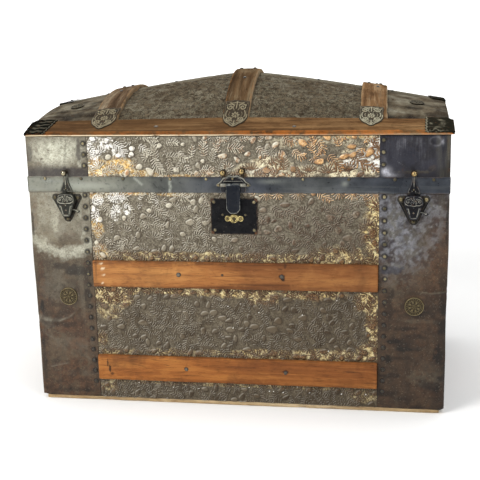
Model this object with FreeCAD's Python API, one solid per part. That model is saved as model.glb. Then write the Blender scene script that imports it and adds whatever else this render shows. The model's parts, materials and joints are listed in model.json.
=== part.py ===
import FreeCAD
import Part
import math
import os

from FreeCAD import Vector as V

os.makedirs("parts", exist_ok=True)

# ---------------------------------------------------------------------------
# Dome top (camelback) trunk. Millimetres, +X to the right, front faces -Y,
# +Z up, the floor is Z = 0 and the origin is under the middle of the whole.
# ---------------------------------------------------------------------------
body_w = 864.0            # over the sheet metal, left to right
body_d = 500.0            # over the sheet metal, front to back
bottom_t = 12.0           # pine bottom board
seam_z = 462.0            # where lid and base part
seam_gap = 0.5            # clear gap between lid and base
rim_h = 118.0             # straight front of the lid, seam to dome edge
crown_mid = 108.2         # rise of the dome above its edge, middle of the length
crown_end = 44.1          # the same at the two ends
peak_power = 1.19         # how the crown falls from the middle to the ends
peak_soft = 0.076         # rounding of the ridge in the middle
arch_power = 1.9          # how the dome rounds over from front to back
facet_d = 52.0            # depth of the flat facet under the edge slats
facet_mid = 24.0          # rise over that facet, middle of the length
facet_end = 17.0          # the same at the ends
board_t = 10.0            # base boards
lid_board_t = 8.0         # lid boards
sheet_t = 1.0             # plain corner sheets
tin_t = 0.6               # embossed sheets
front_proud = 18.0        # how far the ball bumpers stand in front of the sheet
back_proud = 10.5         # how far hinges and slats stand behind it

left_wrap = 131.5         # width of the plain sheet on the front, left side
right_wrap = 136.0        # and right side
band_h = 33.0             # black band round the lid's lower edge
band_t = 1.5

slat_t = 9.0              # wooden slats stand this far off the sheet
slat_hi = (260.2, 317.0)  # upper body slat, bottom and top
slat_lo = (52.1, 107.7)   # lower body slat
edge_slat_w = 53.0        # board along the dome's front and back edge
edge_slat_t = 8.0
bent_slat_w = 54.0        # bent slats over the dome
bent_slat_t = 11.5        # over most of their length
bent_end_t = 8.5          # eased down where the clamps hold their ends
bent_x = (-275.0, 3.0, 283.0)
crown_slat_w = 48.0
crown_slat_t = 3.0

lock_x = 4.0              # middle of the lock, hasp and escutcheon
lock_w, lock_h = 96.0, 74.0
lock_top = seam_z - 11.0
hasp_w = 28.0
hasp_axis_z = seam_z + 17.0
latch_x = (-349.0, 363.0)
medal = ((-359.5, seam_z - 226.0), (368.5, seam_z - 231.0))
medal_r = 19.5

handle_z = 388.0
handle_span = 176.0       # between the two caps
handle_h = 28.0
handle_t = 5.0
handle_bow = 11.0

hinge_x = (-240.0, 240.0)
hinge_w = 60.0
pin_r = 2.4
pin_gap = 0.06            # radial running clearance on every pivot

half_w = body_w / 2.0
YF = -(body_d + back_proud - front_proud) / 2.0   # front sheet surface
YB = YF + body_d                                  # back sheet surface
rim_z = seam_z + rim_h
top_base = seam_z - seam_gap / 2.0
bot_lid = seam_z + seam_gap / 2.0
hinge_y = YB + 6.0
hasp_axis_y = YF - 5.8


# ---------------------------------------------------------------------------
# Helpers
# ---------------------------------------------------------------------------
def box(x0, x1, y0, y1, z0, z1):
    return Part.makeBox(abs(x1 - x0), abs(y1 - y0), abs(z1 - z0),
                        V(min(x0, x1), min(y0, y1), min(z0, z1)))


def cyl(p, axis, r, h):
    return Part.makeCylinder(r, h, V(*p), V(*axis))


def save(name, *shapes):
    solids = []
    for s in shapes:
        if isinstance(s, (list, tuple)):
            for q in s:
                solids += q.Solids
        else:
            solids += s.Solids
    out = solids[0] if len(solids) == 1 else Part.makeCompound(solids)
    out.exportStep("parts/%s.step" % name)
    print("%-24s %3d solids  volume %.1f cm3  valid %s" % (
        name, len(solids), sum(q.Volume for q in solids) / 1000.0,
        all(q.isValid() for q in solids)))
    return out


def chamfer_box(x0, x1, y0, y1, z0, z1, c, keys="front"):
    """A board whose long outer arrises are eased by c."""
    b = box(x0, x1, y0, y1, z0, z1)
    es = []
    for e in b.Edges:
        m = e.CenterOfMass
        if keys == "front" and abs(m.y - y0) < 1e-6:
            es.append(e)
        if keys == "back" and abs(m.y - y1) < 1e-6:
            es.append(e)
        if keys == "left" and abs(m.x - x0) < 1e-6:
            es.append(e)
        if keys == "right" and abs(m.x - x1) < 1e-6:
            es.append(e)
    return b.makeChamfer(c, es)


def head(p, axis, r, h):
    """A nail or rivet head: a low dome on a flat underside at p, rising along axis."""
    R = (r * r + h * h) / (2.0 * h)
    a = Part.Arc(V(r, 0, 0), V(R * math.sin(math.asin(r / R) / 2.0), 0,
                               h - R + R * math.cos(math.asin(r / R) / 2.0)), V(0, 0, h)).toShape()
    base = Part.makeLine(V(0, 0, 0), V(r, 0, 0))
    mid = Part.makeLine(V(0, 0, h), V(0, 0, 0))
    f = Part.Face(Part.Wire([base, a, mid]))
    s = f.revolve(V(0, 0, 0), V(0, 0, 1), 360)
    rot = FreeCAD.Rotation(V(0, 0, 1), V(*axis))
    s.Placement = FreeCAD.Placement(V(*p), rot)
    return Part.Solid(s) if s.ShapeType != "Solid" else s


def front_head(x, z, y, r, h):
    return head((x, y, z), (0, -1, 0), r, h)


def ball(p, r):
    return Part.makeSphere(r, V(*p))


def prism_xz(pts, y0, y1):
    """Closed outline of (x, z) points extruded from y0 to y1."""
    w = Part.makePolygon([V(x, y0, z) for x, z in pts] + [V(pts[0][0], y0, pts[0][1])])
    return Part.Face(w).extrude(V(0, y1 - y0, 0))


def prism_xy(pts, z0, z1):
    w = Part.makePolygon([V(x, y, z0) for x, y in pts] + [V(pts[0][0], pts[0][1], z0)])
    return Part.Face(w).extrude(V(0, 0, z1 - z0))


# ---------------------------------------------------------------------------
# The dome's shape
# ---------------------------------------------------------------------------
def fall(x):
    """0 at the middle of the length, 1 at the ends; a softened power curve."""
    u, e, p = x / half_w, peak_soft, peak_power / 2.0
    return ((u * u + e * e) ** p - e ** (2.0 * p)) / ((1.0 + e * e) ** p - e ** (2.0 * p))


def crown(x):
    return crown_mid - (crown_mid - crown_end) * fall(x)


def facet(x):
    return facet_mid - (facet_mid - facet_end) * fall(x)


def surf(x, s):
    """Height of the dome's sheet above its edge, s behind the front plane."""
    q = min(s, body_d - s)
    zb = facet(x)
    if q <= facet_d:
        return zb * q / facet_d
    t = (q - facet_d) / (body_d / 2.0 - facet_d)
    t = min(t, 1.0)
    return zb + (crown(x) - zb) * (1.0 - (1.0 - t) ** arch_power)


def normal(x, s):
    """Unit normal (dy, dz) of the profile at x; at a kink, the mitred bisector."""
    e = 0.4
    a = (surf(x, s) - surf(x, s - e)) / e
    b = (surf(x, s + e) - surf(x, s)) / e
    n1 = (-a / math.hypot(a, 1), 1 / math.hypot(a, 1))
    n2 = (-b / math.hypot(b, 1), 1 / math.hypot(b, 1))
    m = (n1[0] + n2[0], n1[1] + n2[1])
    L = math.hypot(*m)
    m = (m[0] / L, m[1] / L)
    c = m[0] * n1[0] + m[1] * n1[1]
    return m[0] / c, m[1] / c


def at(x, s, off):
    if s <= 0.0:
        a = facet(x) / facet_d
        n = (-a / math.hypot(a, 1), 1 / math.hypot(a, 1))
    elif s >= body_d:
        a = -facet(x) / facet_d
        n = (-a / math.hypot(a, 1), 1 / math.hypot(a, 1))
    else:
        n = normal(x, s)
    return V(x, YF + s + n[0] * off, rim_z + surf(x, s) + n[1] * off)


ARC = [52.0, 70.0, 92.0, 118.0, 150.0, 185.0, 218.0, 250.0]
ARC = ARC + [body_d - s for s in reversed(ARC[:-1])]


def runs(s0, s1):
    """The stretch s0..s1 cut at the two kinks, each piece a list of stations."""
    k0, k1 = facet_d, body_d - facet_d
    out = []
    if s0 < k0:
        out.append([s0, min(k0, s1)])
    a, b = max(s0, k0), min(s1, k1)
    if b - a > 1e-6:
        mid = [s for s in ARC if a + 4.0 < s < b - 4.0]
        out.append([a] + mid + [b])
    if s1 > k1:
        out.append([max(k1, s0), s1])
    return out


def edge_of(pts):
    if len(pts) == 2:
        return Part.makeLine(pts[0], pts[1])
    c = Part.BSplineCurve()
    c.interpolate(pts)
    return c.toShape()


def section(x, s0, s1, lo, hi):
    """hi is a height, or a function that gives it from the station s."""
    h = hi if callable(hi) else (lambda s: hi)
    up = [edge_of([at(x, s, h(s)) for s in r]) for r in runs(s0, s1)]
    dn = [edge_of([at(x, s, lo) for s in reversed(r)]) for r in reversed(runs(s0, s1))]
    e = up + [Part.makeLine(at(x, s1, h(s1)), at(x, s1, lo))] + dn + [
        Part.makeLine(at(x, s0, lo), at(x, s0, h(s0)))]
    return Part.Wire(e)


def bent_top(s):
    """Height of a bent slat's face above the dome at station s."""
    t = min(max((min(s, body_d - s) - 92.0) / 68.0, 0.0), 1.0)
    return bent_end_t + (bent_slat_t - bent_end_t) * t * t * (3.0 - 2.0 * t)


def slab(x0, x1, s0, s1, lo, hi, ruled=False):
    """Solid between the dome surface offset by lo and by hi, x0..x1 by s0..s1.
    It is lofted between profiles."""
    n = max(2, int(math.ceil(abs(x1 - x0) / 40.0)) + 1)
    xs = [x0 + (x1 - x0) * i / (n - 1) for i in range(n)]
    w = [section(x, s0, s1, lo, hi) for x in xs]
    return Part.makeLoft(w, True, ruled or n == 2)


def on_dome(x, s, off, r, h):
    """A nail head or boss standing square on the dome, off above its surface."""
    e = 0.5
    gx = (surf(x + e, s) - surf(x - e, s)) / (2 * e)
    gs = (surf(x, s + e) - surf(x, s - e)) / (2 * e)
    p = at(x, s, off)
    return head((p.x, p.y, p.z), (-gx, -gs, 1.0), r, h)


# ---------------------------------------------------------------------------
# Base: bottom, boards, inner lip
# ---------------------------------------------------------------------------
bx = half_w - sheet_t
by0, by1 = YF + sheet_t, YB - sheet_t

save("bottom_board", chamfer_box(-half_w + 9, half_w - 9, YF + 1.0, YB - 1.0, 0, bottom_t, 0.8))

mort_x0, mort_x1 = lock_x - 33.0, lock_x + 33.0
mort_z0, mort_z1 = 390.0, 444.0
front_board = box(-bx, bx, by0, by0 + board_t, bottom_t, top_base).cut(
    box(mort_x0, mort_x1, by0 - 1, by0 + board_t + 1, mort_z0, mort_z1))
save("front_board", front_board)
save("back_board", box(-bx, bx, by1 - board_t, by1, bottom_t, top_base))
for side, sx in (("left", -1), ("right", 1)):
    save("%s_end_board" % side,
         box(sx * bx, sx * (bx - board_t), by0 + board_t, by1 - board_t, bottom_t, top_base))

# Thin wooden lip inside the base, standing up into the lid to locate it.
lip_t, lip_z0, lip_z1 = 6.0, 446.0, seam_z + 12.0
ix, iy0, iy1 = bx - board_t, by0 + board_t, by1 - board_t
save("rim_strips",
     box(-ix, ix, iy0, iy0 + lip_t, lip_z0, lip_z1),
     box(-ix, ix, iy1 - lip_t, iy1, lip_z0, lip_z1),
     box(-ix, -ix + lip_t, iy0 + lip_t, iy1 - lip_t, lip_z0, lip_z1),
     box(ix - lip_t, ix, iy0 + lip_t, iy1 - lip_t, lip_z0, lip_z1))


# ---------------------------------------------------------------------------
# Sheet metal on the base
# ---------------------------------------------------------------------------
xl, xr = -half_w + left_wrap, half_w - right_wrap
tin = box(xl, xr, YF + sheet_t - tin_t, YF + sheet_t, bottom_t, top_base).cut(
    box(mort_x0, mort_x1, YF - 5, YF + 5, mort_z0, mort_z1))
save("front_tin", tin)
save("back_tin", box(xl, xr, YB - sheet_t, YB - sheet_t + tin_t, bottom_t, top_base))


def wrap(sx, w, z0, z1):
    """Plain sheet over one end, folded round both corners onto front and back."""
    x1 = sx * half_w
    x0 = sx * (half_w - w)
    outer = box(x0, x1, YF, YB, z0, z1)
    inner = box(x0 - sx * 10, x1 - sx * sheet_t, YF + sheet_t, YB - sheet_t, z0 - 1, z1 + 1)
    s = outer.cut(inner)
    es = [e for e in s.Edges if abs(e.Vertexes[0].X - x1) < 1e-6 and abs(e.Vertexes[-1].X - x1) < 1e-6
          and abs(e.Vertexes[0].Z - e.Vertexes[-1].Z) > 10 and
          (abs(e.Vertexes[0].Y - YF) < 1e-6 or abs(e.Vertexes[0].Y - YB) < 1e-6)]
    return s.makeFillet(1.4, es)


save("left_end_sheet", wrap(-1, left_wrap, bottom_t, top_base))
save("right_end_sheet", wrap(1, right_wrap, bottom_t, top_base))

# ---------------------------------------------------------------------------
# Wooden slats on the base
# ---------------------------------------------------------------------------
fy = YF + sheet_t - tin_t
save("front_slats",
     chamfer_box(xl + 0.2, xr - 0.2, YF - slat_t, fy, slat_hi[0], slat_hi[1], 1.5),
     chamfer_box(xl + 0.2, xr - 0.2, YF - slat_t, fy, slat_lo[0], slat_lo[1], 1.5))
bys = YB - sheet_t + tin_t
rear = [chamfer_box(xl, xr, bys, YB + slat_t, a, b, 1.5, "back") for a, b in (slat_hi, slat_lo)]
ends = []
for sx in (-1, 1):
    for a, b in (slat_hi, slat_lo):
        ends.append(chamfer_box(sx * half_w, sx * (half_w + slat_t - 1.0), YF + 134.0, YB - 134.0, a, b,
                                1.5, "left" if sx < 0 else "right"))
save("rear_and_end_slats", rear, ends)

# ---------------------------------------------------------------------------
# Tacks along the sheet edges and nails in the slats of the base
# ---------------------------------------------------------------------------
tacks = []
pitch = 24.2
lx, rx = xl - 9.0, xr + 10.0
z = seam_z - 6.0
k = 0
while z > 22.0:
    drift = 3.0 * math.sin(math.pi * (seam_z - z) / 440.0)
    for x in (lx - drift, rx + drift):
        tacks.append(front_head(x, z, YF, 3.6, 2.0))
        tacks.append(head((x, YB, z), (0, 1, 0), 3.6, 2.0))
    z -= pitch
    k += 1
for (a, b), xs in ((slat_hi, (-115.0, 101.0)), (slat_lo, (-106.0, 106.5))):
    zc = (a + b) / 2.0 + 1.5
    for x in xs:
        tacks.append(front_head(x, zc, YF - slat_t, 3.6, 1.6))
    for x in (-250.0, -100.0, 100.0, 250.0):
        tacks.append(head((x, YB + slat_t, zc), (0, 1, 0), 3.0, back_proud - slat_t))
    for sx in (-1, 1):
        for y in (YF + 160.0, YB - 160.0):
            tacks.append(head((sx * (half_w + slat_t - 1.0), y, zc), (sx, 0, 0), 3.6, 1.6))
tacks.append(front_head(-23.0, 291.0, YF - slat_t, 2.0, 1.0))
save("base_nails", tacks)

# Stamped rosette medallions on the plain sheets.
save("medallions", [
    Part.makeCone(medal_r, medal_r - 2.0, 3.0, V(x, YF, z), V(0, -1, 0)).fuse(
        head((x, YF - 3.0, z), (0, -1, 0), 9.0, 2.2)) for x, z in medal])

# ---------------------------------------------------------------------------
# Lock: face plate, case, bolt, spring and keyhole
# ---------------------------------------------------------------------------
plate_y0, plate_y1 = YF - 2.4, fy
stap_z0, stap_z1 = 429.0, 441.5         # hasp staple, bottom and top
slot_z0, slot_z1 = 423.5, 443.0
key_z = seam_z - 52.5
plate = box(lock_x - lock_w / 2, lock_x + lock_w / 2, plate_y0, plate_y1, lock_top - lock_h, lock_top)
plate = plate.cut(box(lock_x - 4.2, lock_x + 4.2, plate_y0 - 1, plate_y1 + 1, slot_z0, slot_z1))
plate = plate.cut(cyl((lock_x, plate_y0 - 1, key_z), (0, 1, 0), 5.0, 12))
save("lock_plate", plate)

case_y1 = YF + 15.0
case = box(lock_x - 32, lock_x + 32, fy, case_y1, 391.0, 443.0)
case = case.cut(box(lock_x - 30.4, lock_x + 30.4, fy - 1, case_y1 - 1.6, 392.6, 442.4))
post = cyl((lock_x, case_y1 - 0.8, key_z), (0, -1, 0), 2.0, case_y1 - 0.8 - (plate_y0 + 0.4))
case = case.fuse(post)
# two guide blocks that the bolt slides between
bolt_z0, bolt_z1 = 432.6, 437.6
for z0, z1 in ((bolt_z0 - 4.6, bolt_z0 - 0.1), (bolt_z1 + 0.1, 442.5)):
    case = case.fuse(box(lock_x + 16.0, lock_x + 21.0, YF + 4.0, case_y1 - 1.5, z0, z1))
save("lock_case", case)

bolt = box(lock_x + 3.2, lock_x + 25.0, YF + 5.2, YF + 8.2, bolt_z0, bolt_z1)
bolt = bolt.fuse(box(lock_x + 11.4, lock_x + 14.4, YF + 5.2, YF + 8.2, bolt_z0 - 9.0, bolt_z0 + 0.5))
save("lock_bolt", bolt)
# flat spring that keeps the bolt where the key leaves it
spring = box(lock_x + 17.0, lock_x + 30.4, YF + 9.0, YF + 9.6, 433.8, 436.4).fuse(
    box(lock_x + 29.4, lock_x + 30.4, YF + 9.0, case_y1 - 1.6, 433.8, 436.4))
save("lock_spring", spring)

# Brass escutcheon round the keyhole: a collar and two riveted lobes.
esc = cyl((lock_x, plate_y0, key_z), (0, -1, 0), 9.2, 3.4)
esc = esc.fuse(prism_xz([(lock_x - 13.5, key_z - 6.6), (lock_x + 13.5, key_z - 6.6), (lock_x + 19.6, key_z),
                         (lock_x + 13.5, key_z + 6.6), (lock_x - 13.5, key_z + 6.6), (lock_x - 19.6, key_z)],
                        plate_y0, plate_y0 - 1.6))
esc = esc.cut(cyl((lock_x, plate_y0 + 1, key_z), (0, -1, 0), 5.0, 8))
save("keyhole_escutcheon", esc)

# ---------------------------------------------------------------------------
# Side latches: a plate with ears and a hollow housing on the base, a sprung
# lever inside it with a thumb tab, and a keeper with a tongue on the lid.
# ---------------------------------------------------------------------------
house_y0, house_y1 = YF - 13.0, YF - 2.0
lev_y0, lev_y1 = YF - 8.6, YF - 5.8
piv_w = -36.0


def latch_plate(cx):
    def P(l):
        return [(cx + u, seam_z + w) for u, w in l]
    flat = prism_xz(P([(-29, -5), (29, -5), (30.5, -14), (9, -57), (5, -61.5), (-4, -61.5), (-8, -57), (-30.5, -14)]),
                    YF - 2.0, YF)
    for u in (-24.5, 24.5):
        flat = flat.fuse(cyl((cx + u, YF - 2.0, seam_z - 10.5), (0, 1, 0), 7.4, 2.0))
    body = prism_xz(P([(-12.5, -1.5), (12.5, -1.5), (16.5, -5.5), (18.3, -10.5), (19.2, -15.5), (17.6, -21), (14.2, -31),
                       (9.2, -46), (5.6, -50), (-5.6, -50), (-9.2, -46), (-14.2, -31), (-17.6, -21), (-19.2, -15.5),
                       (-18.3, -10.5), (-16.5, -5.5)]), house_y0, house_y1)
    hollow = prism_xz(P([(-9.5, 2), (9.5, 2), (9.7, -2.5), (15.6, -15), (12.6, -21.8), (10.8, -24.6), (5.0, -45),
                         (-5.0, -45), (-10.8, -24.6), (-12.6, -21.8), (-15.6, -15), (-9.7, -2.5)]),
                      house_y0 + 1.8, house_y1 + 0.01)
    body = body.cut(hollow)
    # slot in the right flank for the thumb tab
    body = body.cut(box(cx + 4.0, cx + 22.0, lev_y0 - 0.8, lev_y1 + 0.8, seam_z + piv_w - 7.2, seam_z + piv_w + 6.2))
    # the dark keyhole-like slot in the housing's face
    body = body.cut(box(cx - 1.4, cx + 1.4, house_y0 - 1, house_y0 + 2.5, seam_z - 38.0 + 6.0, seam_z - 26.0))
    s = flat.fuse(body)
    s = s.cut(cyl((cx, house_y0 - 1, seam_z + piv_w), (0, 1, 0), pin_r_l, 20))
    return s


pin_r_l = 1.6


def latch_lever(cx):
    def P(l):
        return [(cx + u, seam_z + w) for u, w in l]
    # arm with its nib, hub and thumb tab, in one flat piece
    arm = prism_xz(P([(-2.6, piv_w), (2.6, piv_w - 2), (8.6, -26.0), (8.6, -9.4), (6.2, -9.4), (2.9, -10.6),
                      (2.9, -13.4), (6.2, -14.0), (6.2, -24.0), (-0.5, piv_w + 3.0)]), lev_y0, lev_y1)
    hub = cyl((cx, lev_y0, seam_z + piv_w), (0, 1, 0), 3.9, lev_y1 - lev_y0)
    tab = prism_xz(P([(1.0, piv_w - 2.6), (1.0, piv_w + 2.2), (20.0, piv_w + 1.4), (27.0, piv_w - 0.6),
                      (27.0, piv_w - 3.6), (20.0, piv_w - 3.8)]), lev_y0, lev_y1)
    s = arm.fuse(hub).fuse(tab)
    return s.cut(cyl((cx, lev_y0 - 1, seam_z + piv_w), (0, 1, 0), pin_r_l + pin_gap, 10))


def latch_keeper(cx):
    def P(l):
        return [(cx + u, seam_z + w) for u, w in l]
    y1 = YF - band_t
    face = prism_xz(P([(-11.6, 0.8), (11.6, 0.8), (11.0, 9), (5.2, 24), (4.6, 36), (4.6, 42), (-4.6, 42), (-4.6, 36),
                       (-5.2, 24), (-11.0, 9)]), y1 - 3.0, y1)
    face = face.fuse(ball((cx, YF - front_proud + 6.6, seam_z + 42.0), 6.6))
    face = face.fuse(cyl((cx, YF - 11.0, seam_z + 42.0), (0, 1, 0), 4.6, 11.0))
    rib = box(cx - 1.8, cx + 1.8, y1 - 5.0, y1 - 2.5, seam_z + 14.0, seam_z + 36.0)
    # tongue stepping forward and down into the housing, with a notch for the nib
    shelf = box(cx - 7.0, cx + 2.2, lev_y0, y1 - 2.0, seam_z + 1.6, seam_z + 5.0)
    tongue = box(cx - 7.0, cx + 2.2, lev_y0, lev_y1, seam_z - 18.0, seam_z + 5.0)
    tongue = tongue.cut(box(cx - 1.4, cx + 4.0, lev_y0 - 1, lev_y1 + 1, seam_z - 14.6, seam_z - 8.2))
    return face.fuse(rib).fuse(shelf).fuse(tongue)


save("latch_plate_left", latch_plate(latch_x[0]))
save("latch_plate_right", latch_plate(latch_x[1]))
save("latch_lever_left", latch_lever(latch_x[0]))
save("latch_lever_right", latch_lever(latch_x[1]))
save("latch_keepers", latch_keeper(latch_x[0]), latch_keeper(latch_x[1]))
save("latch_pins", [cyl((cx, house_y0 - 0.6, seam_z + piv_w), (0, 1, 0), pin_r_l, YF - house_y0 + 0.6)
                    for cx in latch_x])
save("latch_springs", [prism_xz([(cx + 10.9, seam_z - 10.0), (cx + 11.7, seam_z - 10.0), (cx + 10.1, seam_z - 24.6),
                                 (cx + 9.3, seam_z - 24.6)], lev_y0 + 0.3, YF - 2.0) for cx in latch_x])

# ---------------------------------------------------------------------------
# Hinges: two butt hinges, base leaf with two knuckles and lid leaf with one
# ---------------------------------------------------------------------------
kr = 4.5


def leaf(hx, lid):
    k3 = hinge_w / 3.0
    if lid:
        y0 = YB + band_t
        flat = box(hx - hinge_w / 2, hx + hinge_w / 2, y0, y0 + 2.2, seam_z + 6.5, seam_z + 62.0)
        web = box(hx - k3 / 2 + 0.3, hx + k3 / 2 - 0.3, y0, y0 + 2.2, seam_z + 1.0, seam_z + 7.0)
        s = flat.fuse(web).fuse(cyl((hx - k3 / 2 + 0.3, hinge_y, seam_z), (1, 0, 0), kr, k3 - 0.6))
    else:
        y0 = YB
        flat = box(hx - hinge_w / 2, hx + hinge_w / 2, y0, y0 + 2.2, seam_z - 55.0, seam_z - 6.5)
        s = flat
        for a in (hx - hinge_w / 2, hx + k3 / 2):
            s = s.fuse(box(a, a + k3, y0, y0 + 2.2, seam_z - 7.0, seam_z - 1.0))
            s = s.fuse(cyl((a, hinge_y, seam_z), (1, 0, 0), kr, k3))
    return s.cut(cyl((hx - hinge_w, hinge_y, seam_z), (1, 0, 0), pin_r + (pin_gap if lid else 0.0), hinge_w * 2))


save("hinge_base_leaves", [leaf(h, False) for h in hinge_x])
save("hinge_lid_leaves", [leaf(h, True) for h in hinge_x])
save("hinge_pins", [cyl((h - hinge_w / 2 - 1.0, hinge_y, seam_z), (1, 0, 0), pin_r, hinge_w + 2.0) for h in hinge_x])

# ---------------------------------------------------------------------------
# Leather end handles in stamped caps
# ---------------------------------------------------------------------------
ymid = (YF + YB) / 2.0


def handle(sx):
    x0 = half_w + 0.3
    hs = handle_span / 2.0
    n = 12
    def xo(y):
        t = abs(y) / hs
        if t >= 1.0:
            return x0
        return x0 + handle_bow * 0.5 * (1 + math.cos(math.pi * t))
    ys = [-hs + 2 * hs * i / n for i in range(n + 1)]
    outer = [V(sx * (xo(y) + handle_t), ymid + y, 0) for y in ys]
    inner = [V(sx * xo(y), ymid + y, 0) for y in ys]
    tail = 34.0
    a = V(sx * x0, ymid - hs - tail, 0)
    b = V(sx * (x0 + handle_t), ymid - hs - tail, 0)
    c = V(sx * (x0 + handle_t), ymid + hs + tail, 0)
    d = V(sx * x0, ymid + hs + tail, 0)
    co = Part.BSplineCurve()
    co.interpolate(outer)
    ci = Part.BSplineCurve()
    ci.interpolate(list(reversed(inner)))
    w = Part.Wire([Part.makeLine(a, b), Part.makeLine(b, outer[0]), co.toShape(), Part.makeLine(outer[-1], c),
                   Part.makeLine(c, d), Part.makeLine(d, inner[-1]), ci.toShape(), Part.makeLine(inner[0], a)])
    f = Part.Face(w)
    f.translate(V(0, 0, handle_z - handle_h / 2))
    return f.extrude(V(0, 0, handle_h))


save("handle_left", handle(-1))
save("handle_right", handle(1))


def cap(sx, side):
    y0 = ymid + side * (handle_span / 2.0 + 1.0)
    y1 = y0 + side * 40.0
    x1 = half_w + handle_t + 3.2
    b = box(sx * half_w, sx * x1, y0, y1, handle_z - 22.0, handle_z + 22.0)
    es = [e for e in b.Edges if abs(e.CenterOfMass.x - sx * x1) < 1e-6]
    b = b.makeChamfer(2.4, es)
    return b.cut(box(sx * (half_w - 1), sx * (half_w + handle_t + 0.3), y0 - side * 1, y1 - side * 3.0,
                     handle_z - handle_h / 2 - 0.4, handle_z + handle_h / 2 + 0.4))


save("handle_caps", [cap(sx, side) for sx in (-1, 1) for side in (-1, 1)])

# Rivets and pins that hold the base's hardware.
riv = []
for dx, dz in ((-41.5, -7.0), (41.5, -7.0), (-40.0, -65.5), (41.5, -65.5)):
    riv.append(front_head(lock_x + dx, lock_top + dz, plate_y0, 3.6, 1.8))
for dx in (-23.6, 23.6):
    riv.append(front_head(lock_x + dx, key_z + 7.8, plate_y0, 2.6, 1.6))
for dx in (-13.6, 13.6):
    riv.append(front_head(lock_x + dx, key_z, plate_y0 - 1.6, 2.6, 1.5))
for cx in latch_x:
    for u in (-24.5, 24.5):
        riv.append(front_head(cx + u, seam_z - 10.5, YF - 2.0, 4.6, 2.6))
    riv.append(front_head(cx + 0.5, seam_z - 55.5, YF - 2.0, 4.2, 2.6))
for sx in (-1, 1):
    for side in (-1, 1):
        yc = ymid + side * (handle_span / 2.0 + 21.0)
        for dz in (-17.2, 17.2):
            riv.append(head((sx * (half_w + handle_t + 3.2), yc, handle_z + dz), (sx, 0, 0), 2.0, 1.2))
for h in hinge_x:
    for u in (-20, 0, 20):
        for dz in (-20.0, -44.0):
            riv.append(head((h + u, YB + 2.2, seam_z + dz), (0, 1, 0), 3.2, 1.6))
save("base_rivets", riv)

# ---------------------------------------------------------------------------
# Lid: boards and dome
# ---------------------------------------------------------------------------
lby0, lby1 = by0 + lid_board_t, by1 - lid_board_t
lid_top = rim_z - 8.5
save("lid_front_board", box(-bx, bx, by0, lby0, bot_lid, lid_top))
save("lid_back_board", box(-bx, bx, lby1, by1, bot_lid, lid_top))


def arch_face(x, s0, s1, off, z_low):
    """Upright face at x with a flat foot and the dome's profile for its top."""
    e = [edge_of([at(x, s, off) for s in r]) for r in runs(s0, s1)]
    p0, p1 = at(x, s0, off), at(x, s1, off)
    a = V(x, p0.y, z_low)
    b = V(x, p1.y, z_low)
    return Part.Face(Part.Wire(e + [Part.makeLine(p1, b), Part.makeLine(b, a), Part.makeLine(a, p0)]))


for side, sx in (("left", -1), ("right", 1)):
    f = arch_face(sx * half_w, 6.7, body_d - 6.7, -10.1, bot_lid)
    f.translate(V(-sx * sheet_t, 0, 0))
    save("lid_%s_end_board" % side, f.extrude(V(-sx * lid_board_t, 0, 0)))

save("dome_boards", slab(-bx, bx, 3.2, body_d - 3.2, -sheet_t - lid_board_t, -sheet_t - 0.12))

# ---------------------------------------------------------------------------
# Lid sheet metal
# ---------------------------------------------------------------------------
skirt_top = rim_z - 2.2
save("lid_front_tin", box(xl, xr, YF + sheet_t - tin_t, YF + sheet_t, bot_lid, skirt_top))
save("lid_back_tin", box(xl, xr, YB - sheet_t, YB - sheet_t + tin_t, bot_lid, skirt_top))


def lid_end(sx, w):
    low = wrap(sx, w, bot_lid, skirt_top)
    f = arch_face(sx * half_w, 2.0, body_d - 2.0, -sheet_t - 0.3, skirt_top - 4.0)
    return low.fuse(f.extrude(V(-sx * sheet_t, 0, 0))).removeSplitter()


save("lid_left_end_sheet", lid_end(-1, left_wrap))
save("lid_right_end_sheet", lid_end(1, right_wrap))

save("dome_tin", slab(bent_x[0], bent_x[2], 0.0, body_d, -sheet_t, 0.0))
save("dome_end_sheets",
     slab(-half_w, bent_x[0] - 0.2, 0.0, body_d, -sheet_t, 0.0),
     slab(bent_x[2] + 0.2, half_w, 0.0, body_d, -sheet_t, 0.0))

# Black band round the lid's lower edge.
band = box(-half_w - band_t, half_w + band_t, YF - band_t, YB + band_t, bot_lid, seam_z + band_h)
band = band.cut(box(-half_w, half_w, YF, YB, bot_lid - 1, seam_z + band_h + 1))
save("lid_band", band)

# ---------------------------------------------------------------------------
# Slats on the lid
# ---------------------------------------------------------------------------
gap = 0.10                # hair gap between curved neighbours
over = 2.6
save("front_edge_slat", slab(-half_w, half_w, -5.0, edge_slat_w - 1.8, gap, edge_slat_t).common(
    box(-half_w, half_w, YF - over, YF + 100, rim_z - 50, rim_z + 200)))
save("back_edge_slat", slab(-half_w, half_w, body_d - edge_slat_w + 1.8, body_d + 5.0, gap, edge_slat_t).common(
    box(-half_w, half_w, YB - 100, YB + over, rim_z - 50, rim_z + 200)))
for nm, cx in zip(("left", "centre", "right"), bent_x):
    save("dome_slat_%s" % nm, slab(cx - bent_slat_w / 2, cx + bent_slat_w / 2, 53.5, body_d - 53.5, gap, bent_top))
hw = bent_slat_w / 2.0
cs = []
for a, b in ((-half_w, bent_x[0] - hw - 0.5), (bent_x[0] + hw + 0.5, bent_x[1] - hw - 0.5),
             (bent_x[1] + hw + 0.5, bent_x[2] - hw - 0.5), (bent_x[2] + hw + 0.5, half_w)):
    cs.append(slab(a, b, body_d / 2 - crown_slat_w / 2, body_d / 2 + crown_slat_w / 2, gap, crown_slat_t))
save("crown_slats", cs)

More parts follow.
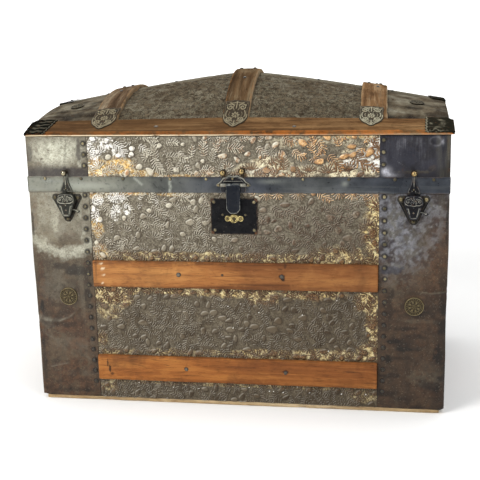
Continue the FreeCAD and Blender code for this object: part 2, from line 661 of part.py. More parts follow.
# ---------------------------------------------------------------------------
# Stamped clamps on the lid's slats
# ---------------------------------------------------------------------------
clamp_out = [(-26.5, 84.0), (26.5, 84.0), (26.5, 46.0), (24.0, 32.0), (15.0, 17.0), (0.0, 9.0), (-15.0, 17.0),
             (-24.0, 32.0), (-26.5, 46.0)]
clamps = []
for cx in bent_x:
    c = slab(cx - 26.5, cx + 26.5, 8.0, 84.0, bent_end_t + 0.1, bent_end_t + 2.3)
    clamps.append(c.common(prism_xy([(cx + u, YF + w) for u, w in clamp_out], rim_z, rim_z + 200)))
    c = slab(cx - 26.5, cx + 26.5, body_d - 84.0, body_d - 8.0, bent_end_t + 0.1, bent_end_t + 2.3)
    clamps.append(c.common(prism_xy([(cx + u, YB - w) for u, w in clamp_out], rim_z, rim_z + 200)))
save("slat_clamps", clamps)

corner_l = 57.0
cc = []
for sx in (-1, 1):
    for front in (True, False):
        s0, s1 = (-4.0, 55.0) if front else (body_d - 55.0, body_d + 4.0)
        a, b, c = sx * (half_w + 1.6), sx * (half_w - corner_l), sx * (half_w + 0.1)
        y0, y1 = (YF - over - 1.6, YF + 100) if front else (YB - 100, YB + over + 1.6)
        room = box(a, b, y0, y1, rim_z - 50, rim_z + 200)
        top = slab(min(a, b), max(a, b), s0, s1, edge_slat_t + gap, edge_slat_t + 1.6).common(room)
        end = slab(min(a, c), max(a, c), s0, s1, -6.0, edge_slat_t + 1.6).common(room)
        yy = (YF - over - 1.6, YF - over - 0.1) if front else (YB + over + 0.1, YB + over + 1.6)
        skirt = box(a, b, yy[0], yy[1], rim_z + 2.6, rim_z + 12.0).common(
            slab(min(a, b), max(a, b), s0 - 4 if front else s0, s1 if front else s1 + 4, -14.0, edge_slat_t + 1.5))
        cc.append(top.fuse(end).fuse(skirt).removeSplitter())
save("corner_clamps", cc)

crn = []
for sx in (-1, 1):
    a, b = sx * (half_w + 1.6), sx * (half_w - 36.0)
    top = slab(min(a, b), max(a, b), body_d / 2 - 27.0, body_d / 2 + 27.0, crown_slat_t + 0.1, crown_slat_t + 1.7)
    drop = box(sx * (half_w + 0.1), sx * (half_w + 1.6), ymid - 26.5, ymid + 26.5, rim_z + crown_end - 26.0,
               rim_z + crown_end + crown_slat_t + 0.6)
    crn.append(top.fuse(drop).removeSplitter())
save("crown_clamps", crn)

# Small stamped rosettes on the plain end bays of the dome, front and back.
ros = []
for x, s in ((-364.0, 147.0), (371.0, 156.0), (-364.0, body_d - 147.0), (371.0, body_d - 156.0)):
    ros.append(on_dome(x, s, 0.45, 15.0, 3.0))
save("dome_rosettes", ros)

# ---------------------------------------------------------------------------
# Lid nails: sheet edges, band, edge slats, bent slats and clamps
# ---------------------------------------------------------------------------
ln = []
for x, zs in ((xl - 7.0, (56.0, 79.0, 102.0)), (xr + 7.5, (58.5, 83.0, 107.0))):
    for w in zs:
        ln.append(front_head(x, seam_z + w, YF, 3.6, 2.0))
        ln.append(head((x, YB, seam_z + w), (0, 1, 0), 3.6, 2.0))
for x in (-394, -316, -226, -127, -52, 145, 236, 326, 401):
    ln.append(front_head(x, seam_z + 28.8, YF - band_t, 2.8, 1.5))
for x in (-394, -316, -150, -60, 60, 150, 326, 401):
    ln.append(head((x, YB + band_t, seam_z + 24.0), (0, 1, 0), 2.8, 1.5))
for sx in (-1, 1):
    for y in (YF + 60, YF + 155, ymid, YB - 155, YB - 60):
        ln.append(head((sx * (half_w + band_t), y, seam_z + 24.0), (sx, 0, 0), 2.8, 1.5))


for x in (-170.0, 122.0):
    for s in (26.0, body_d - 26.0):
        ln.append(on_dome(x, s, edge_slat_t, 3.2, 1.4))
for cx in bent_x:
    for u, s in ((-10.0, 205.0), (14.0, 232.0), (-14.0, 268.0), (10.0, 300.0)):
        ln.append(on_dome(cx + u, s, bent_slat_t + 0.15, 3.4, 1.8))
    for s in (74.0, body_d - 74.0):
        for u in (-19.0, 19.0):
            ln.append(on_dome(cx + u, s, bent_end_t + 2.35, 2.4, 1.3))
for x in (-408.0, -320.0, -160.0, 160.0, 320.0, 408.0):
    ln.append(on_dome(x, body_d / 2 - 12.0, crown_slat_t + (2.0 if abs(x) > 400 else 0.2), 3.2, 1.7))
save("lid_nails", ln)

# ---------------------------------------------------------------------------
# Hasp: mount with two ball bumpers on the lid, pin, and the swinging hasp
# ---------------------------------------------------------------------------
my1 = YF - band_t
L = lock_x
mount = prism_xz([(L - 34, seam_z + 14.0), (L + 34, seam_z + 14.0), (L + 34, seam_z + 19.0), (L + 20, seam_z + 33.5),
                  (L + 9, seam_z + 37.0), (L - 9, seam_z + 37.0), (L - 20, seam_z + 33.5), (L - 34, seam_z + 19.0)],
                 my1 - 2.0, my1)
for dx, dz in ((-20.0, 43.0), (19.0, 46.0)):
    mount = mount.fuse(cyl((L + dx, YF - 11.0, seam_z + dz), (0, 1, 0), 4.4, 11.0))
    mount = mount.fuse(ball((L + dx, YF - front_proud + 7.2, seam_z + dz), 7.2))
    mount = mount.fuse(box(L + dx - 4.0, L + dx + 4.0, my1 - 2.0, my1, seam_z + 26.0, seam_z + dz))
for a, b in ((L - 26.0, L - hasp_w / 2 - 0.5), (L + hasp_w / 2 + 0.5, L + 26.0)):
    mount = mount.fuse(cyl((a, hasp_axis_y, hasp_axis_z), (1, 0, 0), 3.8, b - a))
    mount = mount.fuse(box(a, b, hasp_axis_y, my1, seam_z + 1.5, hasp_axis_z + 2.0))
hp_r = 1.8
mount = mount.cut(cyl((L - 60, hasp_axis_y, hasp_axis_z), (1, 0, 0), hp_r, 120))
# room behind the knuckles for the hasp to turn in
mount = mount.cut(box(L - hasp_w / 2 - 0.5, L + hasp_w / 2 + 0.5, hasp_axis_y - 4.6, my1 - 0.2, hasp_axis_z - 6.0,
                      hasp_axis_z + 4.6))
save("hasp_mount", mount)
save("hasp_pin", cyl((L - 26.8, hasp_axis_y, hasp_axis_z), (1, 0, 0), hp_r, 53.6))

hy0, hy1 = YF - 10.6, YF - 4.0
hz0 = seam_z - 41.0
hasp = prism_xz([(L - 14, hasp_axis_z), (L + 14, hasp_axis_z), (L + 14, hz0 + 10), (L + 6, hz0), (L - 6, hz0),
                 (L - 14, hz0 + 10)], hy0, hy1)
es = [e for e in hasp.Edges if abs(e.CenterOfMass.y - hy0) < 1e-6 and e.CenterOfMass.z < hasp_axis_z - 1]
hasp = hasp.makeChamfer(1.6, es)
hasp = hasp.fuse(cyl((L - 14, hasp_axis_y, hasp_axis_z), (1, 0, 0), 3.8, 28.0))
st = box(L - 2.0, L + 2.0, hy1 - 0.5, YF + 12.0, stap_z0, stap_z1)
st = st.cut(box(L - 3.0, L + 3.0, YF + 3.6, YF + 9.8, stap_z0 + 3.0, stap_z1 - 3.0))
hasp = hasp.fuse(st)
hasp = hasp.cut(cyl((L - 60, hasp_axis_y, hasp_axis_z), (1, 0, 0), hp_r + pin_gap, 120))
save("hasp", hasp)

lr = []
for dx, dz, r in ((-30.6, 16.4, 3.0), (30.6, 16.4, 3.0), (-1.0, 30.0, 3.0)):
    lr.append(front_head(L + dx, seam_z + dz, my1 - 2.0, r, 1.8))
for cx in latch_x:
    lr.append(front_head(cx, seam_z + 9.2, my1 - 3.0, 3.0, 1.6))
for h in hinge_x:
    for u in (-20, 0, 20):
        for dz in (22.0, 50.0):
            lr.append(head((h + u, YB + band_t + 2.2, seam_z + dz), (0, 1, 0), 3.2, 1.6))
save("lid_rivets", lr)
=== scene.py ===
import bpy
import json
import math
import numpy as np
from mathutils import Vector, Matrix


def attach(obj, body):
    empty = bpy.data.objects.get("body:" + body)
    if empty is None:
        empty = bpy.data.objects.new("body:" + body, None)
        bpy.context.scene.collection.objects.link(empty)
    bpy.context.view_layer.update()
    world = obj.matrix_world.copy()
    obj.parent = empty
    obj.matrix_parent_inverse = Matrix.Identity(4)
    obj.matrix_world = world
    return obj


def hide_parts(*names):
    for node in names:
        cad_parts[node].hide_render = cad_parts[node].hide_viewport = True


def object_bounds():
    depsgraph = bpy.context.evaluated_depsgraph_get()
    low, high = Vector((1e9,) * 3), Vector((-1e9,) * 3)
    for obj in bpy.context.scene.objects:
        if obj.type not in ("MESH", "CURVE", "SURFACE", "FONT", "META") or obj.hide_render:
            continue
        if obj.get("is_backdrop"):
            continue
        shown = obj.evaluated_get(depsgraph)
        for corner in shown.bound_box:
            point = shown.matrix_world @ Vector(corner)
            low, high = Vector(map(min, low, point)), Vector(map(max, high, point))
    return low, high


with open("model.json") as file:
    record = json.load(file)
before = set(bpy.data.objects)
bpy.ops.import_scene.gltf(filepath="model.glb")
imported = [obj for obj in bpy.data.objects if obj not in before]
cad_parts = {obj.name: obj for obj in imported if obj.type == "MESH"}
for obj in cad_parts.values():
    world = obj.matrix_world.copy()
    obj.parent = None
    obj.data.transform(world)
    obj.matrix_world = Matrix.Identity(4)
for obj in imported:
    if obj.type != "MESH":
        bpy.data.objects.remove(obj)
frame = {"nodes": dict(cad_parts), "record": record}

BOX0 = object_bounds()
scene = bpy.context.scene
scene.view_settings.view_transform = "Standard"
scene.view_settings.look = "None"

# ---------------------------------------------------------------------------
# Measures of the trunk, in metres, in the row frame
# ---------------------------------------------------------------------------
W2 = 0.432
D = 0.500
YF = -0.24625
YB = YF + D
YM = (YF + YB) / 2
SEAM = 0.462
RIM = 0.580
BOT = 0.012
XL, XR = -W2 + 0.1315, W2 - 0.136
SLATS = ((0.2602, 0.3170), (0.0521, 0.1077))
BAND_T, BAND_H = 0.0015, 0.033
LOCK = 0.004
LATCH = (-0.349, 0.363)
BENT = (-0.275, 0.003, 0.283)
FD = 0.052


def smooth(a, b, x):
    t = np.clip((x - a) / (b - a), 0.0, 1.0)
    return t * t * (3 - 2 * t)


def fall(x):
    u, e, p = np.asarray(x, float) / W2, 0.076, 0.595
    return ((u * u + e * e) ** p - e ** (2 * p)) / ((1 + e * e) ** p - e ** (2 * p))


def surf(x, s):
    """Height of the dome's sheet over its edge, at x and s behind the front plane."""
    x, s = np.asarray(x, float), np.asarray(s, float)
    q = np.minimum(s, D - s)
    f = fall(x)
    zb = 0.024 - 0.007 * f
    hc = 0.1082 - 0.0641 * f
    t = np.clip((q - FD) / (D / 2 - FD), 0, 1)
    return np.where(q <= FD, zb * q / FD, zb + (hc - zb) * (1 - (1 - t) ** 1.9))


def bent_top(s):
    """How far a bent slat's face stands off the dome, s behind the front plane."""
    t = np.clip((np.minimum(s, D - s) - 0.092) / 0.068, 0, 1)
    return 0.0085 + 0.0030 * t * t * (3 - 2 * t)


def dome(x, s, off):
    """Points off above the dome's sheet, along its normal in the cross-section."""
    x, s, off = np.broadcast_arrays(np.asarray(x, float), np.asarray(s, float), np.asarray(off, float))
    e = 0.0015
    g = (surf(x, s + e) - surf(x, s - e)) / (2 * e)
    L = np.sqrt(g * g + 1)
    return np.stack([x, YF + s - g / L * off, RIM + surf(x, s) + off / L], -1)


# ---------------------------------------------------------------------------
# Smooth value noise on arrays, seeded
# ---------------------------------------------------------------------------
def vnoise(x, y, seed, octaves=3, gain=0.5):
    out = np.zeros(np.broadcast(x, y).shape)
    amp, tot = 1.0, 0.0
    for o in range(octaves):
        rng = np.random.RandomState(seed * 131 + o * 17 + 5)
        tab = rng.rand(64, 64)
        f = 2.0 ** o
        xx, yy = np.asarray(x) * f + 31.7 * o, np.asarray(y) * f + 11.3 * o
        i, j = np.floor(xx).astype(int), np.floor(yy).astype(int)
        u, v = xx - i, yy - j
        u, v = u * u * (3 - 2 * u), v * v * (3 - 2 * v)
        a = tab[i % 64, j % 64] * (1 - u) + tab[(i + 1) % 64, j % 64] * u
        b = tab[i % 64, (j + 1) % 64] * (1 - u) + tab[(i + 1) % 64, (j + 1) % 64] * u
        out += amp * (a * (1 - v) + b * v)
        tot += amp
        amp *= gain
    return out / tot


# ---------------------------------------------------------------------------
# Material helper
# ---------------------------------------------------------------------------
class Mat:
    def __init__(self, name):
        self.m = bpy.data.materials.new(name)
        self.m.use_nodes = True
        self.t = self.m.node_tree
        self.t.nodes.clear()
        self.out = self.t.nodes.new("ShaderNodeOutputMaterial")
        self.b = self.t.nodes.new("ShaderNodeBsdfPrincipled")
        self.t.links.new(self.b.outputs[0], self.out.inputs[0])
        self.co = self.t.nodes.new("ShaderNodeTexCoord").outputs["Object"]

    def n(self, kind, **kw):
        nd = self.t.nodes.new(kind)
        for k, v in kw.items():
            setattr(nd, k, v)
        return nd

    def put(self, sock, v):
        if hasattr(v, "is_output"):
            self.t.links.new(v, sock)
        elif isinstance(v, (tuple, list)) and len(v) == 3 and sock.type == "RGBA":
            sock.default_value = (*v, 1.0)
        elif sock.type == "RGBA" and isinstance(v, (int, float)):
            sock.default_value = (v, v, v, 1.0)
        else:
            sock.default_value = v

    def set(self, **kw):
        for k, v in kw.items():
            self.put(self.b.inputs[k.replace("_", " ")], v)
        return self

    def map(self, scale=(1, 1, 1), rot=(0, 0, 0), loc=(0, 0, 0), vec=None):
        nd = self.n("ShaderNodeMapping")
        self.put(nd.inputs[0], vec or self.co)
        nd.inputs["Scale"].default_value = scale
        nd.inputs["Rotation"].default_value = rot
        nd.inputs["Location"].default_value = loc
        return nd.outputs[0]

    def noise(self, scale, detail=4, rough=0.55, dist=0.0, vec=None, color=False):
        nd = self.n("ShaderNodeTexNoise")
        self.put(nd.inputs["Vector"], vec or self.co)
        nd.inputs["Scale"].default_value = scale
        nd.inputs["Detail"].default_value = detail
        nd.inputs["Roughness"].default_value = rough
        nd.inputs["Distortion"].default_value = dist
        return nd.outputs[1 if color else 0]

    def vor(self, scale, feature="F1", vec=None, out="Distance", rand=1.0):
        nd = self.n("ShaderNodeTexVoronoi", feature=feature)
        self.put(nd.inputs["Vector"], vec or self.co)
        nd.inputs["Scale"].default_value = scale
        nd.inputs["Randomness"].default_value = rand
        return nd.outputs[out]

    def wave(self, scale, dist=2.0, detail=3, dscale=1.0, vec=None, direction="X", kind="BANDS"):
        nd = self.n("ShaderNodeTexWave", wave_type=kind)
        if kind == "BANDS":
            nd.bands_direction = direction
        self.put(nd.inputs["Vector"], vec or self.co)
        nd.inputs["Scale"].default_value = scale
        nd.inputs["Distortion"].default_value = dist
        nd.inputs["Detail"].default_value = detail
        nd.inputs["Detail Scale"].default_value = dscale
        return nd.outputs[1]

    def ramp(self, fac, *stops, interp="LINEAR"):
        nd = self.n("ShaderNodeValToRGB")
        nd.color_ramp.interpolation = interp
        self.put(nd.inputs[0], fac)
        el = nd.color_ramp.elements
        while len(el) < len(stops):
            el.new(0.5)
        for e, (p, c) in zip(el, stops):
            e.position = p
            e.color = (*c, 1.0) if isinstance(c, (tuple, list)) else (c, c, c, 1.0)
        return nd.outputs[0]

    def mix(self, fac, a, b, blend="MIX"):
        nd = self.n("ShaderNodeMix", data_type="RGBA", blend_type=blend)
        self.put(nd.inputs[0], fac)
        self.put(nd.inputs[6], a)
        self.put(nd.inputs[7], b)
        return nd.outputs[2]

    def math(self, op, a, b=0.0, c=None, clamp=False):
        nd = self.n("ShaderNodeMath", operation=op, use_clamp=clamp)
        self.put(nd.inputs[0], a)
        self.put(nd.inputs[1], b)
        if c is not None:
            self.put(nd.inputs[2], c)
        return nd.outputs[0]

    def rng(self, v, a, b, c=0.0, d=1.0):
        nd = self.n("ShaderNodeMapRange", interpolation_type="SMOOTHSTEP")
        self.put(nd.inputs[0], v)
        for i, q in enumerate((a, b, c, d)):
            nd.inputs[i + 1].default_value = q
        return nd.outputs[0]

    def attr(self, name):
        nd = self.n("ShaderNodeAttribute", attribute_name=name)
        return nd.outputs["Fac"]

    def xyz(self, vec=None):
        nd = self.n("ShaderNodeSeparateXYZ")
        self.put(nd.inputs[0], vec or self.co)
        return nd.outputs

    def point(self):
        return self.n("ShaderNodeNewGeometry").outputs["Pointiness"]

    def bump(self, h, strength=0.3, dist=0.001, normal=None):
        nd = self.n("ShaderNodeBump")
        nd.inputs["Strength"].default_value = strength
        nd.inputs["Distance"].default_value = dist
        self.put(nd.inputs["Height"], h)
        if normal is not None:
            self.put(nd.inputs["Normal"], normal)
        self.put(self.b.inputs["Normal"], nd.outputs[0])
        return nd.outputs[0]


def srgb(r, g, b):
    f = lambda c: c / 12.92 if c <= 0.04045 else ((c + 0.055) / 1.055) ** 2.4
    return (f(r / 255.0), f(g / 255.0), f(b / 255.0))


# ---------------------------------------------------------------------------
# Mesh helpers
# ---------------------------------------------------------------------------
PIECES = {}


def new_object(name, verts, faces, mat, body, node=None, smooth_faces=True, attrs=None):
    me = bpy.data.meshes.new(name)
    verts = np.asarray(verts, float)
    me.from_pydata([tuple(v) for v in verts.tolist()], [], faces)
    me.validate()
    me.update()
    if smooth_faces:
        me.polygons.foreach_set("use_smooth", [True] * len(me.polygons))
    ob = bpy.data.objects.new(name, me)
    scene.collection.objects.link(ob)
    if attrs:
        for k, v in attrs.items():
            a = me.attributes.new(k, "FLOAT", "POINT")
            a.data.foreach_set("value", np.asarray(v, float).ravel())
    ob.data.materials.append(mat.m if isinstance(mat, Mat) else mat)
    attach(ob, body)
    if node:
        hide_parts(*([node] if isinstance(node, str) else node))
    PIECES[name] = ob
    return ob


def grid_mesh(name, P, mat, body, node=None, attrs=None, flip=False, close_u=False):
    """P is (n, m, 3). Faces turn outwards so that u x v is the normal, unless flip."""
    n, m = P.shape[:2]
    idx = np.arange(n * m).reshape(n, m)
    iu = np.vstack([idx, idx[:1]]) if close_u else idx
    a, b, c, d = iu[:-1, :-1], iu[1:, :-1], iu[1:, 1:], iu[:-1, 1:]
    f = np.stack([a, b, c, d], -1).reshape(-1, 4)
    if flip:
        f = f[:, ::-1]
    return new_object(name, P.reshape(-1, 3), f.tolist(), mat, body, node, attrs=attrs)


class Geo:
    """Collects faces of several closed bits into one mesh."""

    def __init__(self):
        self.v, self.f, self.a = [], [], {}

    def add(self, verts, faces, **attrs):
        o = len(self.v)
        self.v += [tuple(map(float, q)) for q in verts]
        self.f += [tuple(o + i for i in q) for q in faces]
        for k in set(self.a) | set(attrs):
            col = self.a.setdefault(k, [0.0] * o)
            col += list(attrs[k]) if hasattr(attrs.get(k), "__len__") else [attrs.get(k, 0.0)] * len(verts)
        return self

    def grid(self, P, close_u=False, close_v=False, flip=False, **attrs):
        n, m = P.shape[:2]
        idx = np.arange(n * m).reshape(n, m)
        if close_u:
            idx = np.vstack([idx, idx[:1]])
        if close_v:
            idx = np.hstack([idx, idx[:, :1]])
        a, b, c, d = idx[:-1, :-1], idx[1:, :-1], idx[1:, 1:], idx[:-1, 1:]
        f = np.stack([a, b, c, d], -1).reshape(-1, 4)
        if flip:
            f = f[:, ::-1]
        return self.add(P.reshape(-1, 3), f.tolist(), **attrs)

    def build(self, name, mat, body, node=None, slot=None, smooth_faces=True):
        return new_object(name, self.v, self.f, mat, body, node, smooth_faces, self.a)


def frame_of(n, up=(0, 0, 1)):
    n = Vector(n).normalized()
    u = Vector(up)
    if abs(n.dot(u)) > 0.95:
        u = Vector((1, 0, 0))
    a = u.cross(n).normalized()
    b = n.cross(a).normalized()
    return np.array(a), np.array(b), np.array(n)


def spun(geo, p, n, prof, seg=20, wob=0.0, rng=None, flat=True, squash=(1, 1), rot=0.0, **attrs):
    """A turned form: prof is [(radius, height)] from the rim to the middle, standing at p along n."""
    a, b, c = frame_of(n)
    th = np.linspace(0, 2 * np.pi, seg, endpoint=False)
    ph = rng.rand(3) * 6.28 if rng is not None else np.zeros(3)
    w = 1 + wob * (np.sin(2 * th + ph[0]) + 0.6 * np.sin(3 * th + ph[1]))
    rows = []
    cr, sr = math.cos(rot), math.sin(rot)
    for r, h in prof:
        x, y = np.cos(th) * r * w * squash[0], np.sin(th) * r * w * squash[1]
        x, y = x * cr - y * sr, x * sr + y * cr
        rows.append(np.asarray(p)[None] + x[:, None] * a + y[:, None] * b + h * c[None])
    P = np.stack(rows, 1)
    n_, m_ = P.shape[:2]
    if prof[-1][0] < 1e-6:
        verts = list(P[:, :-1].reshape(-1, 3)) + [P[0, -1]]
        m2 = m_ - 1
        faces = []
        for i in range(n_):
            j = (i + 1) % n_
            for k in range(m2 - 1):
                faces.append((i * m2 + k, j * m2 + k, j * m2 + k + 1, i * m2 + k + 1))
            faces.append((i * m2 + m2 - 1, j * m2 + m2 - 1, n_ * m2))
        geo.add(verts, faces, **attrs)
    else:
        geo.grid(P, close_u=True, **attrs)
    return geo


def nail(geo, p, n, r, h, rng, seg=16):
    """A hand-driven nail or tack head: domed, a little out of round and a little tilted."""
    n = np.array(n, float)
    n = n / np.linalg.norm(n) + rng.randn(3) * 0.06
    h = h * (0.85 + 0.25 * rng.rand())
    prof = [(r * 0.98, -0.0006), (r, 0.0001), (r * 0.985, h * 0.18), (r * 0.90, h * 0.45), (r * 0.70, h * 0.76),
            (r * 0.42, h * 0.94), (0.0, h)]
    spun(geo, p, n, prof, seg, 0.03, rng, rnd=rng.rand())


def bevel(ob, w, seg=2, angle=35, harden=True):
    m = ob.modifiers.new("bevel", "BEVEL")
    m.width = w
    m.segments = seg
    m.limit_method = "ANGLE"
    m.angle_limit = math.radians(angle)
    m.harden_normals = False
    return ob


def subdiv(ob, lv=1):
    m = ob.modifiers.new("sub", "SUBSURF")
    m.levels = m.render_levels = lv
    return ob


def autosmooth(ob, angle=35):
    """Marks edges sharper than angle, so that smooth shading stops there."""
    me = ob.data
    import bmesh
    bm = bmesh.new()
    bm.from_mesh(me)
    for e in bm.edges:
        if len(e.link_faces) == 2 and e.calc_face_angle(0) > math.radians(angle):
            e.smooth = False
    bm.to_mesh(me)
    bm.free()
    return ob


# ===========================================================================
# Materials
# ===========================================================================
def wood_varnished(name, base=(0.42, 0.165, 0.045), dark=(0.14, 0.045, 0.015), light=(0.60, 0.29, 0.10), axis="X",
                   rough=0.42):
    m = Mat(name)
    sc = {"X": (1.0, 9.0, 9.0), "Y": (9.0, 1.0, 9.0), "Z": (9.0, 9.0, 1.0)}[axis]
    v = m.map(scale=sc)
    big = m.noise(3.0, 4, 0.6, 0.6, v)
    fine = m.noise(26.0, 6, 0.65, 0.3, m.map(scale=tuple(q if q > 1 else 0.5 for q in sc)))
    rings = m.wave(3.6, 5.0, 3, 1.6, m.map(scale=sc), {"X": "Z", "Y": "Z", "Z": "X"}[axis])
    c = m.ramp(big, (0.30, dark), (0.48, base), (0.72, light))
    c = m.mix(m.math("MULTIPLY", m.rng(rings, 0.55, 1.0), 0.35), c, dark)
    c = m.mix(m.math("MULTIPLY", m.rng(fine, 0.52, 0.75), 0.55), c, dark)
    c = m.mix(m.math("MULTIPLY", m.rng(fine, 0.45, 0.28), 0.30), c, light)
    grime = m.noise(9.0, 4, 0.6)
    c = m.mix(m.math("MULTIPLY", m.rng(grime, 0.52, 0.74), 0.45), c, (0.07, 0.03, 0.015))
    wear = m.rng(m.point(), 0.53, 0.60)
    c = m.mix(m.math("MULTIPLY", wear, 0.5), c, light)
    m.set(Base_Color=c, Roughness=m.ramp(fine, (0.3, rough - 0.08), (0.8, rough + 0.22)))
    m.b.inputs["Coat Weight"].default_value = 0.18
    m.b.inputs["Coat Roughness"].default_value = 0.3
    m.bump(m.mix(0.6, fine, rings), 0.28, 0.0006)
    return m


def simple(name, col, rough, metal=0.0, var=0.25, scale=60.0, bump=0.15):
    m = Mat(name)
    n = m.noise(scale, 5, 0.6)
    c = m.mix(m.rng(n, 0.35, 0.7), tuple(q * (1 - var) for q in col), tuple(min(1, q * (1 + var)) for q in col))
    m.set(Base_Color=c, Metallic=metal, Roughness=m.ramp(n, (0.3, max(0.05, rough - 0.1)), (0.7, min(1, rough + 0.12))))
    m.bump(n, bump, 0.0006)
    return m


M_pine = wood_varnished("pine", (0.46, 0.31, 0.16), (0.26, 0.15, 0.07), (0.66, 0.50, 0.30), "X", 0.7)
M_slat = wood_varnished("slat_wood")
M_iron = simple("black_iron", (0.018, 0.019, 0.021), 0.38, 0.3, 0.4, 90, 0.2)
M_steel = simple("steel", (0.20, 0.16, 0.12), 0.45, 0.7, 0.5, 160, 0.25)
M_brass = simple("brass", (0.62, 0.45, 0.14), 0.32, 0.9, 0.35, 120, 0.15)
M_leather = simple("leather", (0.07, 0.035, 0.02), 0.6, 0.0, 0.35, 300, 0.5)
M_plain = simple("plain_tin", (0.07, 0.05, 0.035), 0.4, 0.3, 0.4, 25, 0.1)
M_grey = wood_varnished("slat_grey", (0.16, 0.11, 0.07), (0.05, 0.035, 0.025), (0.27, 0.19, 0.12), "X", 0.6)

BY_SLOT = {"tin_embossed": M_plain, "tin_plain": M_plain, "slat_wood": M_slat, "slat_grey": M_grey, "pine": M_pine,
           "black_iron": M_iron, "steel": M_steel, "brass": M_brass, "leather": M_leather}
for sp in frame["record"]["subparts"]:
    ob = frame["nodes"][sp["node"]]
    ob.data.materials.clear()
    ob.data.materials.append(BY_SLOT[sp["material_slot"]].m)

# ===========================================================================
# Camera, light, floor
# ===========================================================================
cam = bpy.data.cameras.new("camera")
cam.sensor_width = 36.0
cam.lens = 68.656
cam.clip_end = 50.0
co = bpy.data.objects.new("camera", cam)
scene.collection.objects.link(co)
yaw, pitch, roll = 0.158756, 0.228122, -0.0228794
cy, sy, cp, sp_ = math.cos(yaw), math.sin(yaw), math.cos(pitch), math.sin(pitch)
fwd = Vector((-sy * cp, cy * cp, -sp_))
right = Vector((cy, sy, 0.0))
up = right.cross(fwd)
r2 = math.cos(roll) * right + math.sin(roll) * up
u2 = -math.sin(roll) * right + math.cos(roll) * up
M = Matrix((r2, u2, -fwd)).transposed().to_4x4()
M.translation = Vector((0.3038, YF - 1.8059, SEAM + 0.3269))
co.matrix_world = M
scene.camera = co


def area(name, loc, target, size, power, color=(1, 1, 1), size_y=None):
    L = bpy.data.lights.new(name, "AREA")
    L.energy = power
    L.size = size
    if size_y:
        L.shape = "RECTANGLE"
        L.size_y = size_y
    L.color = color
    o = bpy.data.objects.new(name, L)
    scene.collection.objects.link(o)
    o.location = loc
    o.rotation_euler = (Vector(target) - Vector(loc)).to_track_quat("-Z", "Y").to_euler()
    return o


area("key_left", (-1.5, -1.9, 1.9), (0, 0, 0.40), 1.0, 50, (1.0, 0.985, 0.96))
area("key_right", (1.9, -1.9, 1.8), (0, 0, 0.40), 0.9, 22, (0.97, 0.985, 1.0))
area("top", (0.0, -0.3, 2.6), (0, 0, 0.5), 1.8, 30)
sheen = area("sheen_left", (-1.12, -1.78, 0.26), (-0.36, YF, 0.46), 0.55, 5.0, (1, 1, 0.98), 0.5)
sheen.visible_camera = False

w = bpy.data.worlds.new("studio")
scene.world = w
w.use_nodes = True
nt = w.node_tree
bg = nt.nodes["Background"]
tc = nt.nodes.new("ShaderNodeTexCoord")
sep = nt.nodes.new("ShaderNodeSeparateXYZ")
nt.links.new(tc.outputs["Generated"], sep.inputs[0])
mr = nt.nodes.new("ShaderNodeMapRange")
mr.interpolation_type = "SMOOTHSTEP"
nt.links.new(sep.outputs[1], mr.inputs[0])
mr.inputs[1].default_value = -0.55
mr.inputs[2].default_value = 0.35
mr.inputs[3].default_value = 0.10
mr.inputs[4].default_value = 1.15
nt.links.new(mr.outputs[0], bg.inputs["Strength"])
bg.inputs["Color"].default_value = (1, 1, 1, 1)

# floor with a backdrop that curves up behind the object
fl = []
prof = [(-4.0, 0.0), (2.2, 0.0)] + [(2.2 + 1.2 * math.sin(a), 1.2 - 1.2 * math.cos(a)) for a in
                                    [i * math.pi / 20 for i in range(1, 11)]] + [(3.4, 5.0)]
for x in (-6.0, 6.0):
    fl.append([(x, y, z) for y, z in prof])
P = np.array(fl)
n, m_ = P.shape[:2]
me = bpy.data.meshes.new("floor")
idx = np.arange(n * m_).reshape(n, m_)
me.from_pydata(P.reshape(-1, 3).tolist(), [], np.stack([idx[:-1, :-1], idx[1:, :-1], idx[1:, 1:], idx[:-1, 1:]], -1).reshape(-1, 4).tolist())
me.polygons.foreach_set("use_smooth", [True] * len(me.polygons))
floor = bpy.data.objects.new("floor", me)
scene.collection.objects.link(floor)
Mf = Mat("floor_paper")
nf = Mf.noise(3.0, 2)
Mf.set(Base_Color=Mf.mix(nf, (0.90, 0.90, 0.895), (0.93, 0.93, 0.925)), Roughness=0.9)
# the paper runs out to a bright back wall
Mf.set(Emission_Color=(1.0, 1.0, 0.995), Emission_Strength=Mf.rng(Mf.xyz()[1], 0.9, 3.0, 0.0, 0.62))
me.materials.append(Mf.m)
floor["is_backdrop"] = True

# @@PIECES@@

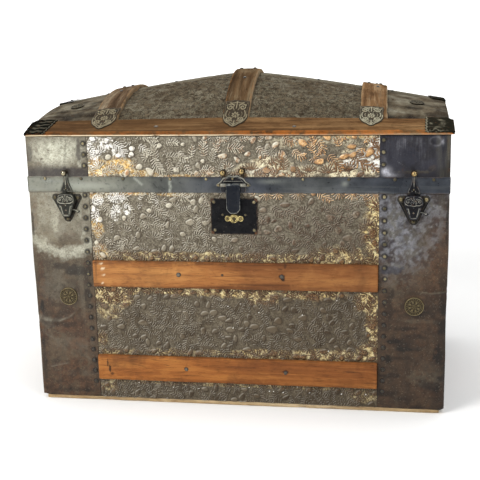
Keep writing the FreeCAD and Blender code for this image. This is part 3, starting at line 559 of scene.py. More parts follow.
# ===========================================================================
# Embossed sheet metal: a stamped field of pebbles, fronds, fans and dots
# ===========================================================================
class Field:
    """Heights 0..1 on a grid of w by h millimetres."""

    def __init__(self, w, h, res, seed):
        self.x = np.arange(0, w + res * 0.5, res)
        self.z = np.arange(0, h + res * 0.5, res)
        self.H = np.zeros((len(self.x), len(self.z)))
        self.M = np.zeros_like(self.H)
        self.R = np.ones_like(self.H)
        self.taken = []
        self.rng = np.random.RandomState(seed)
        self.res, self.w, self.h = res, w, h

    def near(self, cx, cz, r):
        i0, i1 = np.searchsorted(self.x, [cx - r, cx + r])
        j0, j1 = np.searchsorted(self.z, [cz - r, cz + r])
        if i1 - i0 < 2 or j1 - j0 < 2:
            return None
        sl = (slice(i0, i1), slice(j0, j1))
        X, Z = np.meshgrid(self.x[i0:i1] - cx, self.z[j0:j1] - cz, indexing="ij")
        return sl, X, Z

    def put(self, sl, h, rid):
        m = h > self.H[sl]
        self.R[sl] = np.where(m & (h > 0.12), rid, self.R[sl])
        self.H[sl] = np.maximum(self.H[sl], h)

    def pebble(self, cx, cz, a, b, rot, amp=1.0, rid=None):
        q = self.near(cx, cz, a * 1.8)
        if not q:
            return
        sl, X, Z = q
        c, s = math.cos(rot), math.sin(rot)
        u, v = X * c + Z * s, -X * s + Z * c
        th = np.arctan2(v / b, u / a)
        k = self.rng.rand(2) * 6.28
        pear = 1 + 0.22 * np.clip(u / a, -1, 1)
        d = np.hypot(u / a, v / (b * pear)) / (1 + 0.05 * np.sin(2 * th + k[0]) + 0.05 * np.sin(3 * th + k[1]))
        h = np.clip(1 - d ** 2.4, 0, 1) ** 0.60
        self.M[sl] = np.maximum(self.M[sl], np.exp(-((d - 1.20) / 0.15) ** 2))
        self.put(sl, h * amp, 0.25 + 0.75 * self.rng.rand() if rid is None else rid)

    def leaf(self, ax, az, bx, bz, r0, r1, amp, rid):
        L = math.hypot(bx - ax, bz - az)
        q = self.near((ax + bx) / 2, (az + bz) / 2, L / 2 + max(r0, r1) + 1.2)
        if not q:
            return
        sl, X, Z = q
        X, Z = X + (ax + bx) / 2 - ax, Z + (az + bz) / 2 - az
        ux, uz = (bx - ax) / L, (bz - az) / L
        t = np.clip((X * ux + Z * uz) / L, 0, 1)
        d = np.hypot(X - t * L * ux, Z - t * L * uz)
        r = r0 + (r1 - r0) * t
        self.M[sl] = np.maximum(self.M[sl], 0.55 * np.exp(-((d / r - 1.45) / 0.35) ** 2))
        self.put(sl, amp * smooth(1.25, 0.35, d / r) * (0.86 + 0.14 * np.sin(np.pi * np.clip(t, 0.05, 0.95))), rid)

    def frond(self, cx, cz, L, rot, bend, amp=0.85, rid=None):
        """A stem with leaflets to both sides."""
        rid = 0.25 + 0.75 * self.rng.rand() if rid is None else rid
        n = max(4, int(round(L / 4.4)))
        pts = []
        for i in range(n + 1):
            t = i / n
            a = rot + bend * (t - 0.5)
            pts.append((cx + (t - 0.5) * L * math.cos(a), cz + (t - 0.5) * L * math.sin(a), a))
        for (x0, z0, _), (x1, z1, _) in zip(pts[:-1], pts[1:]):
            self.leaf(x0, z0, x1, z1, 0.8, 0.8, amp * 0.8, rid)
        for i, (x, z, a) in enumerate(pts):
            t = i / n
            l = L * (0.20 + 0.22 * math.sin(math.pi * (0.12 + 0.70 * t))) * (0.85 + 0.3 * self.rng.rand())
            for sgn in (-1, 1):
                b = a + sgn * (1.12 - 0.45 * t + 0.10 * self.rng.randn())
                self.leaf(x + 0.8 * math.cos(b), z + 0.8 * math.sin(b), x + l * math.cos(b), z + l * math.sin(b), 0.70, 1.20, amp, rid)
        x, z, a = pts[-1]
        self.leaf(x, z, x + 3.0 * math.cos(a), z + 3.0 * math.sin(a), 0.9, 1.1, amp, rid)

    def fan(self, cx, cz, R, rot, spread, amp=0.85, rid=None):
        """Fingers spreading from one root."""
        rid = 0.25 + 0.75 * self.rng.rand() if rid is None else rid
        n = max(5, int(round(spread * R * 0.72 / 4.2)))
        for i in range(n):
            a = rot + spread * ((i + 0.5) / n - 0.5)
            l = R * (0.88 + 0.2 * self.rng.rand())
            self.leaf(cx + 2.6 * math.cos(a), cz + 2.6 * math.sin(a), cx + l * math.cos(a), cz + l * math.sin(a), 0.60, 1.30, amp, rid)
        self.leaf(cx, cz, cx + 0.3, cz, 1.6, 1.6, amp, rid)

    def dots(self, cx, cz, R, n, amp=0.7):
        rid = 0.25 + 0.75 * self.rng.rand()
        for i in range(n):
            a, r = i * 2.4 + self.rng.rand(), R * math.sqrt((i + 0.4) / n)
            self.leaf(cx + r * math.cos(a), cz + r * math.sin(a), cx + r * math.cos(a) + 0.4, cz + r * math.sin(a),
                      1.25, 1.25, amp, rid)

    def place(self, items, x0, z0):
        """Ornaments set out one by one: kind, x, height from the seam, size, width, turn, brightness."""
        for k, x, w, a, b, rot, lit in items:
            cx, cz, r_, rid = x - x0, w - z0, math.radians(rot), (1 - lit) * 0.9
            if not (-12 < cx < self.w + 12 and -12 < cz < self.h + 12):
                continue
            if k == "p":
                self.pebble(cx, cz, a, b, r_, 1.0, rid)
            elif k == "f":
                self.frond(cx, cz, a, r_, self.rng.randn() * 0.5, 0.85, rid)
            elif k == "n":
                self.fan(cx - 0.35 * a * math.cos(r_), cz - 0.35 * a * math.sin(r_), a, r_, 2.9, 0.85, rid)
            # kind s: a tiny boss that is always painted white, a painted glint
            else:
                self.leaf(cx, cz, cx + 1.2, cz + 0.5, a * 0.8, a, 0.7, -0.6)
            if k != "s":
                self.taken.append((cx, cz, 15.5 if k != "p" else 13.0))
        return self

    def fill(self, pitch=20.0):
        rg = self.rng
        row = 0
        z = -pitch * 0.2
        bag = []
        while z < self.h + pitch:
            x = (pitch * 0.5 if row % 2 else 0.0) - pitch * 0.3
            while x < self.w + pitch:
                cx, cz = x + rg.randn() * pitch * 0.13, z + rg.randn() * pitch * 0.13
                x += pitch
                if any(math.hypot(cx - a, cz - b) < r for a, b, r in self.taken):
                    continue
                if not bag:
                    bag = ["p", "p", "p", "f", "f", "f", "f", "n", "n", "n", "d"]
                    rg.shuffle(bag)
                k = bag.pop()
                a = rg.rand() * 6.283
                if k == "p":
                    self.pebble(cx, cz, 6.6 + 2.4 * rg.rand(), 4.6 + 1.4 * rg.rand(), a)
                elif k == "f":
                    self.frond(cx, cz, 19 + 7 * rg.rand(), a, rg.randn() * 0.7)
                elif k == "n":
                    self.fan(cx, cz, 10 + 3.5 * rg.rand(), a, 3.4 + 2.2 * rg.rand())
                else:
                    self.dots(cx, cz, 7.5, 10)
            z += pitch * 0.86
            row += 1
        X, Z = np.meshgrid(self.x, self.z, indexing="ij")
        ph = vnoise(X / 26, Z / 26, 71, 2) * 11 + vnoise(X / 7, Z / 7, 72, 2) * 1.0
        self.L = 0.5 + 0.5 * np.sin(ph * 6.283)
        self.G = self.L * (1 - smooth(0.0, 0.25, self.H)) * 0.16
        return self

    def height(self):
        """Metres of relief."""
        return (self.H * 2.0 + self.G - self.M * (1 - smooth(0.05, 0.4, self.H)) * 0.25) * 0.001


def blotch(X, Z, spots, seed, size=22.0, rough=0.55):
    """Soft patches (x, z, rx, rz, strength) whose rims are broken up by noise; millimetres."""
    n = vnoise(X / size + 7, Z / size + 3, seed, 4, 0.6) - 0.5
    m = np.zeros_like(X)
    for x, z, rx, rz, s in spots:
        d = np.hypot((X - x) / rx, (Z - z) / rz)
        m = np.maximum(m, s * smooth(1.15, 0.62, d + n * rough * 2))
    return m


def tin_material():
    m = Mat("embossed_tin")
    h, gilt, white, warm, rnd, age, moat, line, hue, slope, red = (
        m.attr(k) for k in ("h", "gilt", "white", "warm", "rnd", "age", "moat", "line", "hue", "slope", "red"))
    n1 = m.noise(420, 3, 0.6)
    n2 = m.noise(46, 4, 0.6)
    n3 = m.noise(140, 4, 0.65)
    n4 = m.noise(250, 3, 0.6)
    M2 = lambda a_, b_: m.math("MULTIPLY", a_, b_)
    up = m.rng(h, 0.20, 0.48)
    top = m.rng(h, 0.60, 0.95)
    rimline = M2(m.rng(h, 0.02, 0.10), m.rng(h, 0.42, 0.20))
    low_ = M2(m.rng(line, 0.55, 0.15), m.rng(h, 0.2, 0.05))
    # the dusty lacquered ground and its worn ridges
    gd = m.mix(m.rng(n2, 0.35, 0.68), (0.150, 0.130, 0.092), (0.235, 0.210, 0.158))
    # pressed squiggles fill the ground between the figures
    vn = m.math("SUBTRACT", m.noise(128, 2, 0.55, 0.6), 0.5)
    flat = m.rng(h, 0.16, 0.03)
    sq_d = M2(M2(m.rng(vn, -0.105, -0.045), m.rng(vn, 0.030, -0.030)), flat)
    sq_l = M2(M2(m.rng(vn, -0.010, 0.045), m.rng(vn, 0.120, 0.060)), flat)
    gd = m.mix(M2(low_, 0.55), gd, (0.060, 0.045, 0.028))
    gd = m.mix(M2(sq_d, 0.50), gd, (0.045, 0.032, 0.018))
    gd = m.mix(M2(sq_l, 0.26), gd, (0.40, 0.365, 0.28))
    gd = m.mix(M2(m.rng(n4, 0.50, 0.64), 0.50), gd, (0.055, 0.040, 0.025))
    gd = m.mix(M2(m.rng(n4, 0.45, 0.34), 0.45), gd, (0.36, 0.33, 0.25))
    rd = m.mix(m.rng(rnd, 0.30, 1.0), (0.175, 0.150, 0.108), (0.36, 0.325, 0.245))
    rd = m.mix(M2(m.rng(n4, 0.5, 0.64), 0.45), rd, (0.095, 0.065, 0.040))
    rd = m.mix(M2(m.rng(n3, 0.54, 0.68), 0.5), rd, (0.145, 0.075, 0.040))
    rd = m.mix(M2(red, m.rng(n3, 0.62, 0.40, 0.25, 0.95)), rd, m.mix(m.rng(n4, 0.42, 0.58), (0.150, 0.084, 0.052), (0.050, 0.024, 0.014)))
    dusty = m.mix(up, gd, rd)
    aged = m.mix(up, m.mix(m.rng(n2, 0.35, 0.68), (0.076, 0.058, 0.036), (0.126, 0.100, 0.064)),
                 m.mix(m.rng(rnd, 0.3, 0.95), (0.050, 0.033, 0.018), (0.088, 0.063, 0.037)))
    aged = m.mix(M2(low_, 0.40), aged, (0.032, 0.022, 0.014))
    aged = m.mix(M2(sq_d, 0.45), aged, (0.032, 0.023, 0.014))
    aged = m.mix(M2(sq_l, 0.24), aged, (0.20, 0.168, 0.112))
    aged = m.mix(M2(m.rng(n4, 0.58, 0.72), 0.45), aged, (0.21, 0.17, 0.105))
    dusty = m.mix(age, dusty, aged)
    # old gilding: yellow ground, red-brown figures
    gg = m.mix(m.rng(n3, 0.36, 0.66), (0.86, 0.77, 0.45), (0.66, 0.50, 0.21))
    gg = m.mix(m.rng(white, 0.35, 0.75), gg, (0.90, 0.88, 0.78))
    gg = m.mix(m.math("MULTIPLY", age, 0.22), gg, (0.30, 0.20, 0.08))
    gg = m.mix(M2(sq_d, 0.85), gg, (0.070, 0.030, 0.013))
    gg = m.mix(M2(m.rng(n4, 0.54, 0.66), m.rng(white, 0.9, 0.4, 0.20, 0.50)), gg, (0.30, 0.20, 0.08))
    gg = m.mix(M2(m.rng(n1, 0.54, 0.65), m.rng(white, 0.9, 0.4, 0.30, 0.75)), gg, (0.10, 0.045, 0.018))
    v2 = m.math("ABSOLUTE", m.math("SUBTRACT", m.noise(88, 2, 0.5, 0.9), 0.5))
    gg = m.mix(M2(m.rng(v2, 0.048, 0.086), m.rng(m.math("ADD", white, hue), 1.0, 0.4, 0.12, 0.74)), gg, m.mix(m.rng(n3, 0.4, 0.6), (0.120, 0.052, 0.024), (0.055, 0.024, 0.012)))
    lid_ = m.rng(hue, 0.12, 0.40)
    rg = m.mix(m.rng(n4, 0.42, 0.64), (0.050, 0.019, 0.008), m.mix(lid_, (0.140, 0.060, 0.022), (0.26, 0.115, 0.045)))
    rg = m.mix(M2(m.rng(rnd, 0.72, 0.50), M2(top, m.math("ADD", 0.12, M2(lid_, 0.7)))), rg, (0.62, 0.34, 0.12))
    rg = m.mix(M2(m.rng(n1, 0.50, 0.62), m.rng(lid_, 1.0, 0.0, 0.08, 0.30)), rg, (0.60, 0.48, 0.24))
    gold = m.mix(m.rng(h, 0.05, 0.22), gg, rg)
    # warm lacquer: cream, yellow, orange and brown specks
    gm = m.mix(m.rng(n4, 0.38, 0.60), (0.84, 0.78, 0.55), (0.72, 0.44, 0.12))
    gm = m.mix(M2(m.rng(n3, 0.52, 0.64), 0.55), gm, (0.34, 0.22, 0.09))
    gm = m.mix(M2(m.rng(n1, 0.54, 0.66), 0.75), gm, (0.16, 0.07, 0.025))
    gm = m.mix(M2(sq_d, 0.75), gm, (0.17, 0.075, 0.025))
    rm = m.mix(m.rng(n3, 0.44, 0.60), (0.86, 0.80, 0.62), (0.50, 0.22, 0.065))
    rm = m.mix(M2(m.rng(n1, 0.55, 0.68), 0.6), rm, (0.18, 0.08, 0.03))
    wrm = m.mix(up, gm, rm)
    c = m.mix(gilt, dusty, gold)
    c = m.mix(warm, c, wrm)
    # bright bare metal and painted glare of the lamps, on the figures first, then on the ground
    hn = m.rng(m.math("ADD", hue, m.math("MULTIPLY", m.math("SUBTRACT", n3, 0.5), 2.2)), 0.35, 0.75)
    lit = m.mix(hn, m.mix(m.rng(white, 0.5, 0.85), (0.56, 0.52, 0.41), (0.95, 0.93, 0.88)), m.mix(m.rng(n3, 0.42, 0.60), (0.86, 0.52, 0.22), (0.32, 0.135, 0.052)))
    lit = m.mix(M2(m.rng(n1, 0.52, 0.66), 0.65), lit, (0.27, 0.20, 0.12))
    lit = m.mix(M2(m.rng(n3, 0.56, 0.68), 0.45), lit, (0.40, 0.32, 0.20))
    pf = M2(M2(m.rng(m.math("SUBTRACT", white, m.math("MULTIPLY", rnd, 0.8)), -0.02, 0.16), up), m.rng(gilt, 0.9, 0.3, 0.25, 1.0))
    c = m.mix(M2(pf, m.rng(n3, 0.70, 0.48, 0.40, 0.95)), c, lit)
    pg = M2(M2(m.rng(white, 0.74, 0.95), m.rng(n3, 0.56, 0.42)), M2(m.rng(h, 0.2, 0.05), m.math("SUBTRACT", 1.0, M2(sq_d, 0.35))))
    c = m.mix(M2(pg, 0.92), c, m.mix(m.rng(n1, 0.58, 0.70), (0.94, 0.92, 0.86), (0.30, 0.24, 0.14)))
    # painted light and shade: slopes of the relief that face up and to the left are painted lighter, the others darker
    c = m.mix(M2(m.rng(slope, 0.06, 0.45), M2(m.math("SUBTRACT", 0.42, M2(age, 0.26)), m.math("SUBTRACT", 1.0, m.math("MAXIMUM", M2(gilt, 0.75), M2(red, 0.6))))), c, (0.74, 0.71, 0.60))
    c = m.mix(M2(m.rng(slope, -0.06, -0.45), 0.60), c, (0.036, 0.023, 0.012))
    c = m.mix(M2(rimline, m.math("ADD", 0.50, M2(gilt, 0.2))), c, (0.036, 0.022, 0.012))
    c = m.mix(M2(moat, 0.48), c, (0.042, 0.028, 0.017))
    # fine white specks: painted glints
    spec = m.vor(330, "F1")
    dots = M2(m.rng(spec, 0.12, 0.05), m.rng(m.noise(24, 3), 0.52, 0.64))
    c = m.mix(M2(dots, 0.7), c, (0.78, 0.76, 0.68))
    r = m.mix(gilt, m.ramp(n3, (0.3, 0.36), (0.7, 0.62)), m.ramp(n3, (0.3, 0.26), (0.7, 0.5)))
    m.set(Base_Color=c, Roughness=r, Metallic=0.12, Specular_IOR_Level=0.25)
    m.bump(m.mix(0.5, n1, n3), 0.45, 0.0005)
    return m


M_tin = tin_material()
TIN_Y = YF + 0.0004


LID_PLACES = [
    ("p", -287, 111, 7.1, 5.4, -25, 1), ("p", -256, 73, 7.5, 5.8, 20, 1), ("p", -207, 78, 6.7, 5.8, 40, 0.9),
    ("p", -147, 96, 5.8, 5.4, 60, 0.8), ("p", -169, 44, 10.4, 6.7, -40, 0.85), ("p", -191, 53, 7.9, 6.2, 30, 0.6),
    ("p", -98, 99, 4.6, 4.2, 0, 0.7), ("p", -115, 47, 6.2, 5.8, 0, 1), ("p", -58, 65, 4.6, 4.6, 0, 0.9),
    ("p", -17, 75, 10.0, 5.8, 0, 0.95), ("p", 34, 79, 6.7, 5.4, 10, 0.8), ("p", 12, 68, 8.7, 4.2, -45, 1),
    ("p", 59, 73, 4.2, 4.2, 0, 1), ("p", 77, 112, 7.5, 5.0, 5, 0.9), ("p", 90, 97, 8.7, 5.8, 40, 0.7),
    ("p", 144, 102, 10.4, 7.1, -30, 0.9), ("p", 71, 46, 9.2, 7.1, -15, 0.3), ("p", 125, 49, 7.5, 7.1, 80, 0.3),
    ("p", -52, 114, 6.7, 5.0, -90, 0.8), ("p", -44, 40, 10.4, 3.7, 0, 1), ("p", 193, 113, 9.2, 6.2, -15, 0.85),
    ("p", 246, 115, 7.1, 5.4, -60, 0.9), ("p", 177, 64, 11.2, 6.2, 10, 0.6), ("p", 227, 74, 11.6, 6.2, 20, 0.55),
    ("p", 276, 82, 11.2, 7.9, 55, 0.45), ("p", 241, 94, 9.6, 5.8, 5, 0.6), ("p", 258, 39, 8.3, 5.4, 30, 0.1),
    ("f", -231, 93, 29, 0, -40, 1), ("f", -179, 89, 25, 0, -45, 0.95), ("f", -154, 56, 29, 0, -60, 0.95),
    ("f", -167, 113, 27, 0, 0, 0.9), ("f", -121, 103, 21, 0, 0, 0.6), ("f", -101, 74, 23, 0, -45, 0.8),
    ("f", -89, 48, 19, 0, -60, 0.9), ("f", -80, 83, 19, 0, 80, 0.7), ("f", -56, 89, 27, 0, 90, 0.6),
    ("f", -29, 95, 25, 0, 80, 0.7), ("f", -52, 48, 25, 0, 0, 0.85), ("f", 30, 112, 21, 0, 10, 0.6),
    ("f", 61, 112, 17, 0, 80, 0.6), ("f", 115, 106, 25, 0, -30, 0.95), ("f", 61, 85, 21, 0, -50, 0.85),
    ("f", 90, 68, 29, 0, 35, 0.5), ("f", 107, 60, 25, 0, 90, 0.4), ("f", 134, 77, 25, 0, -30, 0.7),
    ("f", 162, 94, 25, 0, 90, 0.8), ("f", 183, 94, 25, 0, -80, 0.8), ("f", 214, 107, 25, 0, 60, 0.8),
    ("f", 207, 64, 33, 0, -48, 0.55), ("f", 255, 67, 37, 0, -42, 0.3), ("f", 271, 115, 19, 0, -90, 0.9),
    ("f", 286, 53, 19, 0, -50, 0.2), ("f", 287, 106, 17, 0, 60, 0.3), ("f", 7, 91, 27, 0, -5, 0.8),
    ("n", -8, 54, 14, 0, 100, 0.6), ("n", 41, 52, 15, 0, 90, 0.5), ("n", 235, 51, 18, 0, 100, 0.25),
    ("n", 193, 46, 17, 0, 90, 0.3), ("n", 158, 49, 15, 0, 90, 0.3), ("n", -274, 86, 15, 0, 100, 1),
    ("n", -236, 51, 12, 0, 80, 0.9), ("n", -278, 55, 15, 0, 120, 0.9)]

UPPER_PLACES = [
    ("p", -174, -38, 6.2, 5.0, -10, 0.9), ("p", -132, -27, 7.5, 5.8, 0, 0.95), ("p", -81, -20, 7.1, 6.7, 0, 0.6),
    ("p", -228, -55, 6.2, 5.0, 90, 0.9), ("p", -200, -91, 8.3, 5.4, 90, 0.35), ("p", -246, -97, 8.3, 5.8, 15, 0.15),
    ("p", -89, -62, 8.7, 7.5, 0, 0.1), ("p", -166, -126, 8.7, 5.8, -15, 0.5), ("p", -282, -58, 7.5, 6.2, 0, 0.95),
    ("p", -291, -108, 5.8, 5.0, 90, 0.9), ("p", 63, -35, 8.7, 5.4, 5, 0.15), ("p", 108, -24, 10.8, 5.4, 0, 0.6),
    ("p", 161, -17, 7.5, 5.8, 50, 0.55), ("p", 85, -57, 6.2, 3.7, 30, 0.8), ("p", 94, -74, 9.2, 6.7, 20, 0.05),
    ("p", 199, -49, 9.6, 6.7, -30, 0.15), ("p", 153, -66, 6.2, 4.6, -20, 0.8), ("p", 251, -43, 8.3, 7.1, 60, 0.1),
    ("p", 216, -76, 8.3, 7.1, 90, 0.25), ("p", 234, -91, 10.4, 7.1, 10, 0.2), ("p", 284, -82, 10.4, 8.7, 90, 0.05),
    ("p", 188, -103, 5.0, 4.2, 0, 0.8), ("f", -220, -28, 21, 0, -35, 0.95), ("f", -262, -37, 25, 0, -65, 0.95),
    ("f", -246, -33, 19, 0, 60, 0.95), ("f", -282, -9, 21, 0, 40, 0.9), ("f", -235, -6, 25, 0, 0, 0.9),
    ("f", -169, -13, 21, 0, 60, 0.75), ("f", -190, -7, 17, 0, 50, 0.7), ("f", -108, -7, 29, 0, -15, 0.75),
    ("f", -206, -56, 25, 0, -90, 0.4), ("f", -143, -43, 21, 0, -60, 0.45), ("f", -101, -40, 29, 0, 20, 0.2),
    ("f", -77, -90, 25, 0, 20, 0.2), ("f", -260, -76, 19, 0, 80, 0.3), ("f", 191, -75, 25, 0, -80, 0.6),
    ("f", 92, -38, 25, 0, -40, 0.3), ("f", 118, -43, 25, 0, -35, 0.3), ("f", 171, -58, 21, 0, -60, 0.3),
    ("f", 236, -21, 25, 0, 70, 0.3), ("f", 236, -58, 25, 0, 75, 0.2), ("f", 266, -63, 25, 0, 40, 0.1),
    ("f", 159, -110, 25, 0, -75, 0.2), ("f", 186, -6, 27, 0, -35, 0.8), ("n", -228, -80, 15, 0, 90, 0.3),
    ("n", -168, -93, 15, 0, 90, 0.4), ("n", -127, -100, 15, 0, -90, 0.3), ("n", 146, -36, 15, 0, 90, 0.15),
    ("n", 211, -37, 17, 0, 90, 0.1), ("n", 130, -79, 17, 0, 60, 0.05), ("n", 191, -116, 19, 0, 90, 0.1),
    ("n", 83, -118, 17, 0, 90, 0.1), ("n", 70, -6, 15, 0, -90, 0.65), ("n", 94, -5, 12, 0, -90, 0.7),
    ("n", 135, -4, 17, 0, -90, 0.6), ("n", 217, -2, 15, 0, -90, 0.75), ("n", 244, -4, 17, 0, -90, 0.7),
    ("n", 288, -4, 15, 0, -90, 0.65)]

# entries of kind s are tiny bosses painted white: painted glints
MIDDLE_PLACES = [
    ("p", -281, -247, 9.2, 5.4, -30, 0), ("p", -234, -244, 7.5, 6.2, -20, 0), ("p", -180, -228, 7.1, 5.0, 20, 0.1),
    ("p", -127, -222, 10.4, 5.8, 5, 0.1), ("p", -200, -282, 10.0, 6.7, 0, 0), ("p", -247, -292, 9.2, 6.2, 10, 0),
    ("p", -87, -213, 7.5, 5.0, 0, 0), ("p", -79, -346, 10.4, 5.4, 0, 0), ("p", 111, -224, 9.6, 5.4, 5, 0.1),
    ("p", 160, -213, 11.2, 5.8, 0, 0), ("p", 87, -218, 9.6, 5.8, 0, 0), ("p", 143, -262, 9.6, 6.7, 0, 0),
    ("p", 41, -284, 10.0, 6.7, 0, 0), ("p", 78, -289, 13.3, 7.9, 0, 0), ("p", -10, -292, 10.4, 6.7, 0, 0),
    ("p", -26, -267, 9.6, 5.8, 0, 0), ("p", -45, -256, 9.2, 7.1, 0, 0), ("p", 91, -270, 8.7, 7.9, 0, 0),
    ("p", 131, -309, 8.7, 6.2, 0, 0), ("p", 267, -334, 10.4, 6.2, 0, 0), ("p", 285, -277, 8.3, 6.2, 0, 0.1),
    ("p", 80, -343, 9.6, 6.2, 0, 0), ("p", 25, -335, 9.6, 5.8, 0, 0), ("p", 185, -334, 9.2, 6.2, 0, 0),
    ("f", -249, -230, 25, 0, 90, 0), ("f", -275, -226, 21, 0, -45, 0), ("f", -11, -218, 25, 0, 85, 0),
    ("f", -39, -226, 21, 0, -30, 0), ("f", 282, -230, 25, 0, 75, 0), ("f", 29, -224, 21, 0, -60, 0),
    ("n", -254, -261, 15, 0, 90, 0), ("s", 12, -235, 1.3, 0, 0, 1), ("s", 212, -223, 1.3, 0, 0, 1),
    ("s", 249, -234, 1.3, 0, 0, 1), ("s", 195, -333, 1.3, 0, 0, 1), ("s", 162, -345, 1.3, 0, 0, 1),
    ("s", -5, -288, 1.3, 0, 0, 1), ("s", 50, -253, 1.3, 0, 0, 1), ("s", -15, -241, 1.3, 0, 0, 1),
    ("s", 141, -256, 1.3, 0, 0, 1), ("s", -292, -290, 1.3, 0, 0, 1)]

# entries of kind s are tiny bosses painted white: painted glints
LOWER_PLACES = [("s", -214, -418, 1.5, 0, 0, 1), ("s", -139, -426, 1.5, 0, 0, 1), ("s", -83, -427, 1.5, 0, 0, 1), ("s", -38, -413, 1.5, 0, 0, 1), ("s", 27, -420, 1.5, 0, 0, 1), ("s", 70, -427, 1.5, 0, 0, 1), ("s", 79, -427, 1.5, 0, 0, 1), ("s", 99, -429, 1.5, 0, 0, 1), ("s", 129, -415, 1.5, 0, 0, 1), ("s", 155, -427, 1.5, 0, 0, 1), ("s", 222, -427, 1.5, 0, 0, 1), ("s", 272, -426, 1.5, 0, 0, 1)]


def mask_front(X, Z):
    """Where the old gilding and the warm lacquer survive on the front of the base, and where the tin is painted bright,
    partly bare tin and partly painted glare; mm from the seam.
    """
    g = blotch(X, Z, [
        (286, -72, 22, 62, 1.0), (292, -130, 14, 40, 1.0), (250, -140, 46, 16, 0.95), (205, -132, 60, 22, 0.75),
        (120, -136, 80, 13, 0.75), (20, -137, 150, 12, 0.75), (-120, -135, 120, 13, 0.75), (-230, -136, 70, 12, 0.7),
        (-262, -222, 44, 26, 1.0), (-235, -210, 50, 14, 0.9), (-130, -208, 100, 12, 0.9), (0, -209, 110, 14, 0.95),
        (60, -214, 40, 22, 0.8), (160, -211, 90, 14, 0.95), (270, -222, 26, 26, 1.0), (284, -262, 16, 50, 1.0),
        (-270, -260, 26, 16, 0.5), (-250, -348, 60, 9, 0.55), (-100, -346, 120, 9, 0.55), (60, -344, 110, 11, 0.75),
        (190, -342, 100, 14, 0.8), (275, -335, 26, 22, 0.9), (288, -310, 12, 30, 0.8),
        (-290, -320, 12, 22, 0.7), (0, -416, 320, 5, 0.5), (-280, -430, 30, 14, 0.5), (270, -430, 30, 14, 0.5)], 3, 17)
    w = blotch(X, Z, [
        (-284, -14, 18, 16, 0.9), (-240, -10, 20, 16, 1.0), (-205, -12, 20, 9, 0.7), (-245, -42, 15, 24, 1.0),
        (-222, -36, 10, 14, 1.0), (-290, -46, 10, 26, 0.8), (-275, -66, 13, 12, 0.7), (-190, -34, 16, 12, 0.7),
        (-270, -130, 24, 12, 0.5), (-160, -20, 10, 12, 0.7), (-60, -24, 40, 10, 0.35), (40, -130, 20, 10, 0.45),
        (60, -120, 26, 14, 0.35)], 5, 15, 0.45)
    w = np.maximum(w, 0.36 * smooth(-150, -110, Z) * (1 - 0.35 * smooth(-120, 60, X) * smooth(-30, -50, Z)))
    w = np.maximum(w, 0.45 * blotch(X, Z, [(286, -60, 14, 60, 1.0), (276, -130, 20, 14, 0.8)], 6, 15))
    o = blotch(X, Z, [
        (-285, -8, 20, 6, 0.9), (-225, -3, 60, 3.5, 0.9), (-120, -4, 40, 4, 0.6), (-288, -74, 14, 26, 0.65),
        (-285, -128, 16, 18, 0.5)], 9, 13, 0.4)
    u = 0.10 + 0.85 * smooth(10, 60, X) * smooth(-70, -20, Z)
    return g, w, o, u


def mask_lid(X, Z):
    g = blotch(X, Z, [
        (278, 62, 34, 34, 1.0), (284, 100, 24, 22, 1.0), (225, 50, 44, 24, 0.95), (150, 44, 50, 14, 0.7),
        (80, 52, 50, 24, 0.95), (40, 46, 40, 16, 0.8), (-40, 38, 60, 8, 0.5), (200, 108, 60, 9, 0.5),
        (120, 104, 50, 12, 0.45), (240, 84, 20, 26, 0.7)], 13, 17)
    # w: where the tin is painted bright, partly bare tin and partly painted glare
    w = blotch(X, Z, [
        (-284, 96, 20, 34, 1.0), (-258, 104, 22, 24, 1.0), (-236, 88, 22, 26, 0.9), (-205, 92, 30, 22, 0.7),
        (-285, 66, 14, 18, 0.8), (-150, 84, 40, 30, 0.55), (-110, 56, 40, 18, 0.6), (-60, 96, 50, 14, 0.5),
        (262, 78, 20, 16, 0.8), (284, 90, 12, 26, 0.8), (0, 50, 20, 12, 0.45), (-30, 80, 60, 30, 0.30),
        (90, 96, 30, 12, 0.4)], 15, 15, 0.45)
    w = np.maximum(w, 0.52 + 0 * X)
    w = np.maximum(w, blotch(X, Z, [(286, 78, 16, 44, 1.0), (248, 60, 34, 12, 0.85), (60, 44, 60, 10, 0.6)], 16, 15, 0.5))
    o = blotch(X, Z, [
        (-275, 46, 46, 14, 1.0), (-232, 56, 34, 18, 0.9), (-190, 40, 40, 8, 0.6), (-285, 60, 20, 16, 0.7),
        (-120, 34, 60, 4, 0.6), (235, 114, 26, 5, 0.6), (270, 114, 20, 5, 0.6)], 19, 13, 0.45)
    u = 0.06 + 0.40 * smooth(-160, -40, X) + 0.40 * smooth(60, 180, X)
    return g, w, o, u


def reddish(X, Z):
    """Where the raised figures have browned: the right half under the band, a little on the lid."""
    n = vnoise(X / 26, Z / 26, 31, 3, 0.6)
    a = smooth(-90, 90, X + 110 * (n - 0.5)) * smooth(-165, -140, Z) * smooth(-9, -24, Z + 8 * (n - 0.5))
    b = 0.55 * smooth(60, 190, X + 90 * (n - 0.5)) * smooth(0, 6, Z)
    return np.maximum(a, b)


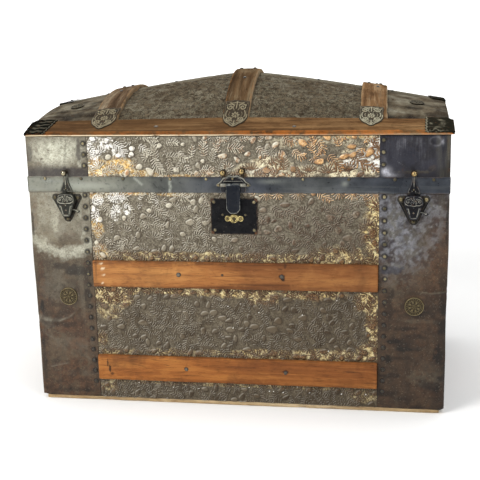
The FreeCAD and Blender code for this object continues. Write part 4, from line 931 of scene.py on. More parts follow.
def front_panel(name, body, x0, x1, z0, z1, seed, masks, node=None, res=0.95, back=False, places=()):
    F = Field((x1 - x0) * 1000, (z1 - z0) * 1000, res, seed).place(places, x0 * 1000, (z0 - SEAM) * 1000).fill()
    X, Z = np.meshgrid(F.x / 1000 + x0, F.z / 1000 + z0, indexing="ij")
    hgt = F.height()
    edge = np.minimum(np.minimum(X - x0, x1 - X), np.minimum(Z - z0 + 0.002, z1 - Z + 0.002))
    hgt = hgt * smooth(0.0, 0.002, edge)
    wav = (vnoise(X * 9, Z * 9, seed + 2, 2) - 0.5) * 0.0007
    P = np.stack([X, np.where(back, YB - 0.0004, TIN_Y) + (1 if back else -1) * (hgt + wav), Z], -1)
    Xm, Wm = X * 1000, (Z - SEAM) * 1000
    g, w, o, hu = masks(Xm, Wm)
    w = w * (1 - 0.72 * reddish(Xm, Wm) * smooth(4, -2, Wm))
    # figures of kind s are painted fully white: painted glints
    w = np.where(F.R < -0.1, 1.0, w)
    sh = vnoise(Xm / 34, Wm / 34, seed + 5, 4, 0.6) - 0.5
    age = np.clip(smooth(-30, -215, Wm + 60 * sh) * 0.82 + smooth(-100, 300, Xm + 120 * sh) * 0.30
                  + 0.25 * smooth(0.05, 0.25, sh), 0, 1)
    moat = F.M * (1 - smooth(0.05, 0.4, F.H))
    # slope of the relief towards the upper left, used to paint light and shade
    gx, gz = np.gradient(F.H * 2.0, res)
    sl = (0.6 * gx - 0.8 * gz) * (-1 if back else 1)
    sl = sl * smooth(0.0, 0.15, F.H + 0.08)
    return grid_mesh(name, P, M_tin, body, node, flip=back,
                     attrs={"h": F.H, "gilt": g, "white": w, "warm": o, "rnd": F.R, "age": age, "moat": moat,
                            "line": F.L, "hue": hu + 0 * X, "slope": sl,
                            "red": reddish(Xm, Wm) * (0 if back else 1)})


def mask_plain(X, Z):
    n = vnoise(X / 40, Z / 40, 23, 3)
    return smooth(0.62, 0.8, n) * 0.6, 0.2 + smooth(0.8, 0.95, n) * 0.3, smooth(0.85, 1.0, n) * 0.2, 0.4 + 0 * n


front_panel("front_tin_upper", "base", XL, XR, SLATS[0][1] - 0.004, SEAM - 0.00025, 101, mask_front, "front_tin", places=UPPER_PLACES)
front_panel("front_tin_middle", "base", XL, XR, SLATS[1][1] - 0.004, SLATS[0][0] + 0.004, 102, mask_front, "front_tin", places=MIDDLE_PLACES)
front_panel("front_tin_lower", "base", XL, XR, BOT - 0.003, SLATS[1][0] + 0.004, 103, mask_front, "front_tin", places=LOWER_PLACES)
front_panel("lid_front_tin_sheet", "lid", XL, XR, SEAM + 0.028, RIM - 0.0022, 104, mask_lid, "lid_front_tin", places=LID_PLACES)
front_panel("back_tin_upper", "base", XL, XR, SLATS[0][1] - 0.004, SEAM - 0.00025, 105, mask_plain, "back_tin", 1.8, True)
front_panel("back_tin_middle", "base", XL, XR, SLATS[1][1] - 0.004, SLATS[0][0] + 0.004, 106, mask_plain, "back_tin", 1.8, True)
front_panel("back_tin_lower", "base", XL, XR, BOT, SLATS[1][0] + 0.004, 107, mask_plain, "back_tin", 1.8, True)
front_panel("lid_back_tin_sheet", "lid", XL, XR, SEAM + 0.028, RIM - 0.0022, 108, mask_plain, "lid_back_tin", 1.8, True)


def dome_material():
    m = Mat("dome_tin")
    h, rnd = m.attr("h"), m.attr("rnd")
    n1 = m.noise(420, 3, 0.6)
    n2 = m.noise(16, 4, 0.6, 0.4)
    n3 = m.noise(110, 4, 0.65)
    g = m.mix(m.rng(n2, 0.36, 0.64), (0.062, 0.053, 0.035), (0.118, 0.103, 0.072))
    vn = m.math("SUBTRACT", m.noise(120, 2, 0.55, 0.6), 0.5)
    g = m.mix(m.math("MULTIPLY", m.math("MULTIPLY", m.rng(vn, -0.11, -0.045), m.rng(vn, 0.030, -0.030)), 0.75), g, (0.024, 0.016, 0.010))
    g = m.mix(m.math("MULTIPLY", m.math("MULTIPLY", m.rng(vn, -0.010, 0.045), m.rng(vn, 0.120, 0.060)), 0.36), g, (0.21, 0.19, 0.135))
    r = m.mix(m.rng(n3, 0.36, 0.62), (0.026, 0.019, 0.012), (0.098, 0.078, 0.051))
    c = m.mix(m.rng(h, 0.12, 0.5), g, r)
    c = m.mix(m.math("MULTIPLY", m.rng(n3, 0.60, 0.74), 0.5), c, (0.085, 0.040, 0.02))
    br = m.noise(9, 4, 0.6, 0.5)
    c = m.mix(m.math("MULTIPLY", m.rng(br, 0.50, 0.66), 0.30), c, (0.046, 0.031, 0.018))
    sx = m.noise(12.0, 4, 0.6, 0.0, m.map(scale=(0.5, 9, 9)))
    c = m.mix(m.math("MULTIPLY", m.rng(sx, 0.52, 0.75), 0.32), c, (0.20, 0.18, 0.14))
    m.set(Base_Color=c, Roughness=m.ramp(n3, (0.3, 0.5), (0.7, 0.8)), Metallic=0.0, Specular_IOR_Level=0.02)
    m.bump(m.mix(0.5, n1, n3), 0.35, 0.0004)
    return m


M_dome = dome_material()


def dome_panel(name, x0, x1, s0, s1, seed, res=1.3):
    # s runs across the dome; the field is laid out by arc length
    ss = np.linspace(s0, s1, 400)
    pz = surf(0.14, ss)
    arc = np.concatenate([[0], np.cumsum(np.hypot(np.diff(ss), np.diff(pz)))])
    F = Field((x1 - x0) * 1000, arc[-1] * 1000, res, seed).fill()
    X, A = np.meshgrid(F.x / 1000 + x0, F.z / 1000, indexing="ij")
    S = np.interp(A, arc, ss)
    wav = (vnoise(X * 11, A * 11, seed + 2, 2) - 0.5) * 0.0016
    P = dome(X, S, F.height() * 0.85 + wav)
    return grid_mesh(name, P, M_dome, "lid", "dome_tin", attrs={"h": F.H, "rnd": F.R})


k = 0
for a, b in ((BENT[0] + 0.018, BENT[1] - 0.018), (BENT[1] + 0.018, BENT[2] - 0.018)):
    for s0, s1 in ((0.043, 0.232), (0.268, 0.457)):
        dome_panel("dome_tin_sheet_%d" % k, a, b, s0, s1, 120 + k)
        k += 1


# ===========================================================================
# Plain sheets folded round the corners
# ===========================================================================
def bumps(X, Z, items):
    """Soft dents and bosses: (x, z, rx, rz, height mm), all in mm."""
    out = np.zeros_like(X)
    for x, z, rx, rz, h in items:
        out += h * np.exp(-(((X - x) / rx) ** 2 + ((Z - z) / rz) ** 2))
    return out


def seg_dist(X, Z, pts):
    d = np.full(X.shape, 1e9)
    for (x0, z0), (x1, z1) in zip(pts[:-1], pts[1:]):
        L2 = (x1 - x0) ** 2 + (z1 - z0) ** 2
        t = np.clip(((X - x0) * (x1 - x0) + (Z - z0) * (z1 - z0)) / L2, 0, 1)
        d = np.minimum(d, np.hypot(X - x0 - t * (x1 - x0), Z - z0 - t * (z1 - z0)))
    return d


def creases(X, Z, items):
    """Folded ridges: (points, half width, height)."""
    out = np.zeros_like(X)
    for pts, w, h in items:
        d = seg_dist(X, Z, pts)
        out += h * (np.exp(-(d / w) ** 2) - 0.45 * np.exp(-((d - 2.2 * w) / (1.2 * w)) ** 2))
    return out


def sheet_material(name, spec, tone=1.0):
    m = Mat(name)
    silver, rust, dark, blue, tan = (m.attr(k) for k in ("silver", "rust", "dark", "blue", "tan"))
    M2 = lambda a_, b_: m.math("MULTIPLY", a_, b_)
    T = lambda *q: tuple(v * tone for v in q)
    cl = m.noise(14, 5, 0.62, 0.3)
    fine = m.noise(95, 5, 0.7)
    grit = m.noise(420, 3, 0.65)
    st = m.noise(26, 5, 0.65, 0.0, m.map(scale=(1.0, 1.0, 0.12)))
    sc = m.noise(60, 3, 0.5, 0.2, m.map(scale=(0.06, 0.06, 2.2), rot=(0, 0.5, 0)))
    sc2 = m.noise(52, 3, 0.5, 0.2, m.map(scale=(2.0, 2.0, 0.07), rot=(0, -0.35, 0)))
    mot = m.noise(210, 4, 0.62)
    spk = m.noise(330, 3, 0.6)
    c = m.mix(m.rng(cl, 0.32, 0.66), T(0.058, 0.041, 0.025), T(0.112, 0.084, 0.052))
    c = m.mix(M2(m.rng(mot, 0.52, 0.68), 0.55), c, (0.028, 0.020, 0.013))
    c = m.mix(M2(m.rng(mot, 0.46, 0.30), 0.34), c, T(0.19, 0.160, 0.110))
    rs = m.mix(m.rng(fine, 0.35, 0.65), T(0.108, 0.056, 0.029), T(0.054, 0.031, 0.019))
    rs = m.mix(M2(m.rng(mot, 0.54, 0.68), 0.5), rs, (0.028, 0.019, 0.013))
    c = m.mix(rust, c, rs)
    # silver: silvery bare metal and painted sheen, reflections of the lamps and the pale floor painted into the colour
    sv = m.mix(m.rng(fine, 0.34, 0.66), (0.27, 0.262, 0.205), (0.47, 0.465, 0.375))
    sv = m.mix(M2(m.rng(cl, 0.48, 0.7), 0.5), sv, (0.17, 0.165, 0.120))
    sv = m.mix(M2(m.rng(mot, 0.54, 0.66), 0.45), sv, (0.12, 0.105, 0.072))
    sv = m.mix(M2(m.rng(spk, 0.55, 0.66), 0.45), sv, (0.14, 0.12, 0.080))
    sv = m.mix(M2(m.rng(spk, 0.44, 0.34), 0.35), sv, (0.62, 0.61, 0.50))
    c = m.mix(silver, c, sv)
    c = m.mix(blue, c, m.mix(m.rng(cl, 0.3, 0.7), (0.010, 0.012, 0.024), (0.044, 0.047, 0.066)))
    c = m.mix(M2(blue, M2(m.rng(spk, 0.56, 0.68), 0.45)), c, (0.085, 0.090, 0.105))
    # sheen: painted highlights, lilac and blue-white, with a few bright scratch lines
    painted_sheen = m.attr("sheen")
    c = m.mix(M2(painted_sheen, m.rng(mot, 0.30, 0.55, 0.55, 1.0)), c, m.mix(m.rng(fine, 0.34, 0.66), (0.30, 0.31, 0.36), (0.62, 0.63, 0.70)))
    c = m.mix(tan, c, m.mix(m.rng(fine, 0.3, 0.7), (0.22, 0.190, 0.125), (0.34, 0.31, 0.22)))
    c = m.mix(dark, c, (0.012, 0.010, 0.009))
    spots = M2(m.rng(m.noise(52, 3, 0.75), 0.62, 0.72), 0.75)
    c = m.mix(spots, c, (0.050, 0.026, 0.015))
    c = m.mix(M2(m.rng(st, 0.56, 0.76), 0.20), c, (0.22, 0.21, 0.16))
    c = m.mix(M2(m.rng(sc, 0.70, 0.78), 0.30), c, (0.27, 0.25, 0.20))
    c = m.mix(M2(m.rng(sc2, 0.71, 0.78), 0.30), c, (0.030, 0.022, 0.016))
    c = m.mix(M2(m.rng(grit, 0.58, 0.70), 0.50), c, (0.040, 0.028, 0.019))
    c = m.mix(M2(M2(m.rng(spk, 0.60, 0.70), 0.30), m.math("SUBTRACT", 1.0, blue)), c, (0.24, 0.21, 0.15))
    r = m.mix(m.rng(cl, 0.34, 0.66), 0.32, 0.48)
    r = m.mix(M2(rust, 0.6), r, 0.60)
    r = m.mix(M2(blue, 0.6), r, 0.26)
    m.set(Base_Color=c, Roughness=r, Metallic=M2(silver, 0.30), Specular_IOR_Level=spec)
    m.bump(m.mix(0.4, grit, fine), 0.25, 0.0005)
    return m


M_sheet = sheet_material("plain_tin_sheet", 0.20)
M_bay = sheet_material("plain_tin_dome", 0.0, 0.9)


TACK_AT = []
w_ = -6.0
while w_ + 462 > 22:
    dr = 3.0 * math.sin(math.pi * -w_ / 440.0)
    TACK_AT += [(XL * 1000 - 9 - dr, w_), (XR * 1000 + 10 + dr, w_)]
    w_ -= 24.2
TACK_AT += [(XL * 1000 - 7, w_) for w_ in (56, 79, 102)] + [(XR * 1000 + 7.5, w_) for w_ in (58.5, 83, 107)]


def tack_ring_and_edge_shade(U, Z):
    """Darker ring round each tack, and painted shade along the sheet's raw edge."""
    q = np.zeros_like(U)
    for x, z in TACK_AT:
        m_ = (np.abs(U - x) < 12) & (np.abs(Z - z) < 12)
        d = np.hypot(U - x, Z - z)
        q = np.where(m_, np.maximum(q, 0.85 * smooth(8.0, 4.6, d)), q)
    e = np.minimum(np.abs(U - XL * 1000), np.abs(U - XR * 1000))
    return np.maximum(q, 0.8 * smooth(2.4, 0.4, e + 1.5 * vnoise(U / 3, Z / 6, 208, 2)))


def wrap_path(side, x_in, r=0.003, df=0.0018, de=0.007):
    """Stations round one end, from the front's inner edge to the back's: x, y, nx, ny, u."""
    s = side
    pts = []
    for x in np.linspace(abs(x_in), W2 - r, int((W2 - r - abs(x_in)) / df) + 1):
        pts.append((s * x, YF, 0, -1))
    for a in np.linspace(0, math.pi / 2, 7)[1:-1]:
        pts.append((s * (W2 - r + r * math.sin(a)), YF + r - r * math.cos(a), s * math.sin(a), -math.cos(a)))
    for y in np.linspace(YF + r, YB - r, int((D - 2 * r) / de) + 1):
        pts.append((s * W2, y, s, 0))
    for a in np.linspace(0, math.pi / 2, 7)[1:-1]:
        pts.append((s * (W2 - r + r * math.cos(a)), YB - r + r * math.sin(a), s * math.cos(a), math.sin(a)))
    for x in np.linspace(W2 - r, abs(x_in), int((W2 - r - abs(x_in)) / de) + 1):
        pts.append((s * x, YB, 0, 1))
    p = np.array(pts)
    u = np.concatenate([[0], np.cumsum(np.hypot(np.diff(p[:, 0]), np.diff(p[:, 1])))])
    return p, u


SHEET_OFF = {}


def wrap_sheet(name, node, body, side, x_in, z0, z1, disp, paint, seed, dz=0.0022, trim=None):
    p, u = wrap_path(side, x_in)
    z = np.linspace(z0, z1, int((z1 - z0) / dz) + 1)
    n, m = len(p), len(z)
    X = np.repeat(p[:, 0:1], m, 1)
    Y = np.repeat(p[:, 1:2], m, 1)
    NX = np.repeat(p[:, 2:3], m, 1)
    NY = np.repeat(p[:, 3:4], m, 1)
    Z = np.repeat(z[None], n, 0)
    Wc = W2 - abs(x_in)
    # unrolled abscissa: on the front it's x itself, beyond the corner it runs on
    U = side * (abs(x_in) + np.repeat(u[:, None], m, 1)) * 1000
    Zm = (Z - SEAM) * 1000
    wav = (vnoise(U / 70 + 5, Zm / 70 + 9, seed, 2) - 0.5) * 2.0 + (vnoise(U / 24, Zm / 24, seed + 1, 2) - 0.5) * 0.55
    d = disp(U, Zm)
    d = np.clip(0.55 + wav * 0.75 + d, -0.75, 2.6) / 1000
    fade = smooth(0.0, 0.012, np.repeat(u[:, None], m, 1)) * smooth(0, 0.012, u[-1] - np.repeat(u[:, None], m, 1))
    d = d * (0.25 + 0.75 * fade)
    zz = Z.copy()
    if trim is not None:
        lo = trim(U)
        t = (Z - z0) / (z1 - z0)
        zz = z0 + lo / 1000 + t * (z1 - z0 - lo / 1000)
    P = np.stack([X + NX * d, Y + NY * d, zz], -1)
    # the raw edges turn back to the sheet's inner face
    inner = P.copy()
    th = 0.0011
    Pi = np.stack([P[:, :, 0] - NX * (th + d), P[:, :, 1] - NY * (th + d), P[:, :, 2]], -1)
    rowa, rowb = Pi[:1], Pi[-1:]
    P = np.concatenate([rowa, P, rowb], 0)
    Pi = np.concatenate([rowa, Pi, rowb], 0)
    P = np.concatenate([Pi[:, :1], P, Pi[:, -1:]], 1)
    A = paint(U, Zm)
    A.setdefault("sheen", 0.0 * U)
    Ap = {}
    for k_, v_ in A.items():
        v_ = np.broadcast_to(v_, U.shape)
        if k_ == "dark":
            v_ = np.maximum(v_, tack_ring_and_edge_shade(U, Zm))
        v_ = np.concatenate([v_[:1], v_, v_[-1:]], 0)
        Ap[k_] = np.concatenate([v_[:, :1], v_, v_[:, -1:]], 1)
    ob = grid_mesh(name, P, M_sheet, body, node, attrs=Ap, flip=(side < 0))
    SHEET_OFF[node] = (U, Zm, d)
    return ob


def off_at(node, x, w):
    """How far the sheet stands proud at x, w (mm), so that a tack sits on it."""
    U, Zm, d = SHEET_OFF[node]
    i = np.argmin(np.abs(U[:, 0] - x))
    j = np.argmin(np.abs(Zm[0] - w))
    return float(d[i, j])


nzz = lambda U, Z, s, seed, o=3: vnoise(U / s + 3, Z / s + 5, seed, o, 0.6)


def paint_left(U, Z):
    n1, n2, n3 = nzz(U, Z, 40, 201), nzz(U, Z, 14, 202), nzz(U, Z, 6, 206)
    # painted reflection: the broad bright band over the bulge, the crescent along the upper crease and the thin lines
    # along the other creases are painted highlights
    silver = smooth(-122, -98, Z + 26 * (n1 - 0.5)) * (0.34 + 0.22 * n1) * (1 - 0.35 * smooth(-20, -90, Z))
    band = seg_dist(U, Z, [(-428, -98), (-400, -122), (-368, -134), (-335, -128), (-308, -112)])
    silver = np.maximum(silver, 0.80 * smooth(19, 5, band + 18 * (n3 - 0.5) + 10 * (n2 - 0.5)))
    silver = np.maximum(silver, blotch(U, Z, [(-380, -48, 14, 40, 0.60), (-318, -104, 7, 30, 0.62), (-322, -30, 7, 26, 0.66),
                                              (-410, -30, 8, 24, 0.5)], 203, 12, 0.6))
    dim = blotch(U, Z, [(-345, -100, 36, 14, 0.8), (-338, -8, 14, 10, 1.0), (-425, -40, 10, 40, 0.6), (-400, -80, 20, 8, 0.5)], 204, 14, 0.6)
    silver = silver * (1 - 0.7 * dim)
    cr_ = seg_dist(U, Z, [(-429, -276), (-406, -282), (-384, -282), (-360, -272), (-340, -256)])
    silver = np.maximum(silver, (0.22 + 0.35 * n2) * np.exp(-(cr_ / (2.2 + 5.5 * smooth(-380, -428, U))) ** 2) * smooth(-335, -375, U + 30 * (n3 - 0.5)))
    silver = np.maximum(silver, 0.30 * np.exp(-((seg_dist(U, Z, [(-409, -387), (-372, -379)]) / 1.1) ** 2)))
    silver = np.maximum(silver, 0.15 * np.exp(-((seg_dist(U, Z, [(-420, -311), (-365, -340), (-311, -372)]) / 2.2) ** 2)))
    silver = np.maximum(silver, blotch(U, Z, [(-405, -210, 16, 30, 0.10), (-345, -400, 40, 8, 0.07)], 207, 10, 1.2))
    rust = smooth(-150, -330, Z + 90 * (n1 - 0.5)) * 0.9 + 0.35 * smooth(0.55, 0.72, n2)
    rust = rust * (0.55 + 0.75 * smooth(0.44, 0.60, nzz(U, Z, 24, 244)))
    rust = np.maximum(rust, blotch(U, Z, [(-422, -50, 8, 50, 0.8), (-400, -20, 10, 12, 0.5), (-375, -88, 40, 4, 0.5), (-418, -200, 8, 60, 0.7),
                                          (-380, -262, 16, 10, 0.6), (-340, -310, 12, 22, 0.7)], 209, 9, 0.9))
    lite = blotch(U, Z, [(-412, -292, 12, 22, 0.20), (-360, -330, 40, 14, 0.10), (-385, -200, 20, 40, 0.14), (-335, -345, 16, 20, 0.12)], 242, 9, 1.0)
    silver = np.maximum(silver, lite)
    # dark also holds painted shade: the curve under the bright band and the undersides below the creases
    dark = blotch(U, Z, [(-421, -250, 4.5, 15, 0.9), (-428, -70, 3, 30, 0.6), (-335, -168, 34, 12, 0.62), (-370, -160, 20, 8, 0.4),
                         (-318, -205, 8, 60, 0.35), (-360, -290, 30, 7, 0.35), (-424, -380, 6, 60, 0.4), (-350, -440, 40, 5, 0.4)], 205, 8, 0.5)
    dark = dark + 0.30 * smooth(0.52, 0.70, nzz(U, Z, 22, 243)) * smooth(-140, -230, Z)
    dark = np.clip(dark + 0.20 * smooth(-150, -230, Z + 60 * (n1 - 0.5)) + 0.13 * smooth(-120, -145, Z) * smooth(-215, -185, Z), 0, 0.92)
    return {"silver": np.clip(silver * (1 - dark), 0, 1), "rust": np.clip(rust, 0, 1), "dark": dark, "blue": 0.0 * U,
            "tan": blotch(U, Z, [(-400, -60, 30, 60, 0.18), (-350, -190, 30, 30, 0.14), (-390, -340, 30, 40, 0.10)], 218, 9, 1.1)}


def disp_left(U, Z):
    return (bumps(U, Z, [(-348, -60, 32, 60, 1.0), (-395, -190, 22, 50, 0.7), (-340, -300, 30, 34, 0.8),
                         (-375, -250, 20, 18, -0.9), (-400, -400, 24, 20, 0.9), (-340, -420, 22, 16, -0.6),
                         (-375, -130, 18, 12, -0.7), (-430, -150, 12, 60, 0.9), (-432, -330, 14, 40, -0.5),
                         (-520, -200, 60, 60, 1.2), (-620, -330, 60, 50, -1.0)])
            + creases(U, Z, [([(-427, -279), (-406, -283), (-384, -282), (-360, -272), (-340, -256)], 3.2, 1.3),
                             ([(-420, -311), (-365, -340), (-311, -372)], 4.5, 1.1),
                             ([(-409, -387), (-372, -379)], 2.6, 0.8), ([(-424, -100), (-400, -128)], 3.0, 0.8)]))


def paint_right(U, Z):
    n1, n2, n3 = nzz(U, Z, 42, 211), nzz(U, Z, 13, 212), nzz(U, Z, 6, 216)
    line = U + 0.42 * (Z + 60) * -1.0            # the slate patina ends along a slanting line
    blue = smooth(452, 372, line + 70 * (n1 - 0.5) + 24 * (n2 - 0.5)) * smooth(-215, -120, Z + 50 * (n1 - 0.5)) * (0.52 + 0.20 * smooth(0.4, 0.6, n2))
    pat = smooth(452, 372, line + 70 * (n1 - 0.5) + 24 * (n2 - 0.5)) * smooth(-225, -150, Z + 50 * (n1 - 0.5)) * smooth(0.40, 0.62, 0.5 * n2 + 0.5 * n3)
    blue = np.maximum(blue, smooth(-30, -8, Z + 10 * (n2 - 0.5)) * 0.5)
    blue = np.maximum(blue, blotch(U, Z, [(322, -156, 34, 12, 0.8)], 213, 14, 0.6))
    silver = blotch(U, Z, [(325, -55, 20, 44, 0.34), (352, -100, 24, 30, 0.30), (330, -150, 26, 10, 0.34),
                           (345, -36, 18, 8, 0.3), (392, -34, 14, 20, 0.28)], 214, 10, 0.9)
    silver = np.maximum(silver, 0.30 * pat)
    silver = np.maximum(silver, 0.75 * np.exp(-((seg_dist(U, Z, [(320, -73), (327, -86), (334, -104)]) / 1.1) ** 2)))
    # the tan line along the upper crease is a painted highlight on its ridge
    tan = 0.60 * np.exp(-((seg_dist(U, Z, [(376, -200), (402, -203), (429, -199)]) / 1.5) ** 2)) * smooth(0.3, 0.6, n3)
    tan = np.maximum(tan, blotch(U, Z, [(372, -262, 40, 5, 0.16), (330, -200, 16, 30, 0.10), (400, -370, 26, 30, 0.08)], 217, 8, 0.9))
    tan = np.maximum(tan, blotch(U, Z, [(395, -385, 34, 16, 0.20), (350, -322, 60, 3, 0.14), (330, -200, 24, 10, 0.12)], 219, 7, 1.2))
    rust = smooth(-60, -190, Z + 70 * (n1 - 0.5)) * 0.72 + 0.5 * smooth(0.50, 0.68, n2) * smooth(340, 420, U + 40 * (n1 - 0.5))
    dark = blotch(U, Z, [(330, -306, 16, 8, 0.55), (352, -322, 20, 6, 0.45), (420, -330, 10, 20, 0.45), (345, -280, 26, 6, 0.35),
                         (318, -345, 8, 10, 0.5), (380, -250, 34, 8, 0.30), (429, -60, 2.5, 40, 0.6), (318, -230, 10, 40, 0.35),
                         (400, -400, 30, 12, 0.3), (425, -200, 8, 60, 0.30), (365, -30, 10, 6, 0.6)], 215, 11, 0.9)
    rust = np.maximum(rust, 0.75 * smooth(388, 418, U + 16 * (n2 - 0.5) + 0.10 * (-Z)) * smooth(-10, -50, Z + 20 * (n3 - 0.5)))
    dark = dark + 0.22 * smooth(400, 426, U + 14 * (n2 - 0.5))
    dark = dark + 0.34 * smooth(0.52, 0.70, nzz(U / 2.2, Z, 20, 220)) * smooth(-120, -240, Z)
    dark = np.clip(dark + 0.34 * smooth(-150, -300, Z) + 0.24 * n3 * smooth(-100, -200, Z), 0, 0.92)
    # sheen: a lilac painted highlight over the slate patina
    return {"silver": silver, "rust": np.clip(rust, 0, 1), "dark": dark, "blue": np.clip(blue, 0, 1), "tan": tan,
            "sheen": np.clip(0.20 * pat * smooth(-170, -120, Z + 30 * (n2 - 0.5)) + 0.05 * smooth(0.5, 0.7, n3) * pat, 0, 1)}


def disp_right(U, Z):
    return (bumps(U, Z, [(345, -70, 26, 50, 0.9), (405, -160, 22, 50, 0.8), (340, -250, 26, 30, 0.6),
                         (400, -300, 24, 26, -0.8), (350, -400, 26, 26, 0.9), (410, -430, 20, 12, 1.3),
                         (432, -120, 12, 40, 1.0), (432, -240, 14, 30, -0.6), (432, -360, 12, 40, 0.9),
                         (310, -150, 14, 18, 1.0), (520, -200, 60, 60, 1.2), (640, -300, 60, 60, -1.0)])
            + creases(U, Z, [([(376, -200), (402, -203), (429, -199)], 3.2, 1.2),
                             ([(296, -140), (330, -158), (352, -168)], 4.0, 0.9),
                             ([(318, -330), (345, -352)], 3.5, 0.7)]))


def paint_lid_left(U, Z):
    n1, n2, n3 = nzz(U, Z, 30, 221), nzz(U, Z, 12, 222), nzz(U, Z, 5, 226)
    # a cushion of light in the upper middle, falling off to the rims
    d = np.hypot((U + 366) / 62, (Z - 86) / 34)
    silver = 0.98 * smooth(1.35, 0.15, d + 0.25 * (n1 - 0.5)) + 0.22
    silver = np.maximum(silver, blotch(U, Z, [(-318, 62, 5, 10, 0.8)], 227, 6, 0.5))
    dim = np.maximum(smooth(60, 40, Z + 8 * (n1 - 0.5)), blotch(
        U, Z, [(-348, 44, 44, 9, 1.0), (-318, 84, 6, 24, 0.7), (-425, 84, 6, 20, 0.5)], 223, 9, 0.5))
    silver = silver * (1 - 0.62 * dim)
    silver = silver * (1 - 0.6 * smooth(-436, -470, U))
    rust = blotch(U, Z, [(-408, 88, 5, 12, 0.55), (-388, 104, 5, 3, 0.6), (-406, 60, 6, 5, 0.5), (-318, 98, 4, 8, 0.4)], 224, 4, 1.0)
    return {"silver": np.clip(silver * (1 - 0.6 * rust), 0, 1), "rust": rust, "dark": 0.35 * dim * (0.4 + n3), "blue": 0.45 * dim, "tan": 0.0 * U}


def disp_lid_left(U, Z):
    return (bumps(U, Z, [(-330, 60, 16, 20, 0.6), (-375, 90, 22, 16, 0.7), (-410, 60, 14, 22, -0.6), (-520, 80, 60, 30, 0.9)])
            + creases(U, Z, [([(-352, 58), (-346, 108)], 2.2, 0.5)]))


def paint_lid_right(U, Z):
    n1, n2, n3 = nzz(U, Z, 26, 231), nzz(U, Z, 9, 232), nzz(U, Z, 4, 236)
    g = lambda cx, cz, rx, rz, a_: a_ * np.exp(-(((U - cx) / rx) ** 2 + ((Z - cz) / rz) ** 2))
    streak = vnoise(U / 1.5, Z / 26, 237, 3)             # fine upright scratches in the gloss
    # painted highlights: a soft glare at the lower left, streaky sheen along the top and a bright crescent on the
    # dent's ring
    glare_spots = g(309, 44, 10, 9, 0.85) + g(322, 37, 14, 4, 0.35) + g(305, 64, 5, 16, 0.18)
    glare_spots = glare_spots + (g(342, 101, 34, 11, 0.34) + g(330, 84, 20, 10, 0.12) + g(381, 78, 13, 20, 0.20) + g(362, 108, 24, 4, 0.22)) * (0.25 + 0.9 * smooth(0.42, 0.72, streak)) * 0.62
    ring = np.hypot((U - 403) / 1.25, Z - 104)
    glare_spots = glare_spots + 0.34 * np.exp(-(((ring - 9.0) / 1.7) ** 2)) * (0.35 + 0.65 * smooth(396, 410, U)) + g(417, 103, 2.2, 6.0, 0.45)
    sheen = np.clip(glare_spots * (0.72 + 0.56 * n3), 0, 0.95)
    for a_, b_ in (((336, 93), (350, 101)), ((331, 64), (343, 56))):
        sheen = np.maximum(sheen, 0.20 * np.exp(-((seg_dist(U, Z, [a_, b_]) / 0.7) ** 2)))
    tan = blotch(U, Z, [(428, 90, 3, 40, 0.30), (365, 44, 32, 3, 0.20)], 234, 9, 0.9)
    rust = 0.55 * smooth(422, 430, U + 6 * (n2 - 0.5)) * smooth(0.30, 0.55, n3) + blotch(U, Z, [(398, 52, 8, 6, 0.35), (362, 43, 30, 3, 0.4)], 238, 6, 0.8)
    dark = 0.40 + 0.30 * smooth(0.40, 0.68, n1) + 0.22 * smooth(398, 418, U) * smooth(95, 80, Z) + 0.25 * smooth(52, 34, Z + 8 * (n1 - 0.5)) * smooth(330, 350, U)
    return {"silver": 0 * U, "sheen": sheen, "rust": np.clip(rust, 0, 0.8), "dark": np.clip(dark * (1 - sheen), 0, 0.9),
            "blue": np.clip((0.97 - 0.6 * tan) * (1 - 0.75 * sheen) * (1 - rust), 0, 1), "tan": tan}


def disp_lid_right(U, Z):
    return (bumps(U, Z, [(404, 104, 8, 8, -1.2), (335, 70, 18, 20, 0.6), (372, 96, 18, 14, -0.5), (350, 52, 30, 8, 0.5),
                         (520, 80, 60, 30, 0.9)])
            + 0.9 * np.exp(-(((np.hypot(U - 404, Z - 104) - 11.0) / 3.0) ** 2)))


base_lo = BOT
trim_l = lambda U: 2.0 * smooth(-410, -431, U) * smooth(-452, -433, U) + 1.2 * (vnoise(U / 30, U * 0, 241, 2) - 0.5)
trim_r = lambda U: 3.0 * smooth(424, 432, U) * smooth(446, 434, U) + 1.2 * (vnoise(U / 30, U * 0 + 3, 242, 2) - 0.5)
wrap_sheet("left_corner_sheet", "left_end_sheet", "base", -1, XL, BOT - 0.003, SEAM - 0.00025, disp_left, paint_left, 251, trim=trim_l)
wrap_sheet("right_corner_sheet", "right_end_sheet", "base", 1, XR, BOT - 0.003, SEAM - 0.00025, disp_right, paint_right, 252, trim=trim_r)
wrap_sheet("lid_left_corner_sheet", "lid_left_end_sheet", "lid", -1, XL, SEAM + 0.020, RIM - 0.0022, disp_lid_left, paint_lid_left, 253)
wrap_sheet("lid_right_corner_sheet", "lid_right_end_sheet", "lid", 1, XR, SEAM + 0.020, RIM - 0.0022, disp_lid_right, paint_lid_right, 254)


def lid_arch(name, node, side, seed):
    """The upright arched part of the plain sheet at the end of the dome."""
    s = np.linspace(0.002, D - 0.002, 90)
    t = np.linspace(0, 1, 22)
    S, T = np.meshgrid(s, t, indexing="ij")
    top = RIM + surf(side * W2, S) - 0.0015
    z0 = RIM - 0.0045
    Z = z0 + (top - z0) * T
    wav = (vnoise(S * 12, Z * 12, seed, 2) - 0.5) * 0.0012 + 0.0004
    wav = wav * smooth(0, 0.01, np.minimum(S, D - S))
    P = np.stack([side * (W2 - 0.0002 + wav), YF + S, Z], -1)
    one = np.ones_like(S)
    n1 = vnoise(S * 20, Z * 20, seed + 1, 3)
    at = {"silver": 0.20 * n1, "rust": 0.4 * one, "dark": 0.2 * n1, "blue": (0.2 if side < 0 else 0.6) * one, "tan": 0 * one}
    return grid_mesh(name, P, M_bay, "lid", node, attrs=at, flip=(side < 0))


lid_arch("lid_left_arch_sheet", "lid_left_end_sheet", -1, 261)
lid_arch("lid_right_arch_sheet", "lid_right_end_sheet", 1, 262)


